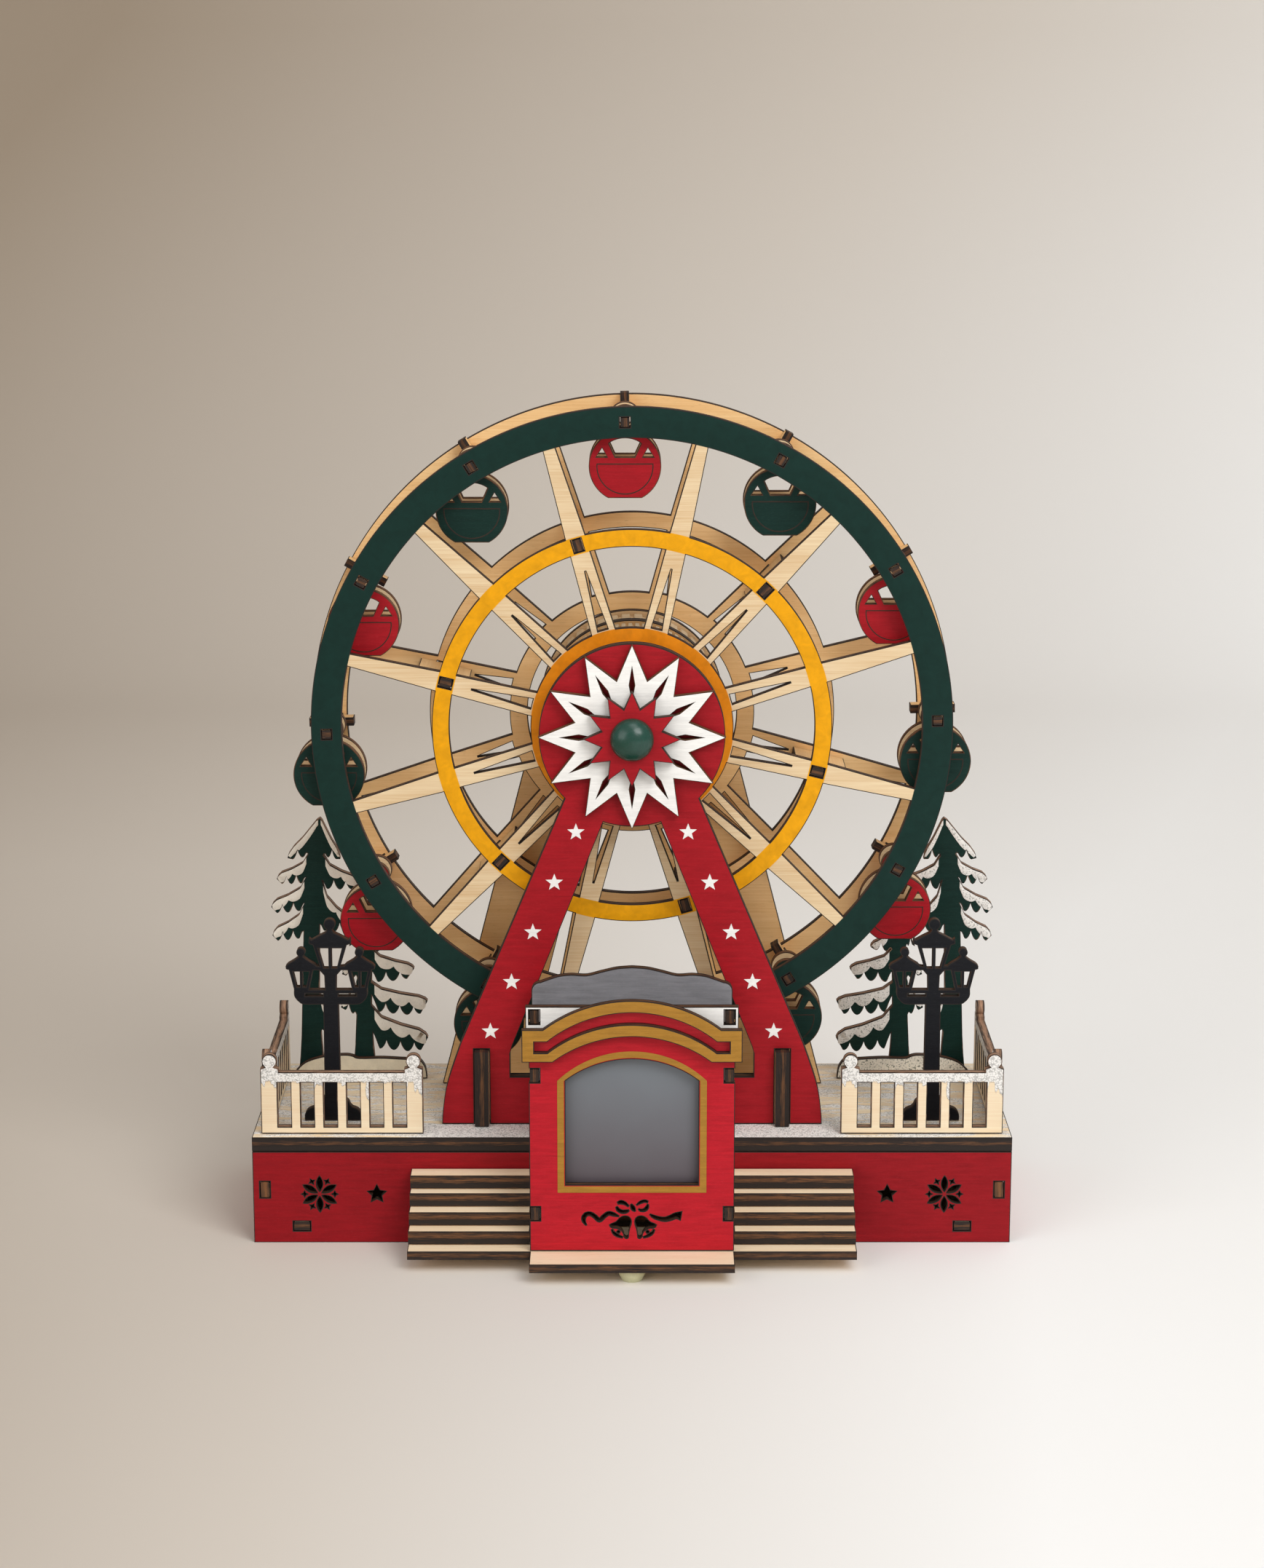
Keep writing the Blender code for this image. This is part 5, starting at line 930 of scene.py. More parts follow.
def panel_holes(sizes, half, decorated):
    """The slots of the side panels' and the bottom plate's tabs, and on the front a snowflake and a star."""
    side_x, ply = span("base_right_panel", 0)
    plate_z = span("bottom_plate", 2)[0]
    holes = []
    for sign in (-1, 1):
        holes.append(slot(sign * side_x, sizes.side_tab_height, ply, sizes.side_tab_length))
        holes.append(slot(sign * (half - sizes.plate_tab_inset), plate_z, sizes.plate_tab_length, ply))
        if decorated:
            holes += snowflake_holes(sign * (half - sizes.snowflake_inset), sizes)
            middle = (sign * (half - sizes.star_inset), sizes.snowflake_height)
            holes.append(star(sizes.star_radius, sizes.star_radius * STAR_NOTCH, 5, middle))
    return holes


class FERRIS_OT_base(Button, bpy.types.Operator):
    """Red panels of the base with their snowflakes, stars and tab slots"""
    bl_idname = "ferris.base"
    bl_label = "Base panels"

    def build(self, scene):
        sizes, gap = scene.base_sizes, scene.cut_sizes.play
        low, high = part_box("base_front_panel")
        panel = rectangle(low.x, 0.0, high.x, high.z)
        plate_z, plate_ply = span("bottom_plate", 2)
        tongue = slot(0.0, plate_z, span("stair_board_1", 0)[1], plate_ply)
        wire = circle(sizes.wire_hole, (sizes.wire_panel_x, sizes.wire_panel_z))
        cut_board("base_front_panel", Drawing(panel, panel_holes(sizes, high.x, True) + [tongue, wire]),
                  facing_front("base_front_panel"), SHADED_BASE_BOARD, "red_paint")

        hatch_low, hatch_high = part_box("battery_hatch")
        hatch = rectangle(hatch_low.x - gap, hatch_low.z - gap, hatch_high.x + gap, hatch_high.z + gap)
        switch = slot(span("switch_body", 0)[0], span("switch_body", 2)[0], sizes.switch_length,
                      sizes.switch_height)
        holes = panel_holes(sizes, high.x, False) + [hatch, switch]
        cut_board("base_back_panel", Drawing(panel, holes), facing_front("base_back_panel"),
                  SHADED_BASE_BOARD[::-1], "red_paint")
        cut_board("battery_hatch", Drawing(box_outline("battery_hatch", 0, 2)), facing_front("battery_hatch"),
                  SHADED_BASE_BOARD[::-1], "red_paint", "hatch")

        side_low, side_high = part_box("base_right_panel")
        front, back = high.y + gap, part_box("base_back_panel")[0].y - gap
        foot, head = (sizes.side_tab_height + s * sizes.side_tab_length / 2 for s in (-1, 1))
        side = np.array([(front, 0.0), (back, 0.0), (back, foot), (side_high.y, foot), (side_high.y, head),
                         (back, head), (back, side_high.z), (front, side_high.z), (front, head),
                         (side_low.y, head), (side_low.y, foot), (front, foot)])
        cut_board("base_right_panel", Drawing(side), facing_side("base_right_panel"),
                  ("deep_red", "light_cut_edge", "birch"), "red_paint")
        cut_board("base_left_panel", Drawing(side), facing_side("base_left_panel"),
                  ("birch", "light_cut_edge", "deep_red"), "red_paint")


class FERRIS_OT_plate(Button, bpy.types.Operator):
    """Bottom plate with its tabs, and its stepped tongue under stairs and booth"""
    bl_idname = "ferris.plate"
    bl_label = "Bottom plate"

    def build(self, scene):
        sizes = scene.base_sizes
        gap = scene.cut_sizes.play
        front_low, front_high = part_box("base_front_panel")
        back_low, back_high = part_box("base_back_panel")
        inner_front, inner_back = front_high.y + gap, back_low.y - gap
        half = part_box("base_right_panel")[0].x - gap
        tab0, tab1 = (front_high.x - sizes.plate_tab_inset + s * sizes.plate_tab_length / 2 for s in (-1, 1))
        booth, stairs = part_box("booth_front_panel")[1].x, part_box("stair_board_1")[1].x
        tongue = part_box("bottom_plate")[0].y
        step = front_low.y - sizes.tongue_step
        right = np.array([(booth, tongue), (booth, step), (stairs, step), (stairs, inner_front),
                          (tab0, inner_front), (tab0, front_low.y), (tab1, front_low.y), (tab1, inner_front),
                          (half, inner_front), (half, inner_back), (tab1, inner_back), (tab1, back_high.y),
                          (tab0, back_high.y), (tab0, inner_back)])
        cut_board("bottom_plate", Drawing(mirrored(right)), lying("bottom_plate"), LIT_TREAD_BOARD, "birch_ply")


class FERRIS_OT_deck(Button, bpy.types.Operator):
    """Deck with drifts of snow"""
    bl_idname = "ferris.deck"
    bl_label = "Deck"

    def build(self, scene):
        sizes = scene.base_sizes
        hole = circle(sizes.wire_hole, (sizes.wire_deck_x, sizes.wire_deck_y))
        cut_board("deck", Drawing(box_outline("deck", 0, 1), [hole]), lying("deck"),
                  ("snowed_deck", "deck_edge", "birch"), "birch_ply")


STAIR_GRAIN_STEP = 0.031            # metres, as GRAIN_STEP


class FERRIS_OT_stairs(Button, bpy.types.Operator):
    """Four stair boards that run round the booth, each reaching less far than the one below"""
    bl_idname = "ferris.stairs"
    bl_label = "Stairs"

    def build(self, scene):
        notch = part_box("booth_front_panel")[1].x + scene.cut_sizes.play
        for number in range(1, 5):
            name = "stair_board_%d" % number
            low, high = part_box(name)
            bridge = high.y - scene.base_sizes.stair_bridge
            right = np.array([(notch, bridge), (notch, low.y), (high.x, low.y), (high.x, high.y)])
            # Treads in the lighter birch: painted light
            cut_board(name, Drawing(mirrored(right)), lying(name), ("top_birch", "stair_edge", "birch"),
                      "birch_ply", shift=(STAIR_GRAIN_STEP * number, 0.0))


# Booth
LOW_BAND = 0.76                     # height of the cornice's lowest band at its ends, as a share of its width


def ornament_holes():
    """A bow over two bells between two ribbons, all cut through. The bells are each other's mirror image
    about a line a little right of the panel's middle: the silhouette, the clapper and the rim of the mouth."""
    bell = eased(mm((-7.46, 16.80), (-6.59, 17.32), (-5.22, 17.94), (-4.15, 19.13), (-2.93, 19.86),
                    (-1.46, 19.81), (-0.49, 18.87), (-0.34, 17.32), (-0.88, 15.51), (-1.22, 13.69),
                    (-1.32, 12.40), (-1.95, 12.08), (-2.59, 12.66), (-2.78, 13.69), (-3.66, 14.99),
                    (-5.02, 15.61), (-6.34, 15.77), (-7.17, 16.13)), 4)
    mouth = stroke((-6.68, 15.14, 0.2), (-6.0, 13.95, 0.42), (-4.73, 13.02, 0.4), (-3.22, 12.45, 0.2))
    clapper = circle(0.5 * MM, (-4.54 * MM, 14.37 * MM))
    bells = [bell, mouth, clapper]
    return bells + [moved(flipped(points), 0.68 * MM, 0.0) for points in bells] + [
        stroke((-4.5, 19.9, 0.15), (-6.1, 20.5, 0.55), (-7.8, 20.9, 0.62), (-9.3, 19.9, 0.62),
               (-10.9, 18.5, 0.62), (-12.3, 19.7, 0.6), (-13.8, 20.7, 0.6), (-15.2, 20.6, 0.62),
               (-16.1, 19.5, 0.62), (-16.1, 18.1, 0.45), (-15.3, 16.8, 0.12)),
        stroke((6.05, 20.5, 0.15), (7.3, 19.7, 0.5), (9.0, 19.1, 0.58), (11.0, 18.8, 0.72), (12.9, 19.3, 0.85),
               (14.4, 20.0, 0.95), (15.6, 20.1, 1.2), (16.4, 20.0, 1.5)),
        stroke((-4.73, 24.52, 0.35), (-3.66, 24.83, 0.6), (-2.29, 24.37, 0.45), (-1.22, 23.43, 0.2)),
        stroke((-5.12, 23.17, 0.25), (-4.59, 22.14, 0.5), (-3.27, 21.46, 0.55), (-1.95, 21.57, 0.5),
               (-1.12, 21.93, 0.2)),
        stroke((-0.24, 24.1, 0.15), (0.1, 23.28, 0.55), (0.49, 22.4, 0.6), (1.0, 21.72, 0.15)),
        stroke((1.61, 23.9, 0.15), (2.93, 24.83, 0.4), (4.24, 25.2, 0.4), (5.22, 24.94, 0.3)),
        stroke((5.32, 24.0, 0.15), (4.98, 22.92, 0.5), (4.15, 22.09, 0.5), (2.93, 21.98, 0.35),
               (2.29, 22.4, 0.15))]


def window_outline(sizes, grow):
    """The window's straight sides and arch, made larger all round by this much."""
    half = sizes.window_half + grow
    right = np.array([(half, sizes.window_bottom - grow), (half, sizes.window_spring)])
    return joined(right, arch(half, sizes.window_spring, sizes.window_rise + grow), flipped(right)[::-1])


def booth_panel_outline(sizes, cut):
    """Notches for the walls' tabs on both sides, shoulders and an arch on top."""
    low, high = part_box("booth_front_panel")
    ply = high.y - low.y
    half, notch = high.x, high.x - ply - 2 * cut.play
    reach = sizes.tab_length / 2 + cut.play
    right = [(half, low.z)]
    for middle in (sizes.tab_low, sizes.tab_high):
        right += [(half, middle - reach), (notch, middle - reach), (notch, middle + reach), (half, middle + reach)]
    shoulder, inner = sizes.cornice_shoulder - sizes.panel_drop, half - sizes.panel_shoulder
    right = np.array(right + [(half, shoulder), (inner, shoulder)])
    top = arch(inner, shoulder, high.z - shoulder)
    return joined(right, top[1:-1], flipped(right)[::-1])


def cornice_drawing(sizes):
    """Outer outline, and the slot between the two gold bands."""
    half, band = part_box("booth_cornice")[1].x, sizes.cornice_band
    bottom, shoulder, top = sizes.cornice_bottom, sizes.cornice_shoulder, sizes.cornice_top
    outer, lower = half - sizes.cornice_shoulder_width, half - sizes.cornice_foot_width
    outline = joined([(half, bottom), (half, shoulder)], arch(outer, shoulder, top - shoulder),
                     [(-half, shoulder), (-half, bottom)], arch(lower, bottom, top - 3 * band - bottom)[::-1])
    inner, slot_top, slot_low = half - band, shoulder - band, bottom + LOW_BAND * band
    hole = joined([(inner, slot_low), (inner, slot_top)],
                  arch(outer - sizes.band_upper_inset, slot_top, top - band - slot_top),
                  [(-inner, slot_top), (-inner, slot_low)],
                  arch(lower + sizes.band_lower_inset, slot_low, top - 2 * band - slot_low)[::-1])
    return Drawing(outline, [hole])


class FERRIS_OT_booth_front(Button, bpy.types.Operator):
    """Front panel of the booth with its arched window, painted frame and bells, and the cornice above"""
    bl_idname = "ferris.booth_front"
    bl_label = "Booth front"

    def build(self, scene):
        sizes, cut = scene.booth_sizes, scene.cut_sizes
        placed = facing_front("booth_front_panel")
        window = window_outline(sizes, 0.0)
        # The booth's panel in the lighter copy of the red: painted light
        cut_board("booth_front_panel", Drawing(booth_panel_outline(sizes, cut), [window] + ornament_holes()),
                  placed, ("bright_red", "cut_edge", "birch"), "red_paint")
        frame_paint = Workpiece()
        raised(frame_paint, window_outline(sizes, sizes.frame_width), placed, cut.relief,
               [window_outline(sizes, sizes.frame_margin)])
        frame_paint.finished("window_frame", ["gold"], "stand", "gold_paint")
        # A thin sheet of lighter red over the panel inside the cornice's slot: painted light in that recess
        cornice, band = cornice_drawing(sizes), Workpiece()
        raised(band, cornice.holes[0], placed, cut.relief)
        band.finished("cornice_band", ["band_red"], "stand", "red_paint")
        cut_board("booth_cornice", cornice, facing_front("booth_cornice"), ("gold", "cut_edge", "birch"),
                  "gold_paint")
        pane = Drawing(window_outline(sizes, sizes.pane_overlap))
        cut_board("booth_window", pane, facing_front("booth_window"), ("pane", "pane", "pane"),
                  "frosted_acrylic")


class FERRIS_OT_booth_body(Button, bpy.types.Operator):
    """Gable, side walls and back board of the booth"""
    bl_idname = "ferris.booth_body"
    bl_label = "Booth body"

    def build(self, scene):
        sizes, cut = scene.booth_sizes, scene.cut_sizes
        wall_x, ply = span("booth_right_wall", 0)
        holes = [slot(sign * wall_x, sizes.tab_gable, ply, sizes.tab_length) for sign in (-1, 1)]
        cut_board("booth_gable", Drawing(box_outline("booth_gable", 0, 2), holes), facing_front("booth_gable"),
                  WHITE_BOARD, "white_paint")
        wall = self.wall_outline(sizes, cut.play, scene.base_sizes.stair_bridge)
        for name in ("booth_left_wall", "booth_right_wall"):
            cut_board(name, Drawing(wall), facing_side(name), WHITE_BOARD, "white_paint")
        cut_board("booth_back_board", Drawing(self.back_outline(sizes)), facing_front("booth_back_board"),
                  ("grey", "cut_edge", "birch"), "grey_paint")

    @staticmethod
    def wall_outline(sizes, gap, bridge_depth):
        """Tabs through the front panel and the gable, and a step over stairs and deck."""
        face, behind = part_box("booth_front_panel")[0].y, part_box("booth_gable")[0].y
        gable_low, gable_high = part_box("booth_gable")
        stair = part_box("stair_board_4")[1]
        gable_back, rear = gable_high.y + gap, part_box("booth_back_board")[0].y - gap
        bridge = stair.y - bridge_depth - gap
        foot, over, under = (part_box(node)[1].z + gap for node in ("bottom_plate", "stair_board_4", "deck"))
        top_front, top_back = gable_high.z - sizes.wall_front_drop, sizes.shoulder - sizes.wall_back_drop
        reach = sizes.tab_length / 2
        line = [(behind, foot), (bridge, foot), (bridge, over), (stair.y, over), (stair.y, under),
                (rear, under), (rear, top_back), (gable_back, top_front), (gable_back, sizes.tab_gable + reach),
                (behind, sizes.tab_gable + reach), (behind, sizes.tab_gable - reach),
                (gable_back, sizes.tab_gable - reach), (gable_back, gable_low.z - gap),
                (behind, gable_low.z - gap)]
        for middle in (sizes.tab_high, sizes.tab_low):
            line += [(behind, middle + reach), (face, middle + reach), (face, middle - reach),
                     (behind, middle - reach)]
        return np.array(line)

    @staticmethod
    def back_outline(sizes):
        """Straight sides, round shoulders and a wave along the top."""
        low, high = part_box("booth_back_board")
        half, corner = high.x, sizes.back_corner
        wave = np.array([(0.82, 0.22), (0.72, 0.42), (0.60, 0.50), (0.45, 0.46), (0.30, 0.70), (0.15, 0.92),
                         (0.0, 1.0)]) * (half, high.z - sizes.shoulder) + (0.0, sizes.shoulder)
        bend = arc(corner, 0.0, 90.0, (half - corner, sizes.shoulder - corner))
        right = joined([(half, low.z)], bend, eased(joined(bend[-1:], wave))[1:])
        return joined(right, flipped(right[:-1])[::-1])


# Frames, drawn with the axle at height zero
HEAD_END = 43.7                     # degrees below the axle's level at which a front leg leaves the head
OPENING_HALF = 18.0                 # degrees from the middle to the front opening's upper corner
REAR_OPENING_HALF = 24.0            # the same at the back
PAINTED_NOTCH = 0.42                # of the painted stars: radius of a notch as a share of a point's


class FERRIS_OT_front_frame(Button, bpy.types.Operator):
    """Red front frame with its white stars, and the two braces through its foot"""
    bl_idname = "ferris.front_frame"
    bl_label = "Front frame"

    def build(self, scene):
        sizes, cut = scene.frame_sizes, scene.cut_sizes
        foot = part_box("front_frame")[0].z - sizes.axle_height
        leg = eased(mm((0.0, 0.0), (-0.3, 5.2), (-1.9, 14.8), (-6.7, 29.2)) + (sizes.foot_half, foot))
        head = arc(sizes.head_radius, -HEAD_END, 180.0 + HEAD_END)
        half = span("front_brace_right", 0)[1] / 2 + cut.play
        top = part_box("front_brace_right")[1].z - sizes.axle_height + cut.play
        notch = np.array([(sizes.brace_x + half, foot), (sizes.brace_x + half, top),
                          (sizes.brace_x - half, top), (sizes.brace_x - half, foot)])
        outline = joined(leg, head, flipped(leg)[::-1], flipped(notch), notch[::-1])
        side = mm((0.0, 0.0), (0.0, 8.4), (-0.8, 11.2)) + (sizes.leg_inner, sizes.sill - sizes.axle_height)
        top = arc(sizes.head_radius, -90.0 + OPENING_HALF, -90.0 - OPENING_HALF)
        opening = joined(side, top, flipped(side)[::-1])
        axle_hole = circle(scene.wheel_sizes.axle_radius + cut.play)
        placed = facing_front("front_frame", 0.0, sizes.axle_height)
        cut_board("front_frame", Drawing(outline, [opening, axle_hole]), placed, RED_BOARD, "red_paint")

        stars = Workpiece()
        middles = mm((19.0, 141.7), (26.4, 124.1), (33.8, 106.6), (41.2, 89.0), (48.6, 71.4))
        for x, z in middles:
            for sign in (-1, 1):
                painted_star = star(sizes.star_radius, sizes.star_radius * PAINTED_NOTCH, 5,
                                    (sign * x, z - sizes.axle_height))
                raised(stars, painted_star, placed, cut.relief)
        stars.finished("leg_stars", ["white"], "stand", "white_paint")
        for name in ("front_brace_left", "front_brace_right"):
            cut_board(name, Drawing(box_outline(name, 1, 2)), facing_side(name), BIRCH_BOARD, "birch_ply")


class FERRIS_OT_rear_frame(Button, bpy.types.Operator):
    """Bare birch frame behind the wheel"""
    bl_idname = "ferris.rear_frame"
    bl_label = "Rear frame"

    def build(self, scene):
        sizes, cut = scene.frame_sizes, scene.cut_sizes
        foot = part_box("rear_frame")[0].z - sizes.axle_height
        distance = math.hypot(sizes.rear_foot_half, foot)
        touch = (math.degrees(math.atan2(foot, sizes.rear_foot_half))
                 + math.degrees(math.acos(sizes.head_radius / distance)))
        outline = joined([(sizes.rear_foot_half, foot)], arc(sizes.head_radius, touch, 180.0 - touch),
                         [(-sizes.rear_foot_half, foot)])
        sill = sizes.rear_sill - sizes.axle_height
        top = arc(sizes.head_radius, -90.0 + REAR_OPENING_HALF, -90.0 - REAR_OPENING_HALF)
        opening = joined([(sizes.rear_leg_inner, sill)], top, [(-sizes.rear_leg_inner, sill)])
        axle_hole = circle(scene.wheel_sizes.axle_radius + cut.play)
        cut_board("rear_frame", Drawing(outline, [opening, axle_hole]),
                  facing_front("rear_frame", 0.0, sizes.axle_height), LIT_GOLDEN_BOARD, "birch_ply")


class FERRIS_OT_rosette(Button, bpy.types.Operator):
    """White star with its kites, red star and green knob on the front frame's head"""
    bl_idname = "ferris.rosette"
    bl_label = "Rosette"

    def build(self, scene):
        sizes, cut = scene.rosette_sizes, scene.cut_sizes
        axle_height = scene.frame_sizes.axle_height
        lean = math.degrees(sizes.kite_half / sizes.kite_widest)
        kite = polar(np.array([sizes.kite_inner, sizes.kite_widest, sizes.kite_outer, sizes.kite_widest]),
                     np.array([0.0, -lean, 0.0, lean]))
        holes = [moved(kite, 0.0, 0.0, 90.0 + 360.0 / POINTS * k) for k in range(POINTS)]
        holes.append(circle(scene.wheel_sizes.axle_radius + cut.play))
        cut_board("white_star", Drawing(star(sizes.white_tip, sizes.white_notch, POINTS), holes),
                  facing_front("white_star", 0.0, axle_height), ("white", "light_cut_edge", "birch"),
                  "white_paint")
        cut_board("red_star", Drawing(star(sizes.red_tip, sizes.red_notch, POINTS)),
                  facing_front("red_star", 0.0, axle_height), RED_BOARD, "red_paint")
        low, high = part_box("hub_knob")
        rise, turn = high.y - low.y, np.radians(np.linspace(0.0, 90.0, 24))
        dome = np.stack([sizes.knob_radius * np.cos(turn), rise * np.sin(turn)], 1)
        knob = Workpiece()
        knob.turned(joined([(0.0, 0.0)], dome), Place((0.0, high.y, axle_height), *FRONT))
        knob.finished("knob_dome", ["knob_green"], "stand", "dark_green_paint", "hub_knob")


# Wheel, drawn with the axle at height zero
def spoke_angle(k):
    return PHASE + 360.0 / POINTS * (k + 0.5)


def hanger_angle(k):
    return PHASE + 360.0 / POINTS * k


def lean_of(width, radius):
    """The angle at the axle between a spoke's middle line and its edge, at this radius."""
    return math.degrees(math.asin(width / 2 / radius))


def sector(outer, inner, outer_width, inner_width, k):
    """The opening between two spokes and two rings."""
    start, end = spoke_angle(k), spoke_angle(k + 1)
    lean_out, lean_in = lean_of(outer_width, outer), lean_of(inner_width, inner)
    return joined(arc(outer, start + lean_out, end - lean_out), arc(inner, end - lean_in, start + lean_in))


def radial_slot(radius, reach, width, degrees):
    """A slot at this radius and angle, its reach along the radius and its width across it."""
    x, y = polar(radius, degrees)
    return slot(x, y, reach, width, degrees)


def wheel_holes(sizes, rim_inner, ring_outer, ring_inner, hub_outer):
    """The openings between the spokes, outside and inside the ring, and the slot in each spoke."""
    base, half, point = hub_outer + sizes.vee_margin, sizes.vee_width / 2, sizes.vee_point
    vee = np.array([(base, -half), (sizes.vee_tip, -point), (sizes.vee_tip, point), (base, half)])
    holes = []
    for k in range(POINTS):
        holes.append(sector(rim_inner, ring_outer, sizes.spoke_rim, sizes.spoke_ring, k))
        holes.append(sector(ring_inner, hub_outer, sizes.spoke_ring, sizes.spoke_hub, k))
        holes.append(moved(vee, 0.0, 0.0, spoke_angle(k)))
    return holes


def tab_slots(sizes, hanger_reach, ring_middle, ply):
    """Slots for the hangers in a plate's rim, and for the spacers' tabs in its ring."""
    return ([radial_slot(sizes.pivot, hanger_reach, ply, hanger_angle(k)) for k in range(POINTS)]
            + [radial_slot(ring_middle, sizes.spacer_tab, ply, spoke_angle(k)) for k in range(1, POINTS, 2)])


class FERRIS_OT_front_wheel(Button, bpy.types.Operator):
    """Front plate of the wheel with its painted rings"""
    bl_idname = "ferris.front_wheel"
    bl_label = "Wheel, front plate"

    def build(self, scene):
        sizes, cut = scene.wheel_sizes, scene.cut_sizes
        ply = span("wheel_front_plate", 1)[1]
        holes = wheel_holes(sizes, sizes.rim_inner, sizes.ring_outer, sizes.ring_inner, sizes.hub_outer)
        holes.append(circle(sizes.axle_radius + cut.play))
        holes += tab_slots(sizes, sizes.neck, (sizes.ring_outer + sizes.ring_inner) / 2, ply)
        cut_board("wheel_front_plate", Drawing(circle(sizes.rim_outer), holes),
                  facing_front("wheel_front_plate", 0.0, scene.frame_sizes.axle_height),
                  ("wheel_paint", "cut_edge", "birch"), "dark_green_paint", "wheel")


REAR_GRAIN = (0.4, 0.3)             # where the rear plate's grain starts, in metres


class FERRIS_OT_rear_wheel(Button, bpy.types.Operator):
    """Rear plate of the wheel, with the hangers and spacers glued into it"""
    bl_idname = "ferris.rear_wheel"
    bl_label = "Wheel, rear plate"

    def build(self, scene):
        sizes, axle_height = scene.wheel_sizes, scene.frame_sizes.axle_height
        ply, front_y = span("wheel_front_plate", 1)[1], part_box("wheel_front_plate")[0].y
        rear_y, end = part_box("hub_drum")[1].y - ply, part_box("wheel_rear_plate")[1].y
        holes = wheel_holes(sizes, sizes.rear_rim_inner, sizes.rear_ring_outer, sizes.rear_ring_inner,
                            sizes.rear_hub_outer)
        holes.append(circle(sizes.rear_hub_inner))
        holes += tab_slots(sizes, sizes.hanger_tab, (sizes.rear_ring_outer + sizes.rear_ring_inner) / 2, ply)
        place = Place((0.0, rear_y + ply / 2, axle_height), *FRONT)
        plate = Workpiece()
        plate.board(Drawing(circle(sizes.rear_rim_outer), holes), ply, place, REAR_GRAIN)
        plate.finished("wheel_rear_board", LIT_GOLDEN_BOARD, "wheel", "birch_ply", "wheel_rear_plate")

        hangers, spacers = Workpiece(), Workpiece()
        for k in range(POINTS):
            hangers.board(Drawing(self.hanger_outline(sizes, front_y, rear_y, end)), ply,
                          along_radius(hanger_angle(k), axle_height), (GRAIN_STEP * k, 0.0))
        for k in range(1, POINTS, 2):
            spacers.board(Drawing(self.spacer_outline(sizes, front_y, rear_y, end, ply)), ply,
                          along_radius(spoke_angle(k), axle_height), (GRAIN_STEP * k, 0.02))
        hangers.finished("gondola_hangers", LIT_GOLDEN_BOARD, "wheel", "birch_ply", "wheel_rear_plate")
        spacers.finished("wheel_spacers", LIT_GOLDEN_BOARD, "wheel", "birch_ply", "wheel_rear_plate")

    @staticmethod
    def hanger_outline(sizes, front_y, rear_y, end):
        """Neck through the front rim and the gondola, wide stop against the rear rim, tab through it."""
        neck0, neck1 = sizes.pivot - sizes.neck / 2, sizes.pivot + sizes.neck / 2
        tab0, tab1 = sizes.pivot - sizes.hanger_tab / 2, sizes.pivot + sizes.hanger_tab / 2
        stop = front_y + sizes.stop_depth
        return np.array([(front_y, neck0), (stop, neck0), (stop, sizes.stop_inner), (rear_y, sizes.stop_inner),
                         (rear_y, tab0), (end, tab0), (end, tab1), (rear_y, tab1), (rear_y, sizes.stop_outer),
                         (stop, sizes.stop_outer), (stop, neck1), (front_y, neck1)])

    @staticmethod
    def spacer_outline(sizes, front_y, rear_y, end, ply):
        """Tab through the front ring, body between the two plates, tab through the rear ring."""
        half = sizes.spacer_tab / 2
        front = (sizes.ring_outer + sizes.ring_inner) / 2
        rear = (sizes.rear_ring_outer + sizes.rear_ring_inner) / 2
        start = front_y + ply
        return np.array([(front_y, front - half), (start, front - half), (start, sizes.spacer_inner),
                         (rear_y, sizes.spacer_inner), (rear_y, rear - half), (end, rear - half),
                         (end, rear + half), (rear_y, rear + half), (rear_y, sizes.spacer_outer),
                         (start, sizes.spacer_outer), (start, front + half), (front_y, front + half)])


KERF_EDGE, KERF_SLOPE = 0.55, 6.0   # the cosine at which a cut starts, and how fast it deepens from there


def kerfed(pitch, depth, radius, ply):
    """Saw cuts along the axle: the outer radius less a depth where the cosine of the angle times the number
    of cuts is high."""
    number = round(2 * math.pi * radius / pitch)

    def radius_of(turn, plain):
        wave = np.cos(turn * number)
        cut = np.clip((wave - KERF_EDGE) * KERF_SLOPE, 0.0, 1.0)
        return np.where(plain > radius - ply / 2, plain - depth * cut, plain)
    return number, radius_of


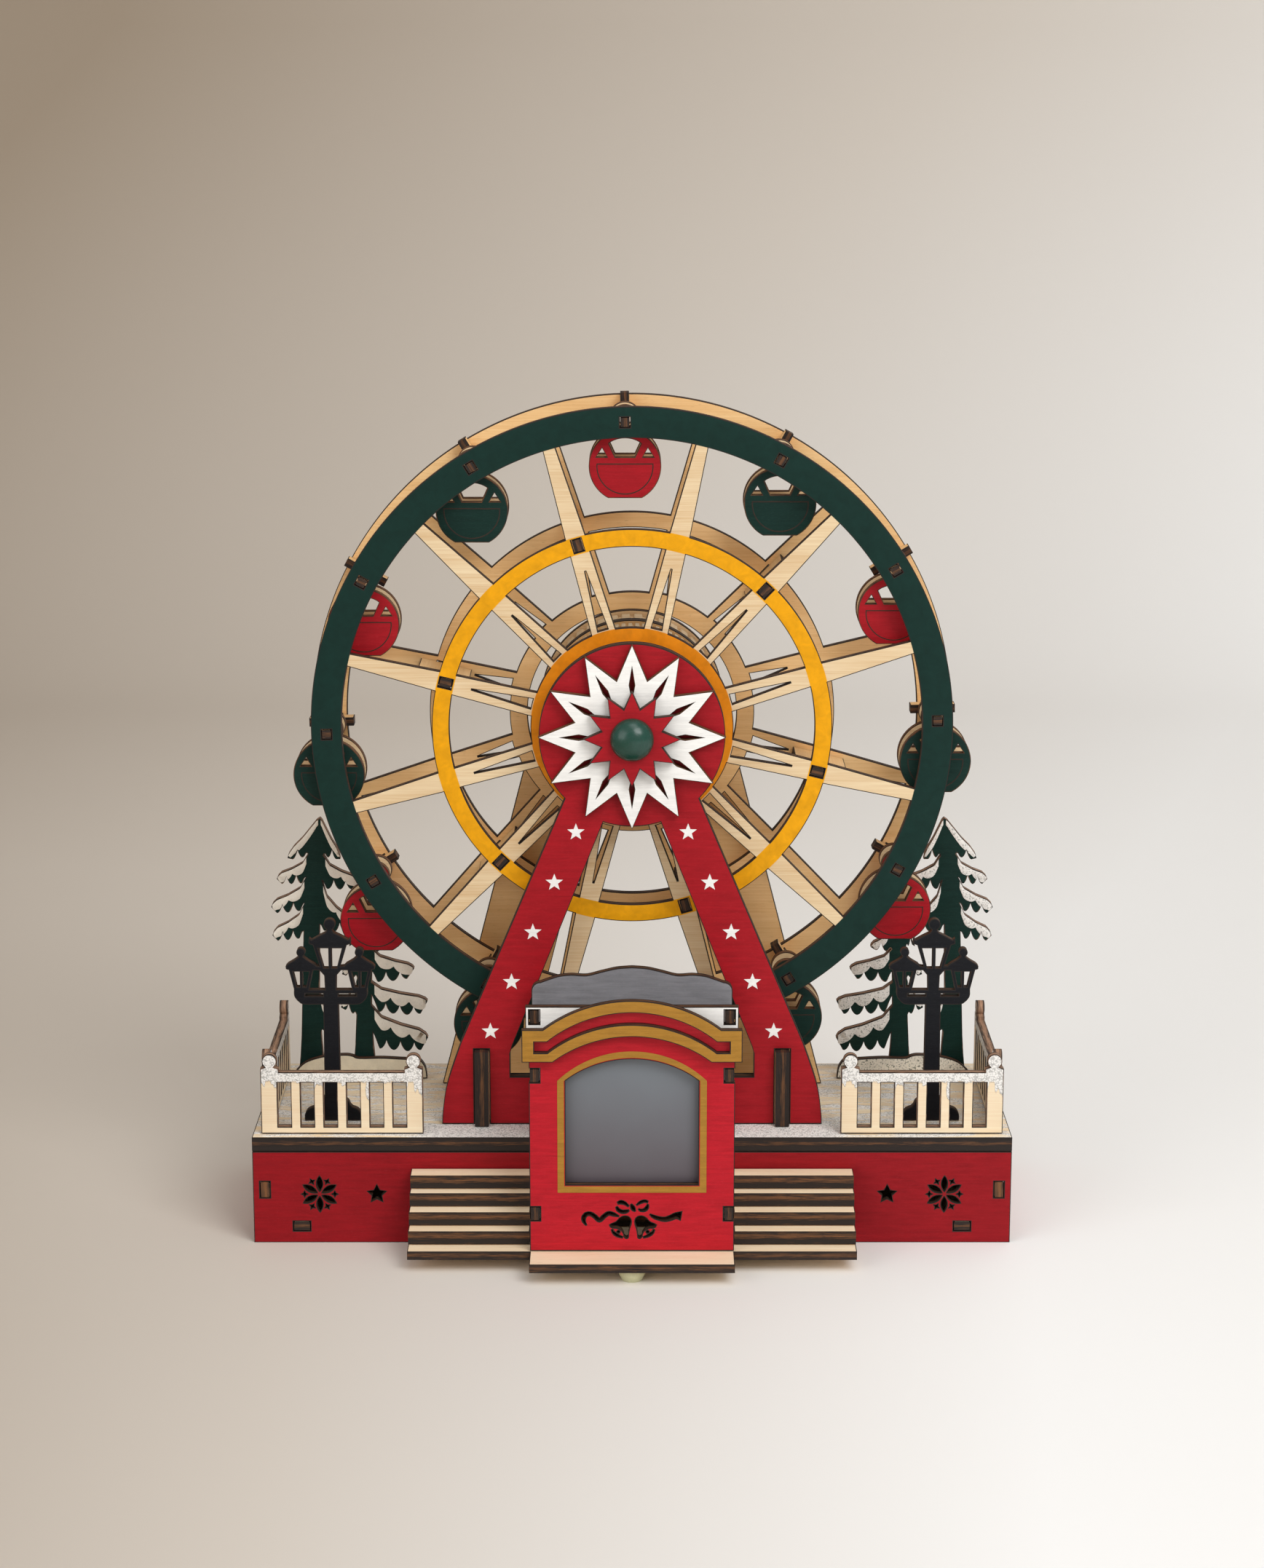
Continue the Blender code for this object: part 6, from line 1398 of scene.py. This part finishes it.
class FERRIS_OT_hub(Button, bpy.types.Operator):
    """Slotted drum between the wheel's plates, and the slotted housing behind the rear frame"""
    bl_idname = "ferris.hub"
    bl_label = "Hub and drive housing"

    def build(self, scene):
        sizes, axle_height = scene.wheel_sizes, scene.frame_sizes.axle_height
        low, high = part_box("hub_drum")
        cut = scene.cut_sizes
        outer, ply, hole = sizes.drum_radius, cut.ply, sizes.axle_radius + cut.play
        depth = high.y - low.y
        profile = np.array([(hole, ply), (outer - ply, ply), (outer - ply, depth), (outer, depth),
                            (outer, depth - ply), (outer, ply), (outer, 0.0), (hole, 0.0), (hole, ply)])
        number, radius_of = kerfed(sizes.kerf_pitch, sizes.kerf_depth, outer, ply)
        drum = Workpiece()
        place = Place((0.0, high.y, axle_height), *FRONT)
        drum.turned(profile, place, 0, number * 8, radius_of)
        drum.finished("hub_drum_wall", ["birch"], "wheel", "birch_ply", "hub_drum")

        low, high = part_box("drive_housing_wall")
        outer, depth = high.x, high.y - low.y
        number, radius_of = kerfed(sizes.housing_kerf_pitch, sizes.kerf_depth, outer, ply)
        profile = np.array([(outer - ply, 0.0), (outer - ply, depth), (outer, depth), (outer, 0.0),
                            (outer - ply, 0.0)])
        housing = Workpiece()
        housing.turned(profile, place._replace(origin=(0.0, high.y, axle_height)), 0, number * 10, radius_of)
        housing.finished("housing_wall", ["birch"], "stand", "birch_ply", "drive_housing_wall")
        low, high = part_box("drive_housing_cover")
        cut_board("drive_housing_cover", Drawing(circle(high.x)),
                  facing_front("drive_housing_cover", 0.0, axle_height), BIRCH_BOARD, "birch_ply")


# Gondolas, drawn with the pivot at height zero
def gondola_drawing(sizes):
    """A disc with a flat bottom, joined to the round lobe that hangs on the neck, and its windows."""
    along = (sizes.drop ** 2 + sizes.lobe ** 2 - sizes.radius ** 2) / (2 * sizes.drop)
    across = math.sqrt(sizes.lobe ** 2 - along ** 2)
    lobe_start = math.degrees(math.atan2(-along, across))
    disc_start = math.degrees(math.atan2(sizes.drop - along, -across))
    flat = math.degrees(math.asin(sizes.flat / sizes.radius))
    lobe = arc(sizes.lobe, lobe_start, 180.0 - lobe_start)
    left = arc(sizes.radius, disc_start, 180.0 + flat, (0.0, -sizes.drop))
    outline = joined(lobe, left[1:], flipped(left[1:])[::-1])
    side = mm((3.3, 3.0), (5.4, 7.6))
    corner = math.degrees(math.atan2(*side[1, ::-1]))
    top = arc(sizes.radius - sizes.window_rim, corner, 180.0 - corner)[1:-1]
    window = joined(flipped(side[:1]), side, top, flipped(side[1:]))
    triangle = mm((-9.7, 3.0), (-6.0, 3.0), (-7.7, 6.1))
    holes = [moved(points, 0.0, -sizes.drop) for points in (window, triangle, flipped(triangle))]
    return Drawing(outline, holes + [circle(sizes.hole)])


def gondola_score(sizes):
    """The half moon scored into a board below its windows: a closed line and the same line further in."""
    def half_moon(radius, level):
        lean = math.degrees(math.asin(level / radius))
        return moved(arc(radius, 180.0 - lean, 360.0 + lean), 0.0, -sizes.drop)
    reach, level = sizes.radius - sizes.score_inset, sizes.score_drop
    return Drawing(half_moon(reach, level), [half_moon(reach - sizes.score, level - sizes.score)])


class FERRIS_OT_gondolas(Button, bpy.types.Operator):
    """Twelve gondolas, red and green in turn, each two boards with a bench between them"""
    bl_idname = "ferris.gondolas"
    bl_label = "Gondolas"

    def build(self, scene):
        sizes, wheel, axle_height = scene.gondola_sizes, scene.wheel_sizes, scene.frame_sizes.axle_height
        ply, front_y = scene.cut_sizes.ply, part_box("wheel_front_plate")[0].y
        for k in range(POINTS):
            x, z = polar(wheel.pivot, hanger_angle(k), (0.0, axle_height))
            name = "gondola_%02d" % (k + 1)
            cabin = Workpiece()
            for step in (0, 1):
                middle = front_y + sizes.front_gap + step * sizes.spacing + ply / 2
                place = Place((x, middle, z), *FRONT)
                sides = (0, 1, 2) if step == 0 else (2, 1, 0)
                cabin.board(gondola_drawing(sizes), ply, place, (GRAIN_STEP * k, 0.03 * step), sides)
                if step == 0:
                    cabin.board(gondola_score(sizes), sizes.score_height, lifted(place, ply / 2),
                                finishes=(3, 3, 3))
            bench = rectangle(-sizes.bench_half, front_y + sizes.front_gap + ply, sizes.bench_half,
                              front_y + sizes.front_gap + sizes.spacing)
            place = Place((x, 0.0, z - sizes.bench_drop), *TOP)
            cabin.board(Drawing(bench), ply, place, (GRAIN_STEP * k, 0.0), (2, 1, 2))
            paint, slot_name = ("red", "red_paint") if k % 2 else ("green", "dark_green_paint")
            kinds = (paint, "light_cut_edge", "birch", "cut_edge")
            cabin.finished(name + "_cabin", kinds, "cabin_%02d" % (k + 1), slot_name, name)


# Garden
def fence_drawing(sizes, reach, balusters, tongue, top):
    """A fence from x = 0 to its reach, standing on y = 0: posts with ball tops, rail, sill, balusters."""
    shoulder = sizes.post / 2 + sizes.flare
    right = np.array([(shoulder, sizes.rail_high), (shoulder, sizes.rail_high + 2 * sizes.flare),
                      (sizes.ball * 0.6, sizes.rail_high + 3 * sizes.flare)])
    head = joined(right, arc(sizes.ball, -40.0, 220.0, (0.0, top - sizes.ball)), flipped(right)[::-1])
    ear = sizes.rail_high - sizes.flare
    outline = [[(0.0, 0.0), (reach, 0.0), (reach, ear)], moved(head, reach - shoulder, 0.0),
               moved(head, shoulder, 0.0), [(0.0, ear)]]
    if tongue:
        outline.append([(0.0, sizes.rail_low), (-tongue, sizes.rail_low), (-tongue, sizes.sill),
                        (0.0, sizes.sill)])
    start = sizes.post + sizes.flare
    pitch = (reach - 2 * start + sizes.baluster) / (balusters + 1)
    holes = [rectangle(start + pitch * i, sizes.sill, start + pitch * (i + 1) - sizes.baluster, sizes.rail_low)
             for i in range(balusters + 1)]
    return Drawing(joined(*outline), holes)


class FERRIS_OT_fences(Button, bpy.types.Operator):
    """A fence along the front and one along the side, on the left and on the right, with snow on them"""
    bl_idname = "ferris.fences"
    bl_label = "Fences"

    def build(self, scene):
        sizes = scene.garden_sizes
        ply, gap = scene.cut_sizes.ply, scene.cut_sizes.play
        kinds = ("snowed_fence", "snowed_edge", "snowed_fence")
        for name, sign in (("fence_left", -1), ("fence_right", 1)):
            low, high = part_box(name)
            fence = Workpiece()
            top = high.z - low.z
            front = fence_drawing(sizes, high.x - low.x, sizes.front_balusters, 0.0, top)
            place = Place((low.x, low.y + ply / 2, low.z), *FRONT)
            fence.board(front, ply, place)
            start = low.y + ply + gap
            side = fence_drawing(sizes, high.y - start, sizes.side_balusters, gap, top)
            edge = low.x if sign < 0 else high.x
            place = Place((edge - sign * (ply / 2 + sizes.side_inset), start, low.z), *SIDE)
            fence.board(side, ply, place)
            fence.finished(name + "_boards", kinds, "stand", "birch_ply", name)


def lamp_drawing():
    """A street lamp on y = 0: stepped foot, post, double cross arm, two side lanterns and a taller one."""
    foot = eased(mm((9.8, 0.0), (9.7, 2.2), (8.6, 3.8), (6.8, 4.6)), 4)
    step = eased(mm((6.0, 5.4), (5.4, 6.8), (4.4, 7.6), (3.0, 8.4), (2.8, 9.4)), 4)
    bracket = eased(mm((2.55, 41.7), (9.0, 41.7), (11.0, 42.6), (12.5, 44.6), (12.6, 47.2)), 5)[4:]
    side = joined(mm((14.2, 54.0), (15.2, 54.3), (15.3, 55.3), (14.6, 56.1), (12.4, 57.4), (10.85, 58.6)),
                  arc(1.5 * MM, -55.0, 235.0, (10.0 * MM, 60.2 * MM)),
                  mm((9.15, 58.6), (7.6, 57.4), (5.4, 56.1), (4.8, 55.4), (3.5, 55.2)))
    middle = joined(mm((5.8, 62.8), (7.2, 63.3), (7.1, 65.2), (6.3, 64.6), (3.8, 66.0), (1.6, 67.1), (1.0, 67.9)),
                    arc(2.0 * MM, -60.0, 90.0, (0.0, 70.1 * MM))[:-1])
    right = joined(foot, step, mm((2.6, 41.7)), bracket, side, middle)
    outline = joined(right, [(0.0, 72.1 * MM)], flipped(right)[::-1])
    gap = mm((1.95, 46.9), (7.4, 46.9), (5.9, 53.9), (3.7, 53.9), (2.1, 52.0))
    bar = rectangle(2.6 * MM, 44.6 * MM, 8.8 * MM, 45.6 * MM)
    tall_pane = mm((0.55, 54.6), (2.2, 54.6), (4.1, 61.7), (0.55, 61.7))
    pane = mm((0.5, 47.9), (1.6, 47.9), (2.8, 53.4), (0.5, 53.4))
    panes = [moved(points, 10.0 * MM, 0.0) for points in (pane, flipped(pane))]
    holes = [gap, bar, tall_pane] + panes
    return Drawing(outline, holes + [flipped(points) for points in holes])


class FERRIS_OT_lamps(Button, bpy.types.Operator):
    """Two black street lamps"""
    bl_idname = "ferris.lamps"
    bl_label = "Street lamps"

    def build(self, scene):
        for name in ("street_lamp_left", "street_lamp_right"):
            low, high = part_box(name)
            cut_board(name, lamp_drawing(), facing_front(name, (low.x + high.x) / 2, low.z),
                      ("black", "cut_edge", "black"), "black_paint")


# Tiers of branches from the top down: height of the root, reach of the tip from the foot's middle, height of
# the tip, and height where the branch ends at the trunk, as shares of the tree's height
TALL_OUTER = ((1.000, 0.075, 0.847, 0.863), (0.863, 0.117, 0.767, 0.773), (0.773, 0.140, 0.658, 0.674),
              (0.674, 0.138, 0.548, 0.564))
TALL_INNER = ((1.000, 0.122, 0.843, 0.857), (0.857, 0.185, 0.755, 0.762), (0.762, 0.152, 0.585, 0.591),
              (0.330, 0.094, 0.200, 0.170))
SHORT_INNER = ((1.000, 0.130, 0.810, 0.800), (0.800, 0.160, 0.696, 0.685), (0.685, 0.266, 0.580, 0.565),
               (0.507, 0.333, 0.404, 0.436), (0.378, 0.333, 0.206, 0.237))
SHORT_OUTER = ((1.000, 0.070, 0.700, 0.690), (0.690, 0.110, 0.550, 0.530), (0.530, 0.118, 0.370, 0.330))
# How a branch's upper edge falls: shares of its length, and of the height from its tip to its root
BRANCH_TOP = ((0.0, 0.17, 0.52, 0.84, 0.96, 1.0), (1.0, 0.65, 0.41, 0.26, 0.12, 0.0))
CROWN_TOP = ((0.0, 0.1, 0.53, 0.8, 0.957, 1.0), (1.0, 0.95, 0.52, 0.3, 0.12, 0.0))
BRANCH_HANG = 0.4                   # how much lower fingers hang for each step of a branch's length
Tree = namedtuple("Tree", "height half lean flare")


def trunk_edge(tree, sign, share):
    """The trunk's edge at shares of the tree's height: the lean times the cube of the share, plus or minus
    half a width that flares towards the foot by the sixth power of what is left."""
    share = np.atleast_1d(share)
    x = tree.lean * share ** 3 + sign * (tree.half + tree.flare * (1.0 - share) ** 6)
    return np.stack([x, share * tree.height], 1)


def branch(start, tip, end, top, sizes):
    """A branch from its lower root along its fingers to its tip and back along its upper edge, and its patch
    of snow. The fingers hang below the line from root to tip, with notches where the sine of their number
    times the way is zero. The snow lies under the upper edge, as deep as a constant plus such a sine."""
    length = abs(tip[0] - end[0])
    fingers = 2 + int(length / sizes.finger_pitch)
    hang = BRANCH_HANG * (length - sizes.branch_short)

    def lower(t):
        notch = 1.0 - np.abs(np.sin(np.pi * fingers * t)) ** 0.7
        fade = np.minimum(1.0, t / 0.12) * np.sqrt(1.0 - t ** 8)
        return end[1] + (tip[1] - end[1]) * t - fade * (hang - sizes.finger * notch)

    def upper(t):
        return tip[1] + (start[1] - tip[1]) * np.interp(t, *top)

    t = np.arange(1, 12 * fingers - 5) / (12.0 * fingers)
    fringe = np.stack([end[0] + (tip[0] - end[0]) * t, lower(t)], 1)
    corners = np.array(top[0])
    ridge = np.stack([start[0] + (tip[0] - start[0]) * corners, upper(corners)], 1)
    t = np.linspace(0.05, 0.965, 9 * fingers)
    x, high = start[0] + (tip[0] - start[0]) * t, upper(t) - sizes.snow_rim
    lobes = np.abs(np.sin(np.pi * (fingers - 1) * t)) ** 0.6
    deep = high - (sizes.snow_depth + 0.2 * length) * (0.2 + 0.34 * lobes)
    bottom = lower(np.clip((x - end[0]) / (tip[0] - end[0]), 0.0, 1.0)) + sizes.snow_rim
    low = np.minimum(np.maximum(deep, bottom), high - 0.2 * MM)
    snow = np.concatenate([np.stack([x, high], 1), np.stack([x, low], 1)[::-1]])
    return joined(end, fringe, ridge[::-1]), snow


def tree_side(tree, tiers, sign, sizes):
    """One side of a fir from its foot up, without its top, and the patches of snow on its branches."""
    edge, snow = [trunk_edge(tree, sign, (0.0, 0.08, 0.16))], []
    for root, reach, tip, foot in reversed(tiers):
        crown = root == 1.0
        start = (tree.lean, tree.height) if crown else trunk_edge(tree, sign, root)[0]
        end, tip_at = trunk_edge(tree, sign, foot)[0], (sign * reach * tree.height, tip * tree.height)
        line, patch = branch(start, tip_at, end, CROWN_TOP if crown else BRANCH_TOP, sizes)
        edge.append(line)
        snow.append(patch)
    return joined(*edge)[:-1], snow


def grove_drawing(sizes):
    """A tall fir and a short one cut from one board with a common foot. The short one stands to the right."""
    tall = Tree(sizes.tall_height, sizes.tall_half, sizes.tall_lean, sizes.trunk_flare)
    short = Tree(sizes.short_height, sizes.short_half, sizes.short_lean, sizes.trunk_flare)
    tall_left, snow_a = tree_side(tall, TALL_OUTER, -1, sizes)
    tall_right, snow_b = tree_side(tall, TALL_INNER, 1, sizes)
    short_left, snow_c = tree_side(short, SHORT_OUTER, -1, sizes)
    short_right, snow_d = tree_side(short, SHORT_INNER, 1, sizes)
    short_left[0, 1] = tall_right[0, 1] = sizes.foot
    short_line = joined(short_right, [(short.lean, short.height)], short_left[::-1])
    tall_line = joined(tall_right, [(tall.lean, tall.height)], tall_left[::-1])
    snow = snow_a + snow_b + [moved(patch, sizes.tree_spacing, 0.0) for patch in snow_c + snow_d]
    return joined(moved(short_line, sizes.tree_spacing, 0.0), tall_line), snow


class FERRIS_OT_trees(Button, bpy.types.Operator):
    """A tall and a short fir on each side, with snow on every branch"""
    bl_idname = "ferris.trees"
    bl_label = "Trees"

    def build(self, scene):
        sizes, cut = scene.garden_sizes, scene.cut_sizes
        outline, patches = grove_drawing(sizes)
        for side, sign in (("left", -1), ("right", 1)):
            name = "trees_" + side
            tall_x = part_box("fence_right")[1].x - sizes.tree_inset
            turned = (lambda points: points) if sign < 0 else flipped
            place, ply = facing_front(name, sign * tall_x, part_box(name)[0].z)
            cut_board(name, Drawing(turned(outline)), (place, ply), ("green", "snowed_edge", "green"),
                      "dark_green_paint")
            snow = Workpiece()
            for patch in patches:
                raised(snow, turned(patch), (place, ply), cut.relief * 2)
            # The trees' snow in its lighter copy: painted light
            snow.finished("snow_on_" + name, [side + "_tree_snow"], "stand", "white_paint")


class FERRIS_OT_snow_banks(Button, bpy.types.Operator):
    """A low bank of snow in front of each pair of trees"""
    bl_idname = "ferris.snow_banks"
    bl_label = "Snow banks"

    def build(self, scene):
        rows = np.array([(1.0, 0.0), (0.97, 0.5), (0.86, 0.86), (0.73, 0.82), (0.35, 0.87), (0.0, 0.86),
                         (-0.1, 0.96), (-0.22, 1.0), (-0.52, 0.93), (-0.78, 0.7), (-0.93, 0.32), (-1.0, 0.0)])
        for side, sign in (("left", -1), ("right", 1)):
            name = "snow_mound_" + side
            low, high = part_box(name)
            line = eased(rows * ((high.x - low.x) / 2, high.z - low.z))
            line = line if sign < 0 else flipped(line)
            # The bank in the darker copy of the snow: painted shade
            cut_board(name, Drawing(line), facing_front(name, (low.x + high.x) / 2, low.z),
                      (side + "_bank_snow", "cut_edge", "birch"), "white_paint")


class FERRIS_OT_inner_works(Button, bpy.types.Operator):
    """Finishes of the axle, the power and light pieces and the foot, whose solids stay"""
    bl_idname = "ferris.inner_works"
    bl_label = "Inner works"

    def build(self, scene):
        kinds = {"axle": "steel", "battery_box": "plastic", "switch_body": "plastic", "switch_slider": "plastic",
                 "gear_motor": "plastic", "battery_cell_1": "cell", "battery_cell_2": "cell",
                 "light_board": "circuit", "wiring_loom": "wire", "booth_foot": "rubber"}
        for node, kind in kinds.items():
            for material_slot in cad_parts[node].material_slots:
                material_slot.material = finish(kind)


WORLD_COLOUR, WORLD_STRENGTH = (1.0, 0.985, 0.965, 1.0), 0.43
LAMPS = (("window_light", (1.0, -1.5, 1.7), 1.2, 28.0),     # place and size in metres, power in watts
         ("fill_light", (-1.6, -1.5, 1.0), 1.6, 14.0),
         ("top_light", (0.2, -0.5, 2.2), 1.0, 7.0))
LAMP_TARGET = (0.0, 0.0, 0.14)
# The floor's painted light and shade, each row from a low to a high place and from the first number to the last:
# what a metre to the right adds, by y; the brightness in the middle, by y; and the painted shade up the backdrop,
# by z
FLOOR_LIGHT_SLOPES = ((-0.4, 0.5, 2.1, 0.78), (0.5, 1.4, 0.36, 0.0))
FLOOR_LIGHT_MIDDLE = (0.4, 0.92, 0.72, 0.61)
BACKDROP_PAINTED_SHADE = (0.0, 0.41, 0.0, -0.33)


class FERRIS_OT_studio(Button, bpy.types.Operator):
    """Pale floor and backdrop with painted light and shade, soft lights and the camera"""
    bl_idname = "ferris.studio"
    bl_label = "Studio"

    def build(self, scene):
        self.sweep(scene, scene.studio_sizes)
        self.lights(scene)
        self.camera(scene, scene.studio_sizes)
        scene.view_settings.view_transform = "Standard"

    @staticmethod
    def sweep(scene, sizes):
        """Floor and backdrop in one sheet: a line forwards, a quarter circle and a line up, carried
        sideways. Its colour holds painted light and shade: brighter in proportion to x, most in front, and darker
        in proportion to z."""
        turn = np.linspace(0.0, np.pi / 2, 24)
        bend = np.stack([sizes.floor_back + sizes.bend * np.sin(turn), sizes.bend * (1 - np.cos(turn))], 1)
        line = joined([(-sizes.floor_half, 0.0)], bend, [(sizes.floor_back + sizes.bend, sizes.wall)])
        x = np.linspace(-sizes.floor_half, sizes.floor_half, 3)
        points = np.stack(np.broadcast_arrays(x[None], line[:, :1], line[:, 1:]), -1)
        sheet = Workpiece()
        sheet.grid(points, points[..., :2], 0, turned=True)
        mesh = bpy.data.meshes.new("floor")
        mesh.from_pydata(np.concatenate(sheet.points).tolist(), [], sheet.faces)
        mesh.shade_smooth()
        floor = bpy.data.objects.new("floor", mesh)
        recipe = Recipe("floor")
        place = recipe.node("ShaderNodeTexCoord").outputs["Object"]
        mottle = recipe.noise(recipe.stretched(0.4, 0.4, place), 2.0)
        colours = scene.ferris_colours
        x, y, z = recipe.axes(place)
        # Painted light and shade: brighter to the right and in front, darker up the backdrop
        slope = recipe.math("ADD", *(recipe.between(y, *row) for row in FLOOR_LIGHT_SLOPES))
        level = recipe.math("MULTIPLY_ADD", x, slope, recipe.between(y, *FLOOR_LIGHT_MIDDLE))
        level = recipe.math("ADD", level, recipe.between(z, *BACKDROP_PAINTED_SHADE))
        level = recipe.math("MULTIPLY_ADD", mottle, 0.03, level)
        base = recipe.mix(recipe.between(level, 0.0, 0.5), seen(colours.floor_painted_shade), seen(colours.floor))
        base = recipe.mix(recipe.between(level, 0.5, 1.0), base, seen(colours.floor_painted_light))
        mesh.materials.append(recipe.done(base, 0.8))
        scene.collection.objects.link(floor)

    @staticmethod
    def lights(scene):
        world = bpy.data.worlds.new("studio")
        scene.world = world
        world.use_nodes = True
        background = world.node_tree.nodes["Background"]
        background.inputs["Color"].default_value = WORLD_COLOUR
        background.inputs["Strength"].default_value = WORLD_STRENGTH
        for name, place, size, power in LAMPS:
            data = bpy.data.lights.new(name, "AREA")
            data.energy, data.size = power, size
            lamp = bpy.data.objects.new(name, data)
            aim = Vector(LAMP_TARGET) - Vector(place)
            lamp.matrix_world = Matrix.Translation(place) @ aim.to_track_quat("-Z", "Y").to_matrix().to_4x4()
            scene.collection.objects.link(lamp)

    @staticmethod
    def camera(scene, sizes):
        data = bpy.data.cameras.new("camera")
        data.sensor_fit, data.sensor_height, data.lens = "VERTICAL", 36.0, sizes.lens
        data.clip_start, data.clip_end = 0.05, 20.0
        camera = bpy.data.objects.new("camera", data)
        camera.location = (0.0, -sizes.camera_distance, sizes.camera_height)
        camera.rotation_euler = (math.pi / 2 - sizes.camera_pitch, 0.0, 0.0)
        scene.collection.objects.link(camera)
        scene.camera = camera


GROUPS = (("cut_sizes", CutSizes), ("base_sizes", BaseSizes), ("booth_sizes", BoothSizes),
          ("frame_sizes", FrameSizes), ("rosette_sizes", RosetteSizes), ("wheel_sizes", WheelSizes),
          ("gondola_sizes", GondolaSizes), ("garden_sizes", GardenSizes), ("ferris_colours", Colours),
          ("studio_sizes", StudioSizes))
OPERATORS = (FERRIS_OT_studio, FERRIS_OT_base, FERRIS_OT_plate, FERRIS_OT_deck, FERRIS_OT_stairs,
             FERRIS_OT_booth_front, FERRIS_OT_booth_body, FERRIS_OT_front_frame, FERRIS_OT_rear_frame,
             FERRIS_OT_rosette, FERRIS_OT_front_wheel, FERRIS_OT_rear_wheel, FERRIS_OT_hub,
             FERRIS_OT_gondolas, FERRIS_OT_fences, FERRIS_OT_lamps, FERRIS_OT_trees, FERRIS_OT_snow_banks,
             FERRIS_OT_inner_works)


class FERRIS_PT_panel(bpy.types.Panel):
    """Buttons for each piece, and the sizes and colours"""
    bl_idname = "FERRIS_PT_panel"
    bl_label = "Wooden ferris wheel"
    bl_space_type = "VIEW_3D"
    bl_region_type = "UI"
    bl_category = "Ferris wheel"

    def draw(self, context):
        for button in OPERATORS:
            self.layout.operator(button.bl_idname)
        for name, group in GROUPS:
            box = self.layout.box()
            for size in group.__annotations__:
                box.prop(getattr(context.scene, name), size, text=size.replace("_", " ").capitalize())


def register():
    for name, group in GROUPS:
        bpy.utils.register_class(group)
        setattr(bpy.types.Scene, name, bpy.props.PointerProperty(type=group))
    for operator in (*OPERATORS, FERRIS_PT_panel):
        bpy.utils.register_class(operator)


def unregister():
    for operator in reversed((*OPERATORS, FERRIS_PT_panel)):
        bpy.utils.unregister_class(operator)
    for name, group in reversed(GROUPS):
        delattr(bpy.types.Scene, name)
        bpy.utils.unregister_class(group)


def main():
    register()
    for operator in OPERATORS:
        category, name = operator.bl_idname.split(".")
        getattr(getattr(bpy.ops, category), name)()


if __name__ == "__main__":
    main()
